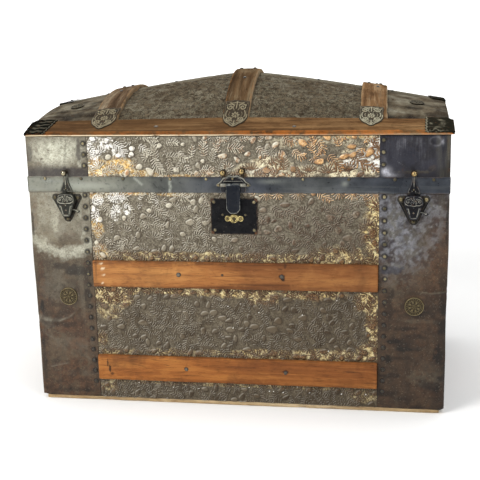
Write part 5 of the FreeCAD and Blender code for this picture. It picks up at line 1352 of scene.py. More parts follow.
def bay(name, side, seed):
    x_in = BENT[0] - 0.0002 if side < 0 else BENT[2] + 0.0002
    x = np.linspace(x_in, side * W2, 54)
    s = np.linspace(0.0, D, 190)
    X, S = np.meshgrid(x, s, indexing="ij")
    U, V_ = X * 1000, S * 1000
    d = (vnoise(U / 45, V_ / 45, seed, 2) - 0.5) * 1.8 + (vnoise(U / 16, V_ / 16, seed + 1, 2) - 0.5) * 0.8
    d = d + bumps(U * side, V_, [(330, 90, 30, 12, 0.9), (390, 150, 26, 20, -0.8), (345, 180, 20, 14, 0.8),
                                 (400, 90, 12, 12, 0.8), (350, 330, 30, 24, -0.8), (385, 410, 20, 20, 0.8)])
    d = np.clip(0.45 + d, -0.7, 1.8) / 1000
    d = d * smooth(0, 0.01, W2 - np.abs(X))
    P = dome(X, S, d)
    n1, n2 = vnoise(U / 30, V_ / 30, seed + 2, 3), vnoise(U / 9, V_ / 20, seed + 3, 3)
    n3 = vnoise(U / 60, V_ / 9, seed + 4, 3)
    silver = 0.05 + 0.16 * smooth(0.5, 0.8, n1) + 0.22 * smooth(0.58, 0.80, n3) + 0.10 * smooth(0.6, 0.8, n2)
    silver = silver + 0.16 * blotch(np.abs(U), V_, [(365, 150, 44, 26, 1.0), (345, 96, 40, 10, 0.6)], seed + 6, 14, 0.6)
    low = smooth(110, 60, V_ + 30 * (n1 - 0.5))
    dk = 0.22 + 0.34 * smooth(0.55, 0.35, n1) + 0.36 * low + 0.30 * blotch(np.abs(U), V_, [(350, 118, 70, 7, 1.0), (400, 190, 30, 10, 0.7)], seed + 7, 12, 0.8)
    at = {"silver": silver * (1 - 0.6 * low), "rust": 0.25 * smooth(0.4, 0.75, n1), "dark": np.clip(dk, 0, 0.9),
          "blue": 0 * U, "tan": 0.22 * smooth(0.40, 0.75, n2) + 0.10 * smooth(0.45, 0.7, n1)}
    return grid_mesh(name, P, M_bay, "lid", "dome_end_sheets", attrs=at, flip=(side < 0))


bay("dome_bay_left", -1, 271)
bay("dome_bay_right", 1, 275)

# ===========================================================================
# Wood: slats and boards swept along the length with eased, nibbled edges
# ===========================================================================
def slat_material(name, base, dark, light, axis="X", rough=0.40, coat=0.25, grime=(0.035, 0.018, 0.010), gs=1.0, edgecol=None, spec=0.15,
                  stains=(), shade=None, edge_amount=0.85):
    m = Mat(name)
    edge, rnd, pale = m.attr("edge"), m.attr("rnd"), m.attr("pale")
    sc = {"X": (0.8, 9.0, 9.0), "Y": (9.0, 0.8, 9.0), "YZ": (9.0, 0.8, 0.8)}[axis]
    off = m.n("ShaderNodeVectorMath", operation="ADD")
    m.put(off.inputs[0], m.map(scale=sc))
    cmb = m.n("ShaderNodeCombineXYZ")
    m.put(cmb.inputs[0], m.math("MULTIPLY", rnd, 17.0))
    m.put(cmb.inputs[2], m.math("MULTIPLY", rnd, 9.0))
    m.put(off.inputs[1], cmb.outputs[0])
    v = off.outputs[0]
    big = m.noise(2.4 * gs, 4, 0.6, 0.8, v)
    mid = m.noise(9.0 * gs, 5, 0.65, 0.4, v)
    fine = m.noise(34.0 * gs, 6, 0.7, 0.2, v)
    c = m.ramp(big, (0.28, dark), (0.50, base), (0.74, light))
    c = m.mix(m.math("MULTIPLY", m.rng(mid, 0.50, 0.72), 0.70), c, dark)
    c = m.mix(m.math("MULTIPLY", m.rng(mid, 0.44, 0.28), 0.50), c, light)
    patch = m.noise(19.0, 4, 0.65, 0.6)
    c = m.mix(m.math("MULTIPLY", m.rng(patch, 0.53, 0.68), 0.34), c, dark)
    c = m.mix(m.math("MULTIPLY", m.rng(patch, 0.46, 0.32), 0.30), c, light)
    c = m.mix(m.math("MULTIPLY", m.rng(fine, 0.52, 0.68), 0.68), c, tuple(q * 0.45 for q in dark))
    gr = m.noise(7.0, 5, 0.65, 0.5)
    c = m.mix(m.math("MULTIPLY", m.rng(gr, 0.50, 0.72), 0.50), c, grime)
    c = m.mix(m.math("MULTIPLY", m.math("MULTIPLY", edge, m.rng(m.noise(40, 4, 0.7), 0.36, 0.60)), edge_amount), c, edgecol or grime)
    if shade:
        o = m.xyz()
        x0, x1, amount, col = shade
        t = m.math("ADD", o[0], m.math("MULTIPLY", m.math("SUBTRACT", m.noise(9, 3, 0.6), 0.5), 0.16))
        c = m.mix(m.math("MULTIPLY", m.rng(t, x0, x1), amount), c, col)
    if stains:
        o = m.xyz()
        for x0, z0, rx, rz, amount in stains:
            dx, dz = m.math("DIVIDE", m.math("SUBTRACT", o[0], x0), rx), m.math("DIVIDE", m.math("SUBTRACT", o[2], z0), rz)
            d = m.math("SQRT", m.math("ADD", m.math("MULTIPLY", dx, dx), m.math("MULTIPLY", dz, dz)))
            d = m.math("ADD", d, m.math("MULTIPLY", m.math("SUBTRACT", m.noise(180, 4, 0.7), 0.5), 1.4))
            c = m.mix(m.math("MULTIPLY", m.rng(d, 1.15, 0.45), amount), c, (0.022, 0.012, 0.008))
    c = m.mix(m.math("MULTIPLY", pale, m.rng(m.noise(55, 4, 0.6), 0.22, 0.46)), c, (0.68, 0.56, 0.38))
    scr = m.noise(40, 3, 0.5, 0.2, m.map(scale=(0.05, 1.6, 1.6) if axis == "X" else (1.6, 0.05, 1.6), rot=(0.02, 0.04, 0.06)))
    c = m.mix(m.math("MULTIPLY", m.rng(scr, 0.70, 0.77), 0.45), c, tuple(min(1, q * 1.5) for q in light))
    m.set(Base_Color=c, Roughness=m.ramp(fine, (0.3, rough - 0.06), (0.75, rough + 0.25)))
    m.b.inputs["Coat Weight"].default_value = coat
    m.b.inputs["Coat Roughness"].default_value = 0.28
    m.b.inputs["Specular IOR Level"].default_value = spec
    m.bump(m.mix(0.55, fine, mid), 0.35, 0.0007)
    return m


M_wslat = slat_material("varnished_slat", (0.300, 0.116, 0.032), (0.115, 0.040, 0.012), (0.50, 0.235, 0.072), coat=0.06, gs=1.6, edge_amount=0.45,
                        shade=(-0.06, 0.06, 0.42, (0.115, 0.040, 0.014)), spec=0.12,
                        stains=((-0.1150, 0.2905, 0.0065, 0.0055, 0.8), (0.1010, 0.2905, 0.0070, 0.0060, 0.9), (0.1030, 0.2850, 0.0050, 0.0060, 0.95),
                                (0.1080, 0.3130, 0.0035, 0.0060, 0.55), (0.0980, 0.3060, 0.0060, 0.0020, 0.5), (-0.0230, 0.2910, 0.0040, 0.0035, 0.7),
                                (-0.2930, 0.3050, 0.0030, 0.0300, 0.35), (0.0500, 0.2720, 0.0900, 0.0030, 0.35)))
M_wslat2 = slat_material("varnished_slat_low", (0.285, 0.098, 0.022), (0.105, 0.034, 0.010), (0.46, 0.190, 0.045), coat=0.06, gs=1.7, edge_amount=0.40,
                         shade=(-0.05, 0.05, 0.30, (0.110, 0.036, 0.012)), spec=0.12,
                         stains=((-0.1060, 0.0830, 0.0060, 0.0050, 0.85), (0.1065, 0.0840, 0.0075, 0.0045, 0.85), (-0.2790, 0.0900, 0.0020, 0.0100, 0.8),
                                 (-0.2745, 0.0780, 0.0030, 0.0100, 0.9), (-0.2700, 0.0660, 0.0045, 0.0040, 0.7), (0.2400, 0.0890, 0.0160, 0.0030, 0.45),
                                 (0.0100, 0.0900, 0.0500, 0.0025, 0.3), (0.2850, 0.0650, 0.0200, 0.0030, 0.4)))
M_wgrey = slat_material("weathered_slat", (0.135, 0.082, 0.045), (0.050, 0.030, 0.018), (0.25, 0.165, 0.095), "Y", 0.55, 0.08)
M_wedge = slat_material("edge_slat", (0.108, 0.056, 0.024), (0.034, 0.019, 0.010), (0.225, 0.132, 0.060), "X", 0.6, 0.0,
                        gs=1.8, edgecol=(0.40, 0.125, 0.022), spec=0.0, shade=(0.10, -0.10, 0.42, (0.058, 0.034, 0.017)),
                        stains=((-0.34, 0.585, 0.09, 0.02, 0.30), (0.21, 0.590, 0.05, 0.02, 0.22)))
M_wpine = slat_material("raw_pine", (0.50, 0.36, 0.19), (0.28, 0.17, 0.08), (0.68, 0.54, 0.35), "X", 0.72, 0.0, (0.16, 0.10, 0.05))


def rounded(y0, y1, z0, z1, r, front=-1, n=4):
    """Section of a slat on a wall: from one foot, over the two eased arrises, to the other; (y, z, edge)."""
    # front is the sign of the outward direction along y; y1 is the outer face
    out = [(y0, z0, 0.6)]
    out += [(y0 + (y1 - y0) * t, z0, 0.7) for t in (0.35, 0.7)]
    f = 1 if y1 > y0 else -1
    for a in np.linspace(0, math.pi / 2, n):
        out.append((y1 - f * r + f * r * math.sin(a), z0 + r - r * math.cos(a), 1.0))
    for t in np.linspace(0, 1, 16)[1:-1]:
        z = z0 + r + (z1 - z0 - 2 * r) * t
        d = min(z - z0, z1 - z)
        out.append((y1, z, max(0.0, 1 - d / 0.006)))
    for a in np.linspace(0, math.pi / 2, n):
        out.append((y1 - f * r + f * r * math.cos(a), z1 - r + r * math.sin(a), 1.0))
    out += [(y0 + (y1 - y0) * t, z1, 0.7) for t in (0.7, 0.35)]
    out.append((y0, z1, 0.6))
    return np.array(out)


def straight_slat(name, x0, x1, y0, y1, z0, z1, mat, body, node, seed, r=0.0018, along="x", wear=1.0, pale=None):
    sec = rounded(y0, y1, z0, z1, r)
    n = max(6, int((x1 - x0) / 0.004))
    xs = np.linspace(x0, x1, n)
    m = len(sec)
    X = np.repeat(xs[:, None], m, 1)
    Y = np.repeat(sec[None, :, 0], n, 0)
    Z = np.repeat(sec[None, :, 1], n, 0)
    E = np.repeat(sec[None, :, 2], n, 0)
    f = 1 if y1 > y0 else -1
    ym, zm = (y0 + y1) / 2, (z0 + z1) / 2
    isout = (np.abs(Y - y1) < r * 1.01)
    nib = (vnoise(X * 60, Z * 90, seed, 3) ** 2.2) * 0.0016 * wear
    nib = np.where((E > 0.95) & isout, nib, 0)
    Y = Y - f * nib * 0.8
    Z = Z + np.where(Z > zm, -1, 1) * nib * 0.8
    dents = smooth(0.70, 0.86, vnoise(X * 55, Z * 55, seed + 3, 2)) * 0.0006 * wear
    grain = (vnoise(X * 6, Z * 420, seed + 4, 2) - 0.5) * 0.00022
    Y = np.where(isout, Y - f * (dents + grain), Y)
    bow = (vnoise(X * 3.0, X * 0, seed + 5, 2) - 0.5) * 0.0011
    Z = Z + np.where(np.abs(Z - z0) < 1e9, bow, 0)
    P = np.stack([X, Y, Z], -1)
    endr = 0.0012
    for i0, sg in ((0, 1), (-1, -1)):
        cap = P[i0:i0 + 1 or None].copy() if i0 == 0 else P[-1:].copy()
        inset = cap.copy()
        inset[..., 1] = np.where(np.abs(cap[..., 1] - y1) < r * 1.05, cap[..., 1] - f * endr, cap[..., 1])
        inset[..., 2] = zm + (cap[..., 2] - zm) * (1 - 2 * endr / (z1 - z0))
        inset[..., 0] = cap[..., 0]
        cap[..., 0] += sg * 0
        flat = inset.copy()
        flat[..., 1] = y0
        mid = inset.copy()
        if i0 == 0:
            P[0, :, 0] += endr
            P = np.concatenate([flat, mid, P], 0)
        else:
            P[-1, :, 0] -= endr
            P = np.concatenate([P, mid, flat], 0)
    E = np.concatenate([np.ones((2, m)), E, np.ones((2, m))], 0)
    R = np.full(E.shape, (seed * 0.137) % 1.0)
    pl = np.zeros(E.shape) if pale is None else pale(P[..., 0] * 1000, P[..., 2] * 1000)
    if along == "y":
        P = P[..., [1, 0, 2]]
    ob = grid_mesh(name, P, mat, body, node, attrs={"edge": E, "rnd": R, "pale": pl}, flip=(f > 0) != (along == "y"))
    return ob


def pale_1(X, Z):
    q = np.zeros_like(X)
    for x, z, a, b in ((-281, SEAM * 1000 - 150.5, 3.2, 1.8), (-278.5, SEAM * 1000 - 161.5, 3.6, 3.4), (-278, SEAM * 1000 - 175.5, 2.0, 1.6),
                       (-279, SEAM * 1000 - 192.5, 2.2, 2.0)):
        q = np.maximum(q, 0.95 * smooth(1.2, 0.7, np.hypot((X - x) / a, (Z - z) / b) + 0.5 * (vnoise(X / 3, Z / 3, 5, 2) - 0.5)))
    return q


straight_slat("upper_front_slat", XL + 0.0002, XR - 0.0002, YF + 0.0004, YF - 0.009, SLATS[0][0], SLATS[0][1], M_wslat, "base",
              "front_slats", 31, pale=pale_1)
straight_slat("lower_front_slat", XL + 0.0002, XR - 0.0002, YF + 0.0004, YF - 0.009, SLATS[1][0], SLATS[1][1], M_wslat2, "base",
              "front_slats", 32)
for i, (a, b) in enumerate(SLATS):
    straight_slat("rear_slat_%d" % i, XL, XR, YB - 0.0004, YB + 0.009, a, b, M_wslat, "base", "rear_and_end_slats", 33 + i)
    for sx, nm in ((-1, "left"), (1, "right")):
        straight_slat("%s_end_slat_%d" % (nm, i), YF + 0.134, YB - 0.134, sx * W2, sx * (W2 + 0.008), a, b, M_wslat, "base",
                      "rear_and_end_slats", 36 + i + (2 if sx > 0 else 0), along="y")


def pine_board(name, node):
    """Bottom board, with a chipped front edge."""
    x = np.linspace(-W2 + 0.009, W2 - 0.009, 200)
    prof = [(YF + 0.06, 0.0), (YF + 0.0035, 0.0), (YF + 0.0018, 0.0006), (YF + 0.0010, 0.0020), (YF + 0.0009, 0.006),
            (YF + 0.0010, 0.0100), (YF + 0.0019, 0.0114), (YF + 0.0035, 0.0119), (YF + 0.06, 0.0119)]
    back = [(2 * YM - y, z) for y, z in reversed(prof)]
    pr = np.array(prof + back)
    X = np.repeat(x[:, None], len(pr), 1)
    Y = np.repeat(pr[None, :, 0], len(x), 0)
    Z = np.repeat(pr[None, :, 1], len(x), 0)
    n = vnoise(X * 30, Z * 60 + (Y > 0) * 9, 51, 3)
    near = np.abs(np.abs(Y - YM) - D / 2) < 0.004
    chip = np.where(near, smooth(0.58, 0.85, n) * 0.0022, 0)
    Y = Y - np.sign(Y - YM) * chip
    P = np.stack([X, Y, Z], -1)
    lo, hi = P[:1].copy(), P[-1:].copy()
    lo[..., 1] = YM + (lo[..., 1] - YM) * 0.995
    c0, c1 = lo.copy(), hi.copy()
    c0[..., 1:] = (YM, 0.006)
    c1[..., 1:] = (YM, 0.006)
    P = np.concatenate([c0, P, c1], 0)
    E = np.zeros(P.shape[:2])
    E[:, :] = 0.25
    return grid_mesh(name, P, M_wpine, "base", node, attrs={"edge": E, "rnd": E * 0 + 0.3, "pale": E * 0}, flip=True)


ob = pine_board("base_bottom", "bottom_board")
n_ = len(ob.data.vertices)

# ===========================================================================
# Tacks and nails
# ===========================================================================
def tack_material(name, gold, dark, pit):
    m = Mat(name)
    top, rnd = m.attr("top"), m.attr("rnd")
    n = m.noise(500, 4, 0.65)
    t = m.math("ADD", top, m.math("MULTIPLY", m.math("SUBTRACT", n, 0.5), 0.9))
    tone = m.mix(m.rng(rnd, 0.2, 0.9), gold, tuple(q * 0.30 for q in gold))
    c = m.mix(m.rng(t, 0.42, 0.84), dark, tone)
    c = m.mix(m.math("MULTIPLY", m.rng(n, 0.60, 0.72), 0.6), c, pit)
    m.set(Base_Color=c, Metallic=m.math("MULTIPLY", m.rng(t, 0.42, 0.84), 0.8), Roughness=m.ramp(n, (0.3, 0.30), (0.75, 0.55)))
    m.bump(n, 0.35, 0.0004)
    return m


M_tack = tack_material("tack_heads", (0.285, 0.245, 0.142), (0.018, 0.014, 0.010), (0.05, 0.03, 0.02))
M_blued = tack_material("dark_nail_heads", (0.16, 0.14, 0.11), (0.012, 0.010, 0.009), (0.08, 0.035, 0.02))


def tack(geo, p, n, r, h, rng, seg=16, tilt=0.06, dull=0.0):
    n = np.array(n, float)
    n = n / np.linalg.norm(n) + rng.randn(3) * tilt
    h = h * (0.9 + 0.25 * rng.rand())
    r = r * (0.94 + 0.12 * rng.rand())
    prof = [(r * 0.96, -0.0008), (r * 1.02, 0.0001), (r * 1.0, h * 0.20), (r * 0.90, h * 0.48), (r * 0.72, h * 0.74),
            (r * 0.48, h * 0.92), (r * 0.24, h * 0.985), (0.0, h)]
    tops = [0.0, 0.0, 0.10, 0.35, 0.62, 0.85, 0.97]
    spun(geo, p, n, prof, seg, 0.035, rng, rnd=min(1.0, rng.rand() * (1 - dull) + dull), top=[v * (1 - 0.45 * dull) for v in tops * seg + [1.0]])


rg = np.random.RandomState(77)
gt, gd, gb = Geo(), Geo(), Geo()
lx, rx = XL - 0.009, XR + 0.010
w = -6.0
while w + 462 > 22:
    drift = 0.003 * math.sin(math.pi * -w / 440.0)
    for x, node in ((lx - drift, "left_end_sheet"), (rx + drift, "right_end_sheet")):
        z = SEAM + w / 1000
        jx, jz = rg.randn() * 0.0004, rg.randn() * 0.0005
        dull = float(0.85 * smooth(-150, -260, w) + (0.35 if x < 0 else 0.0) * smooth(-260, -150, w))
        tack(gt, (x + jx, YF - off_at(node, x * 1000, w) * 0.8, z + jz), (0, -1, 0), 0.0043 - 0.0006 * dull, 0.0024, rg, dull=dull)
        tack(gb, (x + jx, YB + 0.0003, z + jz), (0, 1, 0), 0.0036, 0.0020, rg, 10)
    w -= 24.2
for (a, b), xs, r_ in ((SLATS[0], (-0.115, 0.101), 0.0047), (SLATS[1], (-0.106, 0.1065), 0.0039)):
    zc = (a + b) / 2 + 0.0015
    for x in xs:
        tack(gd, (x, YF - 0.0088, zc), (0, -1, 0), r_, 0.0018, rg)
    for x in (-0.25, -0.1, 0.1, 0.25):
        tack(gd, (x, YB + 0.0088, zc), (0, 1, 0), 0.0032, 0.0016, rg, 12)
    for sx in (-1, 1):
        for y in (YF + 0.16, YB - 0.16):
            tack(gd, (sx * (W2 + 0.0078), y, zc), (sx, 0, 0), 0.0037, 0.0017, rg, 12)
tack(gd, (-0.023, YF - 0.0088, 0.291), (0, -1, 0), 0.0021, 0.0011, rg)
o1 = gt.build("base_front_tacks", M_tack, "base", "base_nails", "steel")
o2 = gb.build("base_back_tacks", M_tack, "base", "base_nails", "steel")
o3 = gd.build("slat_nails", M_blued, "base", "base_nails", "steel")

gl, gk = Geo(), Geo()
for x, ws, node in ((XL - 0.007, (56, 79, 102), "lid_left_end_sheet"), (XR + 0.0075, (58.5, 83, 107), "lid_right_end_sheet")):
    for w in ws:
        tack(gl, (x, YF - off_at(node, x * 1000, w) * 0.8, SEAM + w / 1000), (0, -1, 0), 0.0043, 0.0024, rg)
        tack(gl, (x, YB + 0.0003, SEAM + w / 1000), (0, 1, 0), 0.0036, 0.0020, rg, 10)
for x in (-394, -316, -226, -127, -52, 145, 236, 326, 401):
    tack(gl, (x / 1000, YF - BAND_T, SEAM + 0.0288), (0, -1, 0), 0.0037, 0.0021, rg)
for x in (-394, -316, -150, -60, 60, 150, 326, 401):
    tack(gk, (x / 1000, YB + BAND_T, SEAM + 0.024), (0, 1, 0), 0.0028, 0.0015, rg, 10)
for sx in (-1, 1):
    for y in (YF + 0.06, YF + 0.155, YM, YB - 0.155, YB - 0.06):
        tack(gk, (sx * (W2 + BAND_T), y, SEAM + 0.024), (sx, 0, 0), 0.0028, 0.0015, rg, 10)


def dome_normal(x, s):
    e = 0.0005
    gx = float((surf(x + e, s) - surf(x - e, s)) / (2 * e))
    gs = float((surf(x, s + e) - surf(x, s - e)) / (2 * e))
    return (-gx, -gs, 1.0)


def on_dome(geo, x, s, off, r, h, seg=14):
    tack(geo, dome(x, s, off), dome_normal(x, s), r, h, rg, seg)


for x, q in ((-0.156, 0.020), (0.127, 0.017)):
    for s in (q, D - q):
        on_dome(gk, x, s, 0.0079, 0.0042, 0.0013)
for cx in BENT:
    for u, s in (((0.0015, 0.186), (0.014, 0.236), (-0.014, 0.264), (0.010, 0.306)) if cx < -0.1 else
                 ((0.0035, 0.170), (-0.015, 0.244), (0.0145, 0.252), (-0.006, 0.312)) if cx < 0.1 else
                 ((0.0065, 0.206), (-0.013, 0.246), (0.012, 0.266), (0.004, 0.300))):
        on_dome(gk, cx + u, s, float(bent_top(s)) + 0.0001, 0.0037, 0.0023)
    sh = 0.005 if cx > 0.1 else 0.0
    for s in (0.078, D - 0.078):
        for u in (-0.019, 0.019):
            on_dome(gl, cx - sh + u, s, 0.0108, 0.0024, 0.0013)
for x in (-0.408, -0.320, -0.160, 0.160, 0.320, 0.408):
    on_dome(gk, x, D / 2 - 0.012, 0.0032 + (0.0018 if abs(x) > 0.4 else 0.0), 0.0033, 0.0017)
gl.build("lid_tacks", M_tack, "lid", "lid_nails", "steel")
gk.build("lid_dark_nails", M_blued, "lid", "lid_nails", "steel")

# ===========================================================================
# Black band round the lid
# ===========================================================================
def band_material():
    m = Mat("band_metal")
    smear_and_sheen, left = m.attr("smear_and_sheen"), m.attr("left")
    cl, fine, grit = m.noise(20, 5, 0.6, 0.4), m.noise(120, 4, 0.65), m.noise(500, 3, 0.6)
    st = m.noise(30, 4, 0.6, 0.0, m.map(scale=(0.15, 1, 2.4)))
    dk = m.mix(m.rng(cl, 0.32, 0.68), (0.018, 0.022, 0.030), (0.055, 0.062, 0.076))
    lf = m.mix(m.rng(cl, 0.32, 0.68), (0.085, 0.088, 0.068), (0.165, 0.165, 0.128))
    lf = m.mix(m.math("MULTIPLY", m.rng(fine, 0.50, 0.66), 0.5), lf, (0.045, 0.045, 0.034))
    c = m.mix(left, dk, lf)
    c = m.mix(m.math("MULTIPLY", m.rng(st, 0.54, 0.76), 0.30), c, (0.17, 0.18, 0.175))
    c = m.mix(smear_and_sheen, c, (0.42, 0.44, 0.38))
    c = m.mix(m.math("MULTIPLY", m.rng(fine, 0.60, 0.72), 0.6), c, (0.012, 0.012, 0.012))
    c = m.mix(m.math("MULTIPLY", m.attr("rim"), m.rng(m.noise(70, 4, 0.7), 0.40, 0.62)), c, (0.10, 0.055, 0.03))
    m.set(Base_Color=c, Metallic=0.35, Roughness=m.ramp(cl, (0.3, 0.24), (0.7, 0.42)))
    m.bump(m.mix(0.5, grit, fine), 0.15, 0.0004)
    return m


M_band = band_material()


def band():
    r = 0.0035
    pts = []
    hx, y0, y1 = W2 + BAND_T, YF - BAND_T, YB + BAND_T
    def line(a, b, n):
        for t in np.linspace(0, 1, n, endpoint=False):
            pts.append((a[0] + (b[0] - a[0]) * t, a[1] + (b[1] - a[1]) * t, a[2], a[3]))
    def arc(cx, cy_, a0):
        for t in np.linspace(0, 1, 6, endpoint=False):
            a = a0 + t * math.pi / 2
            pts.append((cx + r * math.cos(a), cy_ + r * math.sin(a), math.cos(a), math.sin(a)))
    line((-hx + r, y0, 0, -1), (hx - r, y0, 0, -1), 280)
    arc(hx - r, y0 + r, -math.pi / 2)
    line((hx, y0 + r, 1, 0), (hx, y1 - r, 1, 0), 90)
    arc(hx - r, y1 - r, 0)
    line((hx - r, y1, 0, 1), (-hx + r, y1, 0, 1), 160)
    arc(-hx + r, y1 - r, math.pi / 2)
    line((-hx, y1 - r, -1, 0), (-hx, y0 + r, -1, 0), 90)
    arc(-hx + r, y0 + r, math.pi)
    p = np.array(pts)
    zl, zh = SEAM + 0.00025, SEAM + BAND_H
    prof = [(-0.0014, 0.0), (-0.0004, 0.0), (0.0, 0.0004), (0.0001, 0.0012), (0.0002, 0.004)]
    prof += [(0.0002, z) for z in np.linspace(0.004, BAND_H - 0.004, 12)[1:-1]]
    prof += [(0.0002, BAND_H - 0.004), (0.0001, BAND_H - 0.0012), (-0.0001, BAND_H - 0.0004), (-0.0006, BAND_H), (-0.0014, BAND_H)]
    pr = np.array(prof)
    n, m = len(p), len(pr)
    X = p[:, 0:1] + p[:, 2:3] * pr[None, :, 0]
    Y = p[:, 1:2] + p[:, 3:4] * pr[None, :, 0]
    Z = np.repeat((zl + pr[:, 1])[None], n, 0)
    u = np.arange(n)[:, None] * 0.003
    wv = (vnoise(u * 14, Z * 14, 301, 2) - 0.5) * 0.0007 * smooth(-0.0012, 0.0, pr[None, :, 0])
    X, Y = X + p[:, 2:3] * wv, Y + p[:, 3:4] * wv
    Z = Z + (vnoise(u * 5, u * 0, 302, 2) - 0.5) * 0.0009 * smooth(0.01, BAND_H, pr[None, :, 1])
    P = np.stack([X, Y, Z], -1)
    Xm, Wm = X * 1000, (Z - SEAM) * 1000
    fr = (p[:, 3:4] < -0.5) * np.ones_like(X)
    # whitish smears, and at x 228 mm a painted sheen spot
    smear_and_sheen = fr * np.maximum.reduce([
        0.85 * np.exp(-((Xm + 127.5 + 1.2 * np.sin(Wm * 0.4)) / 2.6) ** 2) * (0.5 + 0.5 * vnoise(Xm / 3, Wm / 3, 303, 2)),
        0.55 * np.exp(-((seg_dist(Xm, Wm, [(-203, 31), (-187, 17)]) / 2.2) ** 2)),
        0.40 * np.exp(-(((Xm - 228) / 6) ** 2 + ((Wm - 20) / 5) ** 2)),
        0.30 * np.exp(-(((Xm + 300) / 60) ** 2 + ((Wm - 14) / 8) ** 2)),
        0.25 * np.exp(-(((Xm - 80) / 24) ** 2 + ((Wm - 24) / 5) ** 2))])
    left = fr * smooth(20, -330, Xm + 60 * (vnoise(Xm / 50, Wm / 20, 304, 2) - 0.5))
    left = np.maximum(left, fr * 0.25 * smooth(60, 130, Xm) * smooth(300, 160, Xm))
    rim = np.repeat((1 - smooth(0.0, 0.0018, np.minimum(pr[:, 1], BAND_H - pr[:, 1])))[None], n, 0) * 0.6
    return grid_mesh("lid_band_strip", P, M_band, "lid", "lid_band", close_u=True,
                     attrs={"smear_and_sheen": smear_and_sheen, "left": left, "rim": rim})


band()


# ===========================================================================
# Slats over the dome
# ===========================================================================
RIGHT_OVER = 0.0055              # the boards at the dome's edge stand out past the right end


def end_ease(x):
    """How much the boards and their corner metal round down at the ends."""
    x = np.asarray(x, float)
    d = np.where(x > 0, W2 + RIGHT_OVER - x, W2 + x)
    return 0.0042 * smooth(0.016, 0.0, d) ** 1.5


def edge_slat(name, node, back, seed):
    n = 260
    xs = np.linspace(-W2, W2 + RIGHT_OVER, n)
    ease = end_ease(xs)
    r = 0.0020
    prof = []                      # (s, off, edge, pale, upright)
    for o, pl in ((0.0001, 1.0), (0.0009, 1.0), (0.0017, 1.0), (0.0022, 0.2), (0.0034, 0.0), (0.0048, 0.0), (0.0060, 0.0)):
        prof.append((None, o, 1.0 if o < 0.0045 else 0.6, pl))
    for a in np.linspace(0.15, math.pi / 2, 5):
        prof.append((r * (1 - math.cos(a)), 0.0060 + r * math.sin(a), 0.75 - 0.15 * a, 0.0))
    for s in np.linspace(0.003, 0.0485, 22):
        prof.append((s, 0.0080, 0.0, 0.0))
    for a in np.linspace(0, math.pi / 2, 4)[1:]:
        prof.append((0.0490 + 0.0022 * math.sin(a), 0.0080 - 0.0022 * (1 - math.cos(a)), 0.2, 0.0))
    prof.append((0.0512, 0.003, 0.0, 0.0))
    prof.append((0.0512, 0.0002, 0.0, 0.0))
    m = len(prof)
    P = np.zeros((n, m, 3))
    E, PL = np.zeros((n, m)), np.zeros((n, m))
    a = (0.024 - 0.007 * fall(xs)) / FD
    L = np.sqrt(a * a + 1)
    for j, (s, o, e, pl) in enumerate(prof):
        o_ = np.full(n, o)
        if o >= 0.0060:
            o_ = o_ - smooth(0.60, 0.85, vnoise(xs * 40, np.full(n, j * 0.35), seed, 3)) * 0.0009
            o_ = o_ + (vnoise(xs * 7, np.full(n, j * 1.7), seed + 1, 2) - 0.5) * 0.0004
        o_ = o_ * (1 - ease / 0.0085)
        if s is None:
            nib = smooth(0.60, 0.85, vnoise(xs * 45, np.full(n, j * 0.5), seed + 2, 3)) * 0.0010
            sv = -0.0026 + a / L * o_ + nib
        elif s < 0.0025:
            sv = -0.0026 + a / L * o_ + s
        else:
            sv = np.full(n, s)
        y = YF + sv - a / L * o_
        z = RIM + a * sv + o_ / L
        P[:, j] = np.stack([xs, y, z], -1)
        E[:, j], PL[:, j] = e, pl * (1 - 0.72 * smooth(-0.06, 0.10, xs + 0.10 * (vnoise(xs * 12, xs * 0, seed + 8, 3) - 0.5)))
    if back:
        P[..., 1] = 2 * YM - P[..., 1]
    c0, c1 = P[:1].copy(), P[-1:].copy()
    mid = P[:, 0:1] * 0.5 + P[:, -1:] * 0.5
    c0[:], c1[:] = mid[0], mid[-1]
    P = np.concatenate([c0, P, c1], 0)
    E = np.concatenate([E[:1], E, E[-1:]], 0)
    PL = np.concatenate([PL[:1], PL, PL[-1:]], 0)
    return grid_mesh(name, P, M_wedge, "lid", node,
                     attrs={"edge": E, "rnd": E * 0 + 0.37, "pale": PL * 1.0}, flip=back)


edge_slat("front_dome_edge_slat", "front_edge_slat", False, 401)
edge_slat("back_dome_edge_slat", "back_edge_slat", True, 405)


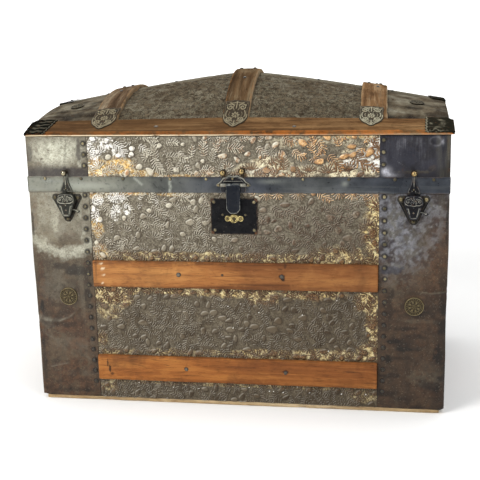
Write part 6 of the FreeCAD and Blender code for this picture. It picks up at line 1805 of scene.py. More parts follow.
def bent_slat(name, node, cx, seed, tone, pale=0.0):
    hw, T = 0.027, 0.0085
    ss = np.linspace(0.0535, D - 0.0535, 230)
    prof = [(-hw, 0.0002, 1.0), (-hw - 0.0001, 0.003, 1.0), (-hw, 0.0062, 1.0), (-hw + 0.0005, 0.0076, 1.0), (-hw + 0.0018, T - 0.0001, 0.9)]
    prof += [(u, T, max(0.0, 0.75 - (hw - abs(u)) / 0.006)) for u in np.linspace(-hw + 0.0035, hw - 0.0035, 22)]
    prof += [(-u, o, e) for u, o, e in reversed(prof[:5])]
    pr = np.array(prof)
    S, U = np.meshgrid(ss, pr[:, 0], indexing="ij")
    O = np.repeat(pr[None, :, 1], len(ss), 0)
    E = np.repeat(pr[None, :, 2], len(ss), 0)
    O = np.where(O > 0.001, O * bent_top(S) / 0.0085, O)
    top = smooth(0.004, 0.0075, O)
    O = O - top * (smooth(0.60, 0.84, vnoise(S * 30, U * 160, seed, 3)) * 0.0011
                   + (vnoise(S * 4, U * 420, seed + 1, 2)) * 0.00045)
    nib = smooth(0.62, 0.85, vnoise(S * 34, U * 3, seed + 2, 3)) * 0.0014
    U2 = U - np.sign(U) * nib * (E > 0.95)
    wob = (vnoise(S * 5, S * 0, seed + 3, 2) - 0.5) * 0.0016
    P = dome(cx + U2 + wob, S, O)
    lo0, lo1 = P[:1].copy(), P[-1:].copy()
    lo0[:] = dome(cx + U2[:1], S[:1], O[:1] * 0 + 0.0002)
    lo1[:] = dome(cx + U2[-1:], S[-1:], O[-1:] * 0 + 0.0002)
    P = np.concatenate([lo0, P, lo1], 0)
    q = lambda v: np.concatenate([v[:1], v, v[-1:]], 0)
    pl = q(pale * smooth(hw - (0.0046 if pale > 0.5 else 0.0016), hw - (0.0030 if pale > 0.5 else 0.0008), U)
           * smooth(0.10, 0.34, vnoise(S * 60, U * 50, seed + 5, 3)))
    return grid_mesh(name, P, M_wbent[tone], "lid", node,
                     attrs={"edge": q(E * 0.8), "rnd": q(E * 0 + (seed * 0.37) % 1), "pale": pl}, flip=True)


M_wbent = [
    slat_material("bent_slat_left", (0.104, 0.068, 0.041), (0.026, 0.016, 0.010), (0.25, 0.205, 0.140), "YZ", 0.6, 0.0,
                  edgecol=(0.24, 0.140, 0.064), spec=0.0, gs=1.3),
    slat_material("bent_slat_centre", (0.096, 0.058, 0.029), (0.028, 0.017, 0.010), (0.20, 0.155, 0.095), "YZ", 0.6, 0.0,
                  edgecol=(0.22, 0.115, 0.046), spec=0.0, gs=1.3),
    slat_material("bent_slat_right", (0.172, 0.096, 0.045), (0.046, 0.026, 0.014), (0.33, 0.245, 0.150), "YZ", 0.55, 0.0,
                  edgecol=(0.27, 0.18, 0.095), spec=0.0, gs=1.3)]
for i, (nm, cx) in enumerate(zip(("left", "centre", "right"), BENT)):
    bent_slat("bent_slat_%s_board" % nm, "dome_slat_%s" % nm, cx, 411 + 7 * i, i, (0.10, 0.20, 0.40)[i])


def crown_slat(name, a, b, seed):
    hw, T = 0.024, 0.003
    n = max(12, int(abs(b - a) / 0.005))
    xs = np.linspace(a, b, n)
    arch = lambda u: T * (1 - (abs(u) / hw) ** 2.4) ** 0.75
    prof = [(-hw, 0.0002, 1), (-hw + 0.0002, 0.0007, 1)]
    prof += [(u, arch(u), max(0.0, 0.7 - (hw - abs(u)) / 0.006)) for u in np.linspace(-hw + 0.0012, hw - 0.0012, 20)]
    prof += [(-u, o, e) for u, o, e in reversed(prof[:2])]
    pr = np.array(prof)
    X, S = np.meshgrid(xs, D / 2 + pr[:, 0], indexing="ij")
    O = np.repeat(pr[None, :, 1], n, 0)
    E = np.repeat(pr[None, :, 2], n, 0)
    O = O - smooth(0.001, 0.003, O) * smooth(0.55, 0.85, vnoise(X * 40, S * 90, seed, 3)) * 0.0007
    P = dome(X, S, O)
    lo0 = dome(X[:1], S[:1], O[:1] * 0 + 0.0002)
    lo1 = dome(X[-1:], S[-1:], O[-1:] * 0 + 0.0002)
    P = np.concatenate([lo0, P, lo1], 0)
    q = lambda v: np.concatenate([v[:1], v, v[-1:]], 0)
    return grid_mesh(name, P, M_wcrown, "lid", "crown_slats",
                     attrs={"edge": q(E * 0.4), "rnd": q(E * 0 + (seed * 0.37) % 1), "pale": q(E * 0)})


M_wcrown = slat_material("crown_slat", (0.105, 0.091, 0.064), (0.052, 0.044, 0.030), (0.175, 0.155, 0.112), "X", 0.70, 0.0, spec=0.03, edge_amount=0.25)
hb = 0.0275
for i, (a, b) in enumerate(((-W2, BENT[0] - hb), (BENT[0] + hb, BENT[1] - hb), (BENT[1] + hb, BENT[2] - hb), (BENT[2] + hb, W2))):
    crown_slat("crown_slat_%d" % i, a, b, 431 + i)


# ===========================================================================
# Stamped metal: clamps, corners, rosettes
# ===========================================================================
def stamped_material(name, hi, lo, mid, rough=0.40, metal=0.75, rust=(0.10, 0.045, 0.02), spec=0.12):
    m = Mat(name)
    h = m.attr("h")
    n, g = m.noise(150, 5, 0.65), m.noise(620, 3, 0.6)
    t = m.math("ADD", h, m.math("MULTIPLY", m.math("SUBTRACT", n, 0.5), 0.7))
    c = m.ramp(t, (0.18, lo), (0.48, mid), (0.82, hi))
    c = m.mix(m.math("MULTIPLY", m.rng(n, 0.56, 0.70), 0.5), c, rust)
    c = m.mix(m.math("MULTIPLY", m.rng(g, 0.58, 0.70), 0.5), c, lo)
    m.set(Base_Color=c, Metallic=m.math("MULTIPLY", m.rng(t, 0.35, 0.75), metal), Roughness=m.ramp(n, (0.3, rough - 0.1), (0.7, rough + 0.2)),
          Specular_IOR_Level=spec)
    m.bump(m.mix(0.5, g, n), 0.3, 0.0004)
    return m


M_clamp = stamped_material("clamp_metal", (0.205, 0.178, 0.115), (0.030, 0.022, 0.013), (0.070, 0.054, 0.033), 0.5, 0.35, spec=0.06)
M_clamp_r = stamped_material("clamp_metal_bright", (0.300, 0.280, 0.200), (0.034, 0.027, 0.017), (0.096, 0.082, 0.053), 0.48, 0.40, spec=0.06)
M_corner = stamped_material("corner_metal", (0.062, 0.057, 0.042), (0.005, 0.005, 0.004), (0.015, 0.014, 0.010), 0.6, 0.2, spec=0.0)
M_medal = stamped_material("medallion_metal", (0.190, 0.155, 0.082), (0.040, 0.030, 0.017), (0.100, 0.078, 0.043))
M_rosette = stamped_material("rosette_metal", (0.12, 0.105, 0.070), (0.012, 0.010, 0.007), (0.045, 0.038, 0.025), 0.5, 0.3)


def spiral(cx, cy_, r0, r1, a0, turns, n=26):
    t = np.linspace(0, 1, n)
    r, a = r0 + (r1 - r0) * t ** 0.8, a0 + turns * 2 * np.pi * t
    return list(zip(cx + r * np.cos(a), cy_ + r * np.sin(a)))


def mirror(pts):
    return [(-x, y) for x, y in pts]


def relief(U, V, strokes, petals=(), domes=()):
    """Height 0..1 of rounded strokes (points, half width, height), petals (x, y, n, r, len, width, height, rot), domes (x, y, r, height)."""
    h = np.zeros_like(U)
    for pts, w, a in strokes:
        d = seg_dist(U, V, pts)
        h = np.maximum(h, a * smooth(w * 1.25, w * 0.15, d))
    for x, y, n, r, ln, wd, a, rot in petals:
        for k_ in range(n):
            t = rot + 2 * math.pi * k_ / n
            cx, cy_ = x + r * math.cos(t), y + r * math.sin(t)
            p, q = (U - cx) * math.cos(t) + (V - cy_) * math.sin(t), -(U - cx) * math.sin(t) + (V - cy_) * math.cos(t)
            d = np.hypot(p / ln, q / wd)
            h = np.maximum(h, a * smooth(1.1, 0.35, d) * (1 - 0.25 * np.exp(-(q / (wd * 0.18)) ** 2)))
    for x, y, r, a in domes:
        h = np.maximum(h, a * smooth(1.1, 0.1, np.hypot(U - x, V - y) / r))
    return h


def outline_radius(pts, cx, cy_, th, soft=3):
    """Distance from (cx, cy) to a closed outline in each direction."""
    p = np.array(pts, float)
    q = np.concatenate([p, p[:1]])
    out = np.zeros(len(th))
    for i, t in enumerate(th):
        dx, dy = math.cos(t), math.sin(t)
        best = 0
        for (x0, y0), (x1, y1) in zip(q[:-1], q[1:]):
            ex, ey = x1 - x0, y1 - y0
            den = dx * ey - dy * ex
            if abs(den) < 1e-9:
                continue
            a = ((x0 - cx) * ey - (y0 - cy_) * ex) / den
            b = ((x0 - cx) * dy - (y0 - cy_) * dx) / den
            if a > 0 and -1e-6 <= b <= 1 + 1e-6:
                best = max(best, a)
        out[i] = best
    for _ in range(soft):
        out = (np.roll(out, 1) + out * 2 + np.roll(out, -1)) / 4
    return out


def plaque(pts, cx, cy_, nth=150, nr=40, soft=3):
    """Polar grid over an outline: U, V, t (0 middle, 1 rim)."""
    th = np.linspace(0, 2 * np.pi, nth, endpoint=False)
    R = outline_radius(pts, cx, cy_, th, soft)
    t = np.linspace(0.0, 1.0, nr)
    U = cx + np.cos(th)[:, None] * R[:, None] * t[None]
    V_ = cy_ + np.sin(th)[:, None] * R[:, None] * t[None]
    return U, V_, np.repeat(t[None], nth, 0), R


CLAMP = [(-26.5, 84), (-18, 83), (-9, 86), (0, 84), (9, 86), (18, 83), (26.5, 84), (26.5, 70), (25, 60), (26.5, 50), (25.5, 38),
         (21, 27), (15, 20), (10, 17), (6, 11), (0, 8), (-6, 11), (-10, 17), (-15, 20), (-21, 27), (-25.5, 38), (-26.5, 50),
         (-25, 60), (-26.5, 70)]
cu, cv, ct, cR = plaque(CLAMP, 0, 50)
inset = [((x - 0) * 0.90, 50 + (y - 50) * 0.93) for x, y in CLAMP]
flank = [p for p in inset if p[1] >= 50 and p[0] > 0]
st = [([p for p in inset if p[1] < 52], 1.7, 1.0), (flank, 1.3, 0.5), (mirror(flank), 1.3, 0.5)]
for f in (lambda p: p, mirror):
    st += [(f(spiral(13.0, 67, 8.6, 1.4, 2.6, -1.45)), 1.9, 0.95), (f(spiral(11.5, 36, 7.8, 1.4, -2.4, 1.45)), 1.9, 0.95),
           (f([(0, 14), (4, 20), (9, 24), (14, 27), (18, 32)]), 1.7, 0.9), (f([(0, 80), (5, 77), (10, 77), (15, 78)]), 1.5, 0.9),
           (f([(18, 43), (20, 48), (20, 54), (18, 59)]), 1.9, 0.85), (f([(4, 27), (7, 32), (6, 40)]), 1.4, 0.8),
           (f([(4, 60), (7, 66), (4, 74)]), 1.4, 0.8), (f([(12, 46), (14, 51), (12, 56)]), 1.2, 0.7)]
st += [([(0, 18), (0, 30)], 2.0, 0.85), ([(0, 64), (0, 78)], 2.0, 0.85)]
ch = relief(cu, cv, st, [(0, 48, 8, 6.0, 4.2, 2.7, 0.95, 0.2)], [(0, 48, 3.2, 1.0), (0, 24, 3.0, 1.0), (22, 77, 2.2, 0.8), (-22, 77, 2.2, 0.8)])
for i, cx in enumerate(BENT):
    for back in (False, True):
        geo = Geo()
        rr = np.random.RandomState(440 + i * 2 + back)
        off = (8.75 + 0.55 + ch * 1.65 + (vnoise(cu / 14 + i, cv / 14, 441 + i, 2) - 0.5) * 0.5) / 1000
        S = ((cv - 8) * (1.10, 1.04, 0.98)[i] + 8 + (1.5, 5.0, 9.0)[i]) / 1000
        S = D - S if back else S
        # the right one sits a little to the left on its slat
        xc, wd = cx - (0.005 if i == 2 else 0.0), (1.0, 1.0, 0.93)[i]
        P = dome(xc + wd * cu / 1000 * (1 + 0.004 * rr.randn()), S, off)
        side = dome(xc + wd * cu[:, -1:] / 1000, S[:, -1:], np.full((len(cu), 1), 0.0080))
        P = np.concatenate([P, side], 1)
        geo.grid(P, close_u=True, flip=not back, h=np.concatenate([ch, ch[:, -1:] * 0.3], 1).ravel())
        geo.build("slat_clamp_%s_%s" % (("left", "centre", "right")[i], "back" if back else "front"),
                  M_clamp_r if i == 2 else M_clamp, "lid", "slat_clamps", "steel")


def corner_clamp(name, sx, back, seed):
    """Pressed metal over the corner of the edge slat: a short turn-down in front, the top with a leafy inner
    edge and pressed veins, and a rounded end that turns down over the slat's end."""
    pr = [("k", z) for z in np.linspace(0.0030, 0.0062, 4)]
    pr += [("a", a) for a in np.linspace(0.1, math.pi / 2 - 0.1, 5)]
    pr += [("t", s) for s in np.linspace(0.0012, 0.0556, 44)]
    m, n = len(pr), 60
    P, H = np.zeros((n, m, 3)), np.zeros((n, m))
    TX = np.linspace(0, 1, n)
    vv = np.arange(m) / (m - 1)
    for j, (k_, q) in enumerate(pr):
        v = vv[j]
        saw = 2.6 * abs(((v * 5.5 + 0.2) % 1.0) - 0.5) * 2
        lobe = (46 + 11 * v if sx < 0 else 57 - 3 * v) - saw
        if k_ == "k":
            lobe -= 4
        # the outer end is rounded in plan
        xo = 0.0013 - 0.009 * max(0.0, 1 - v / 0.16) ** 2 * (1 if k_ == "t" else 0.4)
        over = RIGHT_OVER if sx > 0 else 0.0
        x = sx * (W2 + over + xo - (lobe / 1000 + xo) * TX)
        aa = (0.024 - 0.007 * fall(x)) / FD
        L = np.sqrt(aa * aa + 1)
        dist_in = (1 - TX) * lobe
        ang = (v - 0.5) * 2
        warp = (7.0 if sx > 0 else 2.6) * (vnoise(dist_in / 16, np.full(n, 3.0 + (2.5 * v if sx > 0 else 0)), seed + 4, 2) - 0.5) * 2
        vein = 0.75 * smooth(1.7, 0.3, np.abs(((ang * 9.5 + warp + 0.045 * dist_in * ang) % 4.6) - 2.3)) * smooth(2, 9, dist_in) * smooth(46, 26, dist_in)
        if sx > 0:      # the right one is knocked about: its veins come and go
            vein = vein * np.clip(0.15 + 1.5 * (vnoise(dist_in / 9, np.full(n, v * 4.0), seed + 9, 2) - 0.25), 0, 1)
        rel = np.maximum(vein, 0.9 * smooth(2.4, 0.8, np.abs(dist_in - 2.2)))
        fold = 1.6 * smooth(14, 0, np.abs(dist_in - 22 - 16 * v)) * math.sin(math.pi * min(1, v * 1.1))
        crump = (vnoise(dist_in / 7, np.full(n, v * 8.0), seed, 3) - 0.5) * 2.0
        droop = 5.5 * smooth(16, 0, TX * lobe) ** 1.6
        rel = np.maximum(rel, 0)
        if k_ == "k":
            y = np.full(n, YF - 0.0026 - 0.0010) - rel * 0.0003
            z = RIM + 0.0026 + (q - 0.0026) * (1 - end_ease(x) / 0.0075) + 0 * x
        elif k_ == "a":
            r = 0.0030
            s_ = -0.0034 + r * (1 - math.cos(q))
            o_ = 0.0062 + 0.0030 * math.sin(q)
            y = YF + s_ + 0 * x
            z = RIM + aa * s_ + o_ / L - end_ease(x) * 0.85
        else:
            off = 0.0091 + (0.8 * rel + fold * 0.5 + np.maximum(crump, -0.2)) / 1000
            rear = 1 - 0.09 * vnoise(x * 90, x * 0, seed + 6, 2) * smooth(0.6, 1.0, v)
            y = YF + q * rear - aa / L * off
            z = RIM + aa * q + off / L
            z = z - end_ease(x) * 0.95
        P[:, j] = np.stack([x, y, z], -1)
        H[:, j] = np.clip(rel + 0.3 * fold / 1.6 + (0.55 * np.maximum(crump, 0) if sx > 0 else 0), 0, 1)
    if back:
        P[..., 1] = 2 * YM - P[..., 1]
    geo = Geo()
    low = P.copy()[-1:]
    low[..., 2] -= 0.0013
    geo.grid(np.concatenate([P, low], 0), flip=(sx > 0) == back, h=np.concatenate([H, H[-1:] * 0.2], 0).ravel())
    # the end turns down over a rounded arris
    rows, hs = [], []
    for k2, t in enumerate(np.linspace(0, 1, 10)):
        q = P[0].copy()
        a_ = min(1.0, t / 0.35) * math.pi / 2
        base = np.maximum(q[:, 2] - 0.0150, RIM + 0.0022)
        rr = 0.0030
        dz = rr * (1 - math.cos(a_)) + np.maximum(0, t - 0.35) / 0.65 * np.maximum(0, q[:, 2] - base - rr)
        q[:, 0] = sx * np.minimum(sx * q[:, 0] + rr * math.sin(a_) * 0.0 + 0.0004, W2 + over + 0.0016)
        q[:, 2] = q[:, 2] - dz
        rows.append(q)
        hs.append(np.full(m, 0.25 + 0.5 * math.exp(-((t - 0.9) / 0.08) ** 2)))
    geo.grid(np.array(rows), flip=(sx > 0) != back, h=np.array(hs).ravel())
    return geo.build(name, M_corner_r if sx > 0 else M_corner, "lid", "corner_clamps", "black_iron")


M_corner_r = stamped_material("corner_metal_worn", (0.140, 0.130, 0.092), (0.014, 0.013, 0.009), (0.050, 0.045, 0.032), 0.6, 0.2, spec=0.0)
for sx, a in ((-1, "left"), (1, "right")):
    for back, b in ((False, "front"), (True, "back")):
        corner_clamp("corner_clamp_%s_%s" % (a, b), sx, back, 450)

for sx, a in ((-1, "left"), (1, "right")):
    geo = Geo()
    s = np.linspace(-27, 27, 40)
    dd = np.linspace(0, 1, 30)
    Sg, T = np.meshgrid(s, dd, indexing="ij")
    ln = 36 - 7 * (np.abs(Sg) / 27) ** 2 - 2.2 * np.abs(np.sin(np.pi * 3 * (Sg + 27) / 54))
    X = sx * (W2 + 0.0013 - (ln + 1.3) / 1000 * T)
    din = (1 - T) * ln
    hh = np.maximum(smooth(2.8, 0.8, np.abs(din - 2.4)), smooth(2.4, 0.8, np.abs(27 - np.abs(Sg) - 2)))
    hh = np.maximum(hh, relief(Sg, din - 14, [], [(0, 0, 6, 5, 4, 2.4, 0.9, 0.0)], [(0, 0, 3, 1.0)]))
    P = dome(X, D / 2 + Sg / 1000, 0.0038 + hh * 0.0009)
    geo.grid(P, flip=sx > 0, h=hh.ravel())
    zt = P[:, 0, 2]
    t = np.linspace(0, 1, 14)
    Sg2, T2 = np.meshgrid(s, t, indexing="ij")
    drop = 26 - 5 * (np.abs(Sg2) / 27) ** 2 - 1.6 * np.abs(np.sin(np.pi * 3 * (Sg2 + 27) / 54))
    zb = RIM + 0.0441 - drop / 1000
    Z = zt[:, None] + (zb - zt[:, None]) * T2
    hb_ = np.maximum(smooth(0.82, 0.95, T2), smooth(2.6, 0.8, np.abs(27 - np.abs(Sg2) - 2)) * 0.9)
    P = np.stack([sx * (W2 + 0.0012 + 0.0006 * hb_), P[:, 0:1, 1] + 0 * T2, Z], -1)
    geo.grid(P, flip=sx < 0, h=hb_.ravel())
    geo.build("crown_clamp_%s" % a, M_corner, "lid", "crown_clamps", "black_iron")


def medal(geo, p, n, R, H, seed, petals=8, beads=22):
    rr = np.random.RandomState(seed)
    th = np.linspace(0, 2 * np.pi, 132, endpoint=False)
    t = np.concatenate([np.linspace(0, 1, 44), [1.0]])
    U, V_ = np.cos(th)[:, None] * t[None] * R, np.sin(th)[:, None] * t[None] * R
    ring = lambda r, w, a: a * smooth(w, w * 0.15, np.abs(np.hypot(U, V_) - r))
    h = np.maximum.reduce([ring(R * 0.94, R * 0.085, 0.9), ring(R * 0.64, R * 0.05, 0.7), ring(R * 0.31, R * 0.04, 0.5)])
    h = np.maximum(h, relief(U, V_, [], [(0, 0, petals, R * 0.46, R * 0.18, R * 0.125, 0.85, 0.3),
                                         (0, 0, petals * 2, R * 0.55, R * 0.07, R * 0.05, 0.6, 0.1),
                                         (0, 0, beads, R * 0.79, R * 0.085, R * 0.070, 0.8, 0.0),
                                         (0, 0, 6, R * 0.17, R * 0.11, R * 0.07, 0.9, 0.1)], [(0, 0, R * 0.10, 1.0)]))
    z = H * (0.35 + 0.50 * h) * 1.0 + H * 0.15 * (1 - t[None] ** 2)
    z[:, -1] = 0.0 - 0.0004
    a, b, c = frame_of(np.array(n, float) + rr.randn(3) * 0.02)
    P = np.asarray(p)[None, None] + U[..., None] * a + V_[..., None] * b + z[..., None] * c
    geo.grid(P, close_u=True, flip=False, h=h.ravel())
    return geo


for i, (x, z) in enumerate(((-0.3595, SEAM - 0.226), (0.3685, SEAM - 0.231))):
    geo = Geo()
    node = ("left_end_sheet", "right_end_sheet")[i]
    medal(geo, (x, YF - off_at(node, x * 1000, (z - SEAM) * 1000) * 0.6, z), (0, -1, 0), 0.0195, 0.0042, 460 + i)
    geo.build("medallion_%s" % ("left", "right")[i], M_medal, "base", "medallions", "steel")
for i, (x, s) in enumerate(((-0.364, 0.147), (0.371, 0.156), (-0.364, D - 0.147), (0.371, D - 0.156))):
    geo = Geo()
    medal(geo, dome(x, s, 0.0009), dome_normal(x, s), 0.0150, 0.0034, 470 + i, 6, 18)
    geo.build("dome_rosette_%d" % i, M_rosette, "lid", "dome_rosettes", "steel")


# ===========================================================================
# Ironwork: lock, hasp, latches, hinges, handles
# ===========================================================================
M_hard = stamped_material("hardware_iron", (0.320, 0.310, 0.250), (0.022, 0.022, 0.018), (0.115, 0.115, 0.095), 0.44, 0.45)
M_hard_r = stamped_material("hardware_blued", (0.230, 0.225, 0.190), (0.008, 0.008, 0.010), (0.040, 0.042, 0.050), 0.40, 0.5)
M_dark = stamped_material("latch_plate_dark", (0.060, 0.056, 0.044), (0.010, 0.009, 0.008), (0.028, 0.026, 0.022), 0.5, 0.4)
M_rivet = tack_material("hardware_rivets", (0.27, 0.225, 0.125), (0.020, 0.015, 0.010), (0.10, 0.05, 0.02))


def plate_material():
    m = Mat("lock_plate_black")
    o = m.xyz()
    n, g = m.noise(160, 5, 0.65), m.noise(60, 4, 0.6)
    cx, cz = LOCK, SEAM - 0.011 - 0.037
    dx = m.math("ABSOLUTE", m.math("SUBTRACT", o[0], cx))
    dz = m.math("ABSOLUTE", m.math("SUBTRACT", o[2], cz))
    edge = m.math("MAXIMUM", m.math("DIVIDE", dx, 0.048), m.math("DIVIDE", dz, 0.037))
    corner = m.math("MULTIPLY", m.rng(dx, 0.034, 0.046), m.rng(dz, 0.022, 0.035))
    k_ = m.math("ADD", corner, m.math("MULTIPLY", m.math("SUBTRACT", n, 0.5), 1.0))
    c = m.mix(m.rng(g, 0.35, 0.7), (0.003, 0.003, 0.004), (0.009, 0.009, 0.010))
    c = m.mix(m.rng(k_, 0.62, 0.78), c, m.mix(m.rng(n, 0.4, 0.6), (0.12, 0.055, 0.028), (0.05, 0.03, 0.02)))
    rim = m.math("MULTIPLY", m.rng(edge, 0.955, 0.985), m.rng(n, 0.42, 0.60))
    c = m.mix(m.math("MULTIPLY", rim, 0.7), c, (0.09, 0.06, 0.04))
    sp = m.math("MULTIPLY", m.rng(m.noise(300, 3, 0.6), 0.64, 0.74), 0.6)
    c = m.mix(sp, c, (0.10, 0.085, 0.07))
    m.set(Base_Color=c, Roughness=m.ramp(n, (0.3, 0.20), (0.75, 0.45)), Specular_IOR_Level=0.10)
    m.bump(n, 0.25, 0.0004)
    return m


M_plate = plate_material()
nodes = frame["nodes"]


def skin(node, mat, w=0.0005, seg=2, angle=40):
    """A CAD part shown as it is, with eased arrises and its own finish."""
    ob = nodes[node]
    ob.data.materials.clear()
    ob.data.materials.append(mat.m)
    bevel(ob, w, seg, angle)
    return ob


def prism(geo, pts, y_back, y_front, c=0.0006, h=0.3, hc=1.0, back=True):
    """Closed (x, z) outline from y_back to y_front (front is -Y) with an eased front arris."""
    p = np.array(pts, float)
    if np.sum(p[:, 0] * np.roll(p[:, 1], -1) - np.roll(p[:, 0], -1) * p[:, 1]) < 0:
        p = p[::-1]
    n = len(p)
    e0, e1 = p - np.roll(p, 1, 0), np.roll(p, -1, 0) - p
    e0 /= np.linalg.norm(e0, axis=1)[:, None]
    e1 /= np.linalg.norm(e1, axis=1)[:, None]
    nr = np.stack([-(e0 + e1)[:, 1], (e0 + e1)[:, 0]], -1)
    nr /= np.linalg.norm(nr, axis=1)[:, None]
    cs = np.clip(np.sum(nr * np.stack([-e0[:, 1], e0[:, 0]], -1), 1), 0.4, 1)
    ins = lambda d: p + nr * (d / cs)[:, None]
    rings = [(ins(0), y_back), (ins(0), y_front + c), (ins(c * 0.35), y_front + c * 0.3), (ins(c), y_front)]
    v, f = [], []
    for q, y in rings:
        v += [(a, y, b) for a, b in q]
    for k_ in range(len(rings) - 1):
        for i in range(n):
            j = (i + 1) % n
            f.append((k_ * n + i, k_ * n + j, (k_ + 1) * n + j, (k_ + 1) * n + i))
    f.append(tuple(range(3 * n, 4 * n)))
    if back:
        f.append(tuple(reversed(range(0, n))))
    geo.add(v, f, h=[h] * n + [hc] * (2 * n) + [h] * n)
    return geo


def smooth_outline(pts, k_=3):
    """Corner-cut a closed outline into a rounded one."""
    p = np.array(pts, float)
    for _ in range(k_):
        q = np.roll(p, -1, 0)
        p = np.stack([p * 0.75 + q * 0.25, p * 0.25 + q * 0.75], 1).reshape(-1, 2)
    return [tuple(a) for a in p]


def tube(geo, pts, r, seg=10, up=(0, 0, 1), h=0.5, squash=1.0, ends=True):
    """Round bar along a path; r is one radius or one for each point."""
    P = np.array(pts, float)
    n = len(P)
    R = np.full(n, r) if np.isscalar(r) else np.array(r)
    T = np.gradient(P, axis=0)
    T /= np.linalg.norm(T, axis=1)[:, None]
    th = np.linspace(0, 2 * np.pi, seg, endpoint=False)
    rows = []
    for i in range(n):
        a = np.cross(np.array(up, float), T[i])
        if np.linalg.norm(a) < 1e-6:
            a = np.array([1.0, 0, 0])
        a /= np.linalg.norm(a)
        b = np.cross(T[i], a)
        rows.append(P[i] + R[i] * (np.cos(th)[:, None] * a + squash * np.sin(th)[:, None] * b))
    if ends:
        rows = [np.repeat(P[:1], seg, 0)] + rows + [np.repeat(P[-1:], seg, 0)]
    G = np.array(rows)
    if callable(h):
        h = h(G).ravel()
    geo.grid(G, close_v=True, h=h)
    return geo


def sphere_prof(R, c, neck=0.6, n=11):
    return [(R * math.sin(a), c - R * math.cos(a)) for a in np.linspace(neck, math.pi, n)][:-1] + [(0.0, c + R)]


# --- lock plate, case, bolt, spring
skin("lock_plate", M_plate, 0.0006)
skin("lock_case", M_iron, 0.0004)
skin("lock_bolt", M_steel, 0.0003)
skin("lock_spring", M_steel, 0.0001)

# --- keyhole escutcheon: three brass discs joined, the middle one with a bead round the keyhole
KZ = SEAM - 0.0525
esc = [(-19.6, 0), (-18.6, 3.6), (-15.6, 6.2), (-12.4, 6.0), (-9.6, 4.6), (-8.6, 6.4), (-5, 8.6), (0, 9.3), (5, 8.6), (8.6, 6.4),
       (9.6, 4.6), (12.4, 6.0), (15.6, 6.2), (18.6, 3.6), (19.6, 0), (18.6, -3.6), (15.6, -6.2), (12.4, -6.0), (9.6, -4.6),
       (8.6, -6.4), (5, -8.6), (0, -9.3), (-5, -8.6), (-8.6, -6.4), (-9.6, -4.6), (-12.4, -6.0), (-15.6, -6.2), (-18.6, -3.6)]
eu, ev, et, eR = plaque(esc, 0, 0, 140, 44, 2)
rr0 = np.hypot(eu, ev)
eh = np.maximum.reduce([smooth(1.1, 0.2, np.abs(rr0 - 7.6)), 0.8 * smooth(1.0, 0.2, np.abs(rr0 - 5.2)),
                        0.8 * smooth(1.0, 0.2, np.abs(np.hypot(np.abs(eu) - 13.6, ev) - 5.0)),
                        0.9 * smooth(3.4, 0.4, np.hypot(np.abs(eu) - 13.6, ev))])
hole = smooth(2.0, 1.2, rr0) + smooth(1.1, 0.7, np.abs(eu)) * smooth(4.4, 3.8, np.abs(ev + 2.2)) * smooth(0.2, -0.6, ev)
hole = np.clip(hole, 0, 1)
ez = 1.35 + 0.9 * eh - 2.2 * hole * (1 - 0)
ez = np.where(rr0 < 4.4, np.minimum(ez, 1.8 - 1.8 * hole), ez)
ez[:, -2:] = [[0.7, 0.0]]
geo = Geo()
P = np.stack([LOCK + eu / 1000, YF - 0.0024 - ez / 1000, KZ + ev / 1000], -1)
# the keyhole is a shallow recess painted dark: painted shade
geo.grid(P, close_u=True, flip=False, h=np.clip(0.25 + eh - hole, 0, 1).ravel())
M_brass2 = stamped_material("brass_escutcheon", (0.62, 0.52, 0.24), (0.040, 0.030, 0.012), (0.30, 0.225, 0.080), 0.28, 0.85, (0.16, 0.09, 0.03))
ob = geo.build("keyhole_escutcheon_disc", M_brass2, "base", "keyhole_escutcheon", "brass")

# --- hasp strap
hp = [(-14, 17.0), (14, 17.0), (14, -31.0), (12.6, -34.4), (6.4, -40.6), (-6.4, -40.6), (-12.6, -34.4), (-14, -31.0)]
hu, hv, ht, hR = plaque(hp, 0, -8, 168, 34, 1)
dist = np.full(hu.shape, 1e9)
q = hp + hp[:1]
dist = seg_dist(hu, hv, q)
# a painted highlight runs along the rim, brighter towards the bottom
hh = 0.85 * smooth(1.7, 0.9, dist) * (0.55 + 0.45 * smooth(-8, -34, hv)) * (0.5 + vnoise(hu / 3, hv / 3, 71, 2))
hh = np.maximum(hh, 0.30 * smooth(0.9, 0.3, np.abs(dist - 4.0)))
hz = 5.9 + 0.9 * smooth(3.2, 1.6, dist) - 0.9 * smooth(1.2, 0.0, dist) + 0.25 * smooth(0.8, 0.3, np.abs(dist - 4.0))
hz = hz - 1.0 * smooth(6, 15, hv)
geo = Geo()
P = np.stack([LOCK + hu / 1000, YF - 0.0040 - hz / 1000, SEAM + hv / 1000], -1)
sidep = P[:, -1:].copy()
sidep[..., 1] = YF - 0.0041
geo.grid(np.concatenate([P, sidep], 1), close_u=True, flip=False, h=np.concatenate([hh, hh[:, -1:] * 0.3], 1).ravel())
bk = P[:, ::-1].copy()
bk[..., 1] = YF - 0.0041
geo.grid(bk, close_u=True, flip=False, h=0.1)
AX = (YF - 0.0058, SEAM + 0.017)
for x0, x1 in ((LOCK - 0.0139, LOCK + 0.0139),):
    xs = np.array([x0, x0 + 0.0005, x1 - 0.0005, x1])
    rs = [0.0032, 0.0038, 0.0038, 0.0032]
    tube(geo, [(x, AX[0], AX[1]) for x in xs], rs, 24, h=0.55)
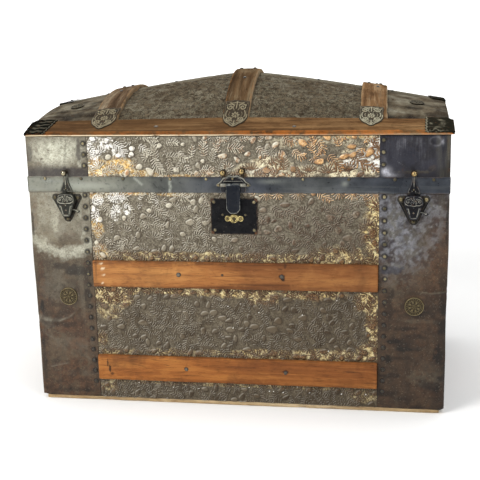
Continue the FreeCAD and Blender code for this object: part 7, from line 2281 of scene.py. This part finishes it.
# staple loop behind the hasp
lp = [(LOCK, YF - 0.0045, SEAM - 0.0315)]
lp += [(LOCK, YF + 0.0100 + 0.0012 * math.sin(a), SEAM - 0.0303 - 0.0012 * math.cos(a)) for a in np.linspace(0, math.pi / 2, 4)]
lp += [(LOCK, YF + 0.0100 + 0.0012 * math.cos(a), SEAM - 0.0232 + 0.0012 * math.sin(a)) for a in np.linspace(0, math.pi / 2, 4)]
lp += [(LOCK, YF - 0.0045, SEAM - 0.0220)]
tube(geo, lp, 0.0014, 8, up=(1, 0, 0), h=0.4, squash=1.4)
M_hasp = stamped_material("hasp_iron", (0.300, 0.300, 0.265), (0.009, 0.011, 0.016), (0.025, 0.030, 0.038), 0.30, 0.5, (0.03, 0.028, 0.026))
geo.build("hasp_strap", M_hasp, "hasp", "hasp", "black_iron")

# --- hasp mount
L0 = LOCK
geo = Geo()
MY = YF - BAND_T
mp = [(-35, 13.5), (-29, 13.0), (29, 13.0), (35, 13.5), (36, 17), (33, 20.5), (27, 24), (22, 31), (14, 34.5), (9, 37.5), (0, 35),
      (-9, 37.5), (-14, 34.5), (-22, 31), (-27, 24), (-33, 20.5), (-36, 17)]
mu, mv, mt_, mR = plaque(mp, 0, 22, 150, 30, 1)
md = seg_dist(mu, mv, mp + mp[:1])
mh = np.maximum(0.9 * smooth(2.2, 0.8, np.abs(md - 1.8)), relief(mu, mv, [
    ([(-24, 18), (-14, 30), (-6, 33)], 1.0, 0.7), ([(24, 18), (14, 30), (6, 33)], 1.0, 0.7), ([(-20, 24.5), (20, 24.5)], 1.2, 0.8)]))
mth = 1.5 + 0.9 * mh
room = smooth(15.2, 14.6, np.abs(mu)) * smooth(22.4, 21.8, mv)         # the hasp's knuckle turns here
mth, mh = mth * (1 - room) + 0.1 * room, mh * (1 - room)
P = np.stack([L0 + mu / 1000, MY - mth / 1000, SEAM + mv / 1000], -1)
sd = P[:, -1:].copy()
sd[..., 1] = MY
geo.grid(np.concatenate([P, sd], 1), close_u=True, flip=False, h=np.concatenate([mh, mh[:, -1:] * 0.3], 1).ravel())
for a, b in ((L0 - 0.026, L0 - 0.0146), (L0 + 0.0146, L0 + 0.026)):
    tube(geo, [(x, AX[0], AX[1]) for x in (a, a + 0.0005, b - 0.0005, b)], [0.0032, 0.0038, 0.0038, 0.0032], 22, h=0.8)
    prism(geo, smooth_outline([(a, SEAM + 0.0016), (b, SEAM + 0.0016), (b, AX[1] + 0.0010), (a, AX[1] + 0.0010)], 2), MY, AX[0] - 0.0006,
          0.0006, 0.25, 0.9)
geo.build("hasp_mount_plate", M_hard_r, "lid", "hasp_mount", "black_iron")
M_ball = stamped_material("ball_bumpers", (0.34, 0.25, 0.115), (0.020, 0.014, 0.008), (0.085, 0.058, 0.028), 0.22, 0.9, (0.22, 0.09, 0.03))
geo = Geo()
for dx, dz, seg, sq in ((-0.020, 0.043, 8, 1.0), (0.019, 0.046, 20, 1.0)):
    prof = [(0.0062, -0.0165), (0.0066, -0.0150), (0.0050, -0.0140), (0.0044, -0.0115)] + sphere_prof(0.0072, -0.0072 + 0.0, 0.75, 12)
    n_ = len(prof)
    # h rises towards the ball's front tip: painted highlight at the front, painted shade round the sides
    hts = [0.1, 0.2, 0.1, 0.05] + [min(1.0, max(0.03, (i - 5.5) / 4.0)) for i in range(n_ - 5)]
    spun(geo, (L0 + dx, YF - 0.0180, SEAM + dz), (0, -1, 0), prof, seg, 0.02, np.random.RandomState(5), h=hts * seg + [0.9], rot=0.39)
    prism(geo, [(L0 + dx - 0.0042, SEAM + 0.030), (L0 + dx + 0.0042, SEAM + 0.030), (L0 + dx + 0.0042, SEAM + dz), (L0 + dx - 0.0042, SEAM + dz)],
          MY, MY - 0.0018, 0.0005, 0.2, 0.6)
geo.build("hasp_mount_balls", M_ball, "lid", "hasp_mount", "black_iron")
skin("hasp_pin", M_steel, 0.0003)


# --- side latches
def latch(i):
    cx = LATCH[i]
    side = ("left", "right")[i]
    mat = (M_hard, M_hard_r)[i]
    rr = np.random.RandomState(500 + i)
    skin("latch_plate_%s" % side, mat, 0.0006, 2, 30)
    # back plate with its ears, a rolled rim
    out = [(-31.5, -10.5), (-30.5, -6.0), (-27, -3.4), (-22, -3.2), (-14, -3.6), (14, -3.6), (22, -3.2), (27, -3.4), (30.5, -6.0), (31.5, -10.5),
           (30, -15), (26.5, -18.5), (21, -28), (15.5, -41), (10.5, -52), (8.5, -58), (4.5, -62), (-3.5, -62), (-7.5, -58), (-9.5, -52),
           (-14.5, -41), (-20, -28), (-26, -18.5), (-30, -15)]
    u, v, t, R = plaque(out, 0, -24, 160, 26, 1)
    d = seg_dist(u, v, out + out[:1])
    h = 0.5 * smooth(2.2, 0.6, np.abs(d - 1.6))
    ring = smooth(2.0, 0.6, np.abs(np.hypot(np.abs(u) - 24.5, v + 10.5) - 6.0))
    h = np.maximum(h, 0.9 * ring)
    P = np.stack([cx + u / 1000, YF - (2.05 + 0.9 * h) / 1000, SEAM + v / 1000], -1)
    sd_ = P[:, -1:].copy()
    sd_[..., 1] = YF
    geo = Geo()
    geo.grid(np.concatenate([P, sd_], 1), close_u=True, flip=False, h=np.concatenate([h, h[:, -1:] * 0.2], 1).ravel())
    geo.build("latch_back_%s" % side, M_dark, "base", None, "black_iron")
    geo = Geo()
    # ornate face over the housing: scrolls above, tapered body with the keyhole slot below
    fo = [(-12.5, -1.9), (0, -1.6), (12.5, -1.9), (16.7, -5.5), (18.5, -10.5), (19.4, -15.5), (17.9, -20.8), (16.4, -25.0), (14.3, -31.0), (11.8, -38.5),
          (9.3, -46), (5.6, -50.2), (-5.6, -50.2), (-9.3, -46), (-11.8, -38.5), (-14.3, -31.0), (-16.4, -25.0), (-17.9, -20.8), (-19.4, -15.5),
          (-18.5, -10.5), (-16.7, -5.5)]
    u, v, t, R = plaque(fo, 0, -21, 176, 50, 1)
    d = seg_dist(u, v, fo + fo[:1])
    stk = []
    for f in (lambda p: p, mirror):
        stk += [(f(spiral(11.0, -12.5, 4.4, 0.9, 2.2, -1.3)), 1.0, 1.0), (f(spiral(5.2, -7.6, 3.0, 0.6, -1.0, 1.1)), 0.9, 0.8),
                (f([(0, -22.2), (5, -20.6), (11, -20.6), (16.5, -17.2)]), 1.3, 1.0), (f([(9, -4.2), (13, -5.0), (16.5, -8.5)]), 0.9, 0.7),
                (f([(10.5, -27), (8.6, -35), (6.4, -44)]), 1.5, 0.8), (f([(16.6, -11), (17.0, -15), (15.4, -19)]), 0.9, 0.8),
                (f([(4.6, -12.0), (6.0, -15.5), (4.0, -18)]), 0.9, 0.8), (f([(13.5, -23.5), (12.0, -29)]), 1.2, 0.7)]
    stk += [([(0, -4), (0, -8)], 1.0, 0.7), ([(-5.0, -46.4), (5.0, -46.4)], 1.3, 0.8)]
    h = relief(u, v, stk, [(0, -12.5, 6, 3.4, 2.4, 1.3, 0.9, 0.3)], [(0, -12.5, 1.7, 1.0), (0, -25.2, 2.2, 1.0)])
    h = np.maximum(h, 0.5 * smooth(1.5, 0.5, np.abs(d - 1.1)))
    slot_ = smooth(2.7, 1.7, np.hypot(u, (v + 31.0))) + smooth(1.9, 1.1, np.abs(u)) * smooth(6.2, 5.0, np.abs(v + 34))
    slot_ = np.clip(slot_, 0, 1)
    h = h * (1 - slot_)
    # the upper part swells, then steps back to the tapering foot
    swell = 1.9 * smooth(0.0, 8.0, d) * smooth(-24.5, -21.0, v) + 0.9 * smooth(0.0, 6.0, d)
    z = 12.4 + 1.25 * h + swell - 1.0 * smooth(1.2, 0.0, d)
    z = z - slot_ * (z - 11.6)
    wear = h * (0.55 + 0.75 * vnoise(u / 5, v / 5, 611 + i, 2))
    # painted shade: darker in the keyhole slot and along a line under the swell's step
    low = np.clip(wear - 0.6 * slot_ - 0.35 * smooth(3.0, 0.5, np.abs(v + 23.8)), 0, 1)
    P = np.stack([cx + u / 1000, YF - z / 1000, SEAM + v / 1000], -1)
    sd_ = P[:, -1:].copy()
    # the right flank is open for the thumb tab
    sd_[..., 1] = np.where((u[:, -1:] > 0) & (v[:, -1:] < -27.5) & (v[:, -1:] > -46), YF - 0.0096, YF - 0.0030)
    geo.grid(np.concatenate([P, sd_], 1), close_u=True, flip=False, h=np.concatenate([low, low[:, -1:] * 0.3], 1).ravel())
    geo.build("latch_plate_%s_relief" % side, mat, "base", None, "black_iron")
    # keeper: spindle with a waist, an arch and a ball, and the tongue behind
    ko = [(-12.0, 1.0), (12.0, 1.0), (12.4, 4.0), (11.0, 9.0), (8.2, 15.0), (5.8, 22.0), (4.4, 28.0), (4.6, 33.0), (5.6, 37.0), (5.0, 41.0),
          (0, 43), (-5.0, 41.0), (-5.6, 37.0), (-4.6, 33.0), (-4.4, 28.0), (-5.8, 22.0), (-8.2, 15.0), (-11.0, 9.0), (-12.4, 4.0)]
    u, v, t, R = plaque(ko, 0, 15, 150, 34, 1)
    d = seg_dist(u, v, ko + ko[:1])
    arch = [(3.6 * math.cos(a), 7.0 - 3.2 * math.sin(a)) for a in np.linspace(0, math.pi, 12)]
    h = relief(u, v, [(arch, 0.9, 0.9), ([(0, 16), (0, 24), (0, 38)], 1.5, 0.9), ([(-10.5, 2.6), (10.5, 2.6)], 1.1, 1.0)], [], [(0, 12.5, 1.5, 0.8)])
    h = np.maximum(h, 0.6 * smooth(1.7, 0.5, np.abs(d - 1.1)))
    z = 2.2 + 1.5 * smooth(0, 3.5, d) + 1.0 * h
    my = YF - BAND_T
    P = np.stack([cx + u / 1000, my - z / 1000, SEAM + v / 1000], -1)
    sd_ = P[:, -1:].copy()
    sd_[..., 1] = my
    geo = Geo()
    geo.grid(np.concatenate([P, sd_], 1), close_u=True, flip=False, h=np.concatenate([h, h[:, -1:] * 0.3], 1).ravel() * (0.6 + 0.5 * vnoise(np.concatenate([u, u[:, -1:]], 1) / 4, np.concatenate([v, v[:, -1:]], 1) / 4, 621 + i, 2)).ravel())
    prism(geo, [(cx + a / 1000, SEAM + b / 1000) for a, b in ((-7, 5), (-7, -18), (-5.6, -18), (2.2, -18), (2.2, -14.6), (-1.4, -14.6), (-1.4, -8.2),
                                                           (2.2, -8.2), (2.2, 5))], YF - 0.0058, YF - 0.0086, 0.0002, 0.1, 0.2)
    geo.build("latch_keeper_%s" % side, mat, "lid", "latch_keepers", "black_iron")
    geo = Geo()
    prof = [(0.0052, -0.0165), (0.0056, -0.0150), (0.0046, -0.0135), (0.0040, -0.0112)] + sphere_prof(0.0068, -0.0068, 0.75, 12)
    n_ = len(prof)
    # h rises towards the ball's front tip: painted highlight at the front, painted shade round the sides
    hts = [0.1, 0.2, 0.1, 0.05] + [min(1.0, max(0.03, (k_ - 5.5) / 4.0)) for k_ in range(n_ - 5)]
    spun(geo, (cx, YF - 0.0180, SEAM + 0.042), (0, -1, 0), prof, 20, 0.02, rr, h=hts * 20 + [0.9])
    geo.build("latch_keeper_ball_%s" % side, (M_ball_l, M_ball)[i], "lid", "latch_keepers", "black_iron")
    # lever: arm and hub inside, thumb tab curling out to the right
    geo = Geo()
    arm = [(-2.6, -36), (2.6, -38), (8.6, -26.0), (8.6, -9.4), (6.2, -9.4), (2.9, -10.6), (2.9, -13.4), (6.2, -14.0), (6.2, -24.0), (-0.5, -33.0)]
    prism(geo, [(cx + a / 1000, SEAM + b / 1000) for a, b in arm], YF - 0.0058, YF - 0.0086, 0.0002, 0.15, 0.3)
    pts = [(1, -36.2), (8, -36.0), (14, -36.0), (18, -37.0), (21, -39.0), (24, -40.2), (26.6, -39.4), (27.4, -37.0)]
    xs = np.array(pts)
    tt = np.linspace(0, 1, len(xs))
    ti = np.linspace(0, 1, 30)
    px_, pz_ = np.interp(ti, tt, xs[:, 0]), np.interp(ti, tt, xs[:, 1])
    for _ in range(3):
        px_[1:-1] = (px_[:-2] + 2 * px_[1:-1] + px_[2:]) / 4
        pz_[1:-1] = (pz_[:-2] + 2 * pz_[1:-1] + pz_[2:]) / 4
    rad = np.interp(ti, [0, 0.5, 0.8, 0.93, 1.0], [1.55, 1.5, 2.3, 2.4, 1.6]) / 1000
    # the tab's upper side is painted lighter than its underside: a painted highlight along its top
    tube(geo, [(cx + a / 1000, YF - 0.0072 - 0.0022 * max(0, b_ - 0.55) / 0.45, SEAM + b / 1000) for a, b, b_ in zip(px_, pz_, ti)], rad, 12,
         up=(0, 1, 0), squash=0.75, h=lambda G: np.clip(0.5 + (G[..., 2] - G[..., 2].mean(1, keepdims=True)) / 0.0026, 0, 1))
    tube(geo, [(cx, YF - 0.0086, SEAM - 0.036), (cx, YF - 0.0058, SEAM - 0.036)], [0.0039, 0.0039], 18, h=0.3)
    geo.build("latch_lever_%s_curl" % side, mat, "latch_%s" % side, "latch_lever_%s" % side, "steel")
    return cx


M_ball_l = stamped_material("ball_left", (0.34, 0.30, 0.20), (0.018, 0.015, 0.010), (0.085, 0.072, 0.048), 0.22, 0.9)
latch(0)
latch(1)
skin("latch_pins", M_steel, 0.0002)
skin("latch_springs", M_steel, 0.00005)

# --- rivets of the hardware
grv, glv = Geo(), Geo()
rg2 = np.random.RandomState(91)
for dx, dz in ((-41.5, -7.0), (41.5, -7.0), (-40.0, -65.5), (41.5, -65.5)):
    tack(grv, (LOCK + dx / 1000, YF - 0.0024, SEAM - 0.011 + dz / 1000), (0, -1, 0), 0.0038, 0.0020, rg2, 18)
for dx in (-23.6, 23.6):
    tack(grv, (LOCK + dx / 1000, YF - 0.0024, KZ + 0.0078), (0, -1, 0), 0.0028, 0.0018, rg2, 14)
for dx in (-13.6, 13.6):
    tack(grv, (LOCK + dx / 1000, YF - 0.0036, KZ), (0, -1, 0), 0.0022, 0.0016, rg2, 12)
for cx in LATCH:
    for u in (-0.0245, 0.0245):
        tack(grv, (cx + u, YF - 0.0026, SEAM - 0.0105), (0, -1, 0), 0.0052, 0.0042, rg2, 18)
    tack(grv, (cx + 0.0005, YF - 0.0026, SEAM - 0.0555), (0, -1, 0), 0.0046, 0.0036, rg2, 18)
HS = 0.088
for sx in (-1, 1):
    for side in (-1, 1):
        for dz in (-0.0172, 0.0172):
            tack(grv, (sx * (W2 + 0.0080), YM + side * (HS + 0.021), 0.388 + dz), (sx, 0, 0), 0.0023, 0.0013, rg2, 12)
for hx in (-0.240, 0.240):
    for u in (-0.020, 0, 0.020):
        for dz in (-0.020, -0.044):
            tack(grv, (hx + u, YB + 0.0022, SEAM + dz), (0, 1, 0), 0.0033, 0.0017, rg2, 12)
        for dz in (0.022, 0.050):
            tack(glv, (hx + u, YB + BAND_T + 0.0022, SEAM + dz), (0, 1, 0), 0.0033, 0.0017, rg2, 12)
for dx, dz in ((-30.6, 16.4), (30.6, 16.4), (-1.0, 30.0)):
    tack(glv, (LOCK + dx / 1000, MY - 0.0022, SEAM + dz / 1000), (0, -1, 0), 0.0031, 0.0019, rg2, 14)
for cx in LATCH:
    tack(glv, (cx, MY - 0.0036, SEAM + 0.0092), (0, -1, 0), 0.0017, 0.0012, rg2, 12)
grv.build("hardware_rivets_base", M_rivet, "base", "base_rivets", "steel")
glv.build("hardware_rivets_lid", M_rivet, "lid", "lid_rivets", "steel")

# --- hinges
for nd in ("hinge_base_leaves", "hinge_lid_leaves"):
    skin(nd, M_hard_r, 0.0006, 2, 35)
skin("hinge_pins", M_steel, 0.0003)
skin("handle_caps", M_corner, 0.0012, 3, 30)


# --- leather handles: padded strap with stitching and a rubbed edge
def leather_material():
    m = Mat("old_leather")
    e, st_ = m.attr("edge"), m.attr("stitch")
    n, g = m.noise(60, 5, 0.65, 0.4), m.noise(320, 4, 0.6)
    v = m.vor(420, "DISTANCE_TO_EDGE")
    c = m.mix(m.rng(n, 0.35, 0.66), (0.030, 0.016, 0.010), (0.085, 0.043, 0.024))
    c = m.mix(m.math("MULTIPLY", m.rng(v, 0.06, 0.0), 0.5), c, (0.012, 0.008, 0.006))
    c = m.mix(m.math("MULTIPLY", e, m.rng(g, 0.4, 0.6)), c, (0.16, 0.095, 0.055))
    c = m.mix(st_, c, (0.30, 0.24, 0.15))
    m.set(Base_Color=c, Roughness=m.ramp(n, (0.3, 0.45), (0.7, 0.68)), Specular_IOR_Level=0.3)
    m.bump(m.mix(0.5, v, g), 0.5, 0.0004)
    return m


M_hide = leather_material()
for sx, nm in ((-1, "left"), (1, "right")):
    tail = 0.034
    ys = np.linspace(-HS - tail, HS + tail, 150)
    ab = np.abs(ys)
    bow = np.where(ab < HS, 0.011 * 0.5 * (1 + np.cos(np.pi * np.clip(ab / HS, 0, 1))), 0.0)
    pad = smooth(HS * 0.95, HS * 0.55, ab)
    hw_ = 0.0139 - 0.0012 * pad
    th_ = np.linspace(0, 2 * np.pi, 44, endpoint=False)
    n, m = len(ys), len(th_)
    c_, s_ = np.cos(th_), np.sin(th_)
    sq = lambda q: np.sign(q) * np.abs(q) ** 0.42
    X = W2 + 0.0003 + bow[:, None] + 0.0025 + sq(s_)[None] * (0.0024 + 0.0008 * pad[:, None] * (np.abs(sq(c_))[None] < 0.7))
    Z = 0.388 + sq(c_)[None] * hw_[:, None]
    Y = np.repeat((YM + ys)[:, None], m, 1)
    X = X + (vnoise(Y * 60, Z * 60, 521, 2) - 0.5) * 0.0005
    Pm = np.stack([sx * np.broadcast_to(X, Y.shape), Y, Z], -1)
    capa, capb = Pm[:1].copy(), Pm[-1:].copy()
    capa[:] = Pm[0].mean(0)
    capb[:] = Pm[-1].mean(0)
    Pm = np.concatenate([capa, Pm, capb], 0)
    ed = smooth(0.75, 0.98, np.abs(sq(c_)))[None] * np.ones((n + 2, 1))
    geo = Geo()
    geo.grid(Pm, close_v=True, flip=(sx < 0), edge=ed.ravel(), stitch=0.0)
    # two rows of stitches on the outer face
    for zo in (-1, 1):
        for y in np.arange(-HS + 0.006, HS - 0.004, 0.0062):
            b = 0.011 * 0.5 * (1 + math.cos(math.pi * abs(y) / HS))
            xo = W2 + 0.0003 + b + 0.0049 + 0.00018
            z0_ = 0.388 + zo * 0.0098
            tt_ = np.linspace(-1, 1, 5)
            pts = [(sx * (xo - 0.0007 * q * q), YM + y + 0.0019 * q, z0_) for q in tt_]
            g2 = Geo()
            tube(g2, pts, [0.0003, 0.0006, 0.0007, 0.0006, 0.0003], 6, h=0.0)
            geo.add(g2.v, [tuple(reversed(f_)) if False else f_ for f_ in g2.f], edge=0.0, stitch=1.0)
    geo.build("leather_handle_%s" % nm, M_hide, "base", "handle_%s" % nm, "leather")


# @@END@@

{"cad": [list(map(float, q)) for q in BOX0], "visual": [list(map(float, q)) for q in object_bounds()]}
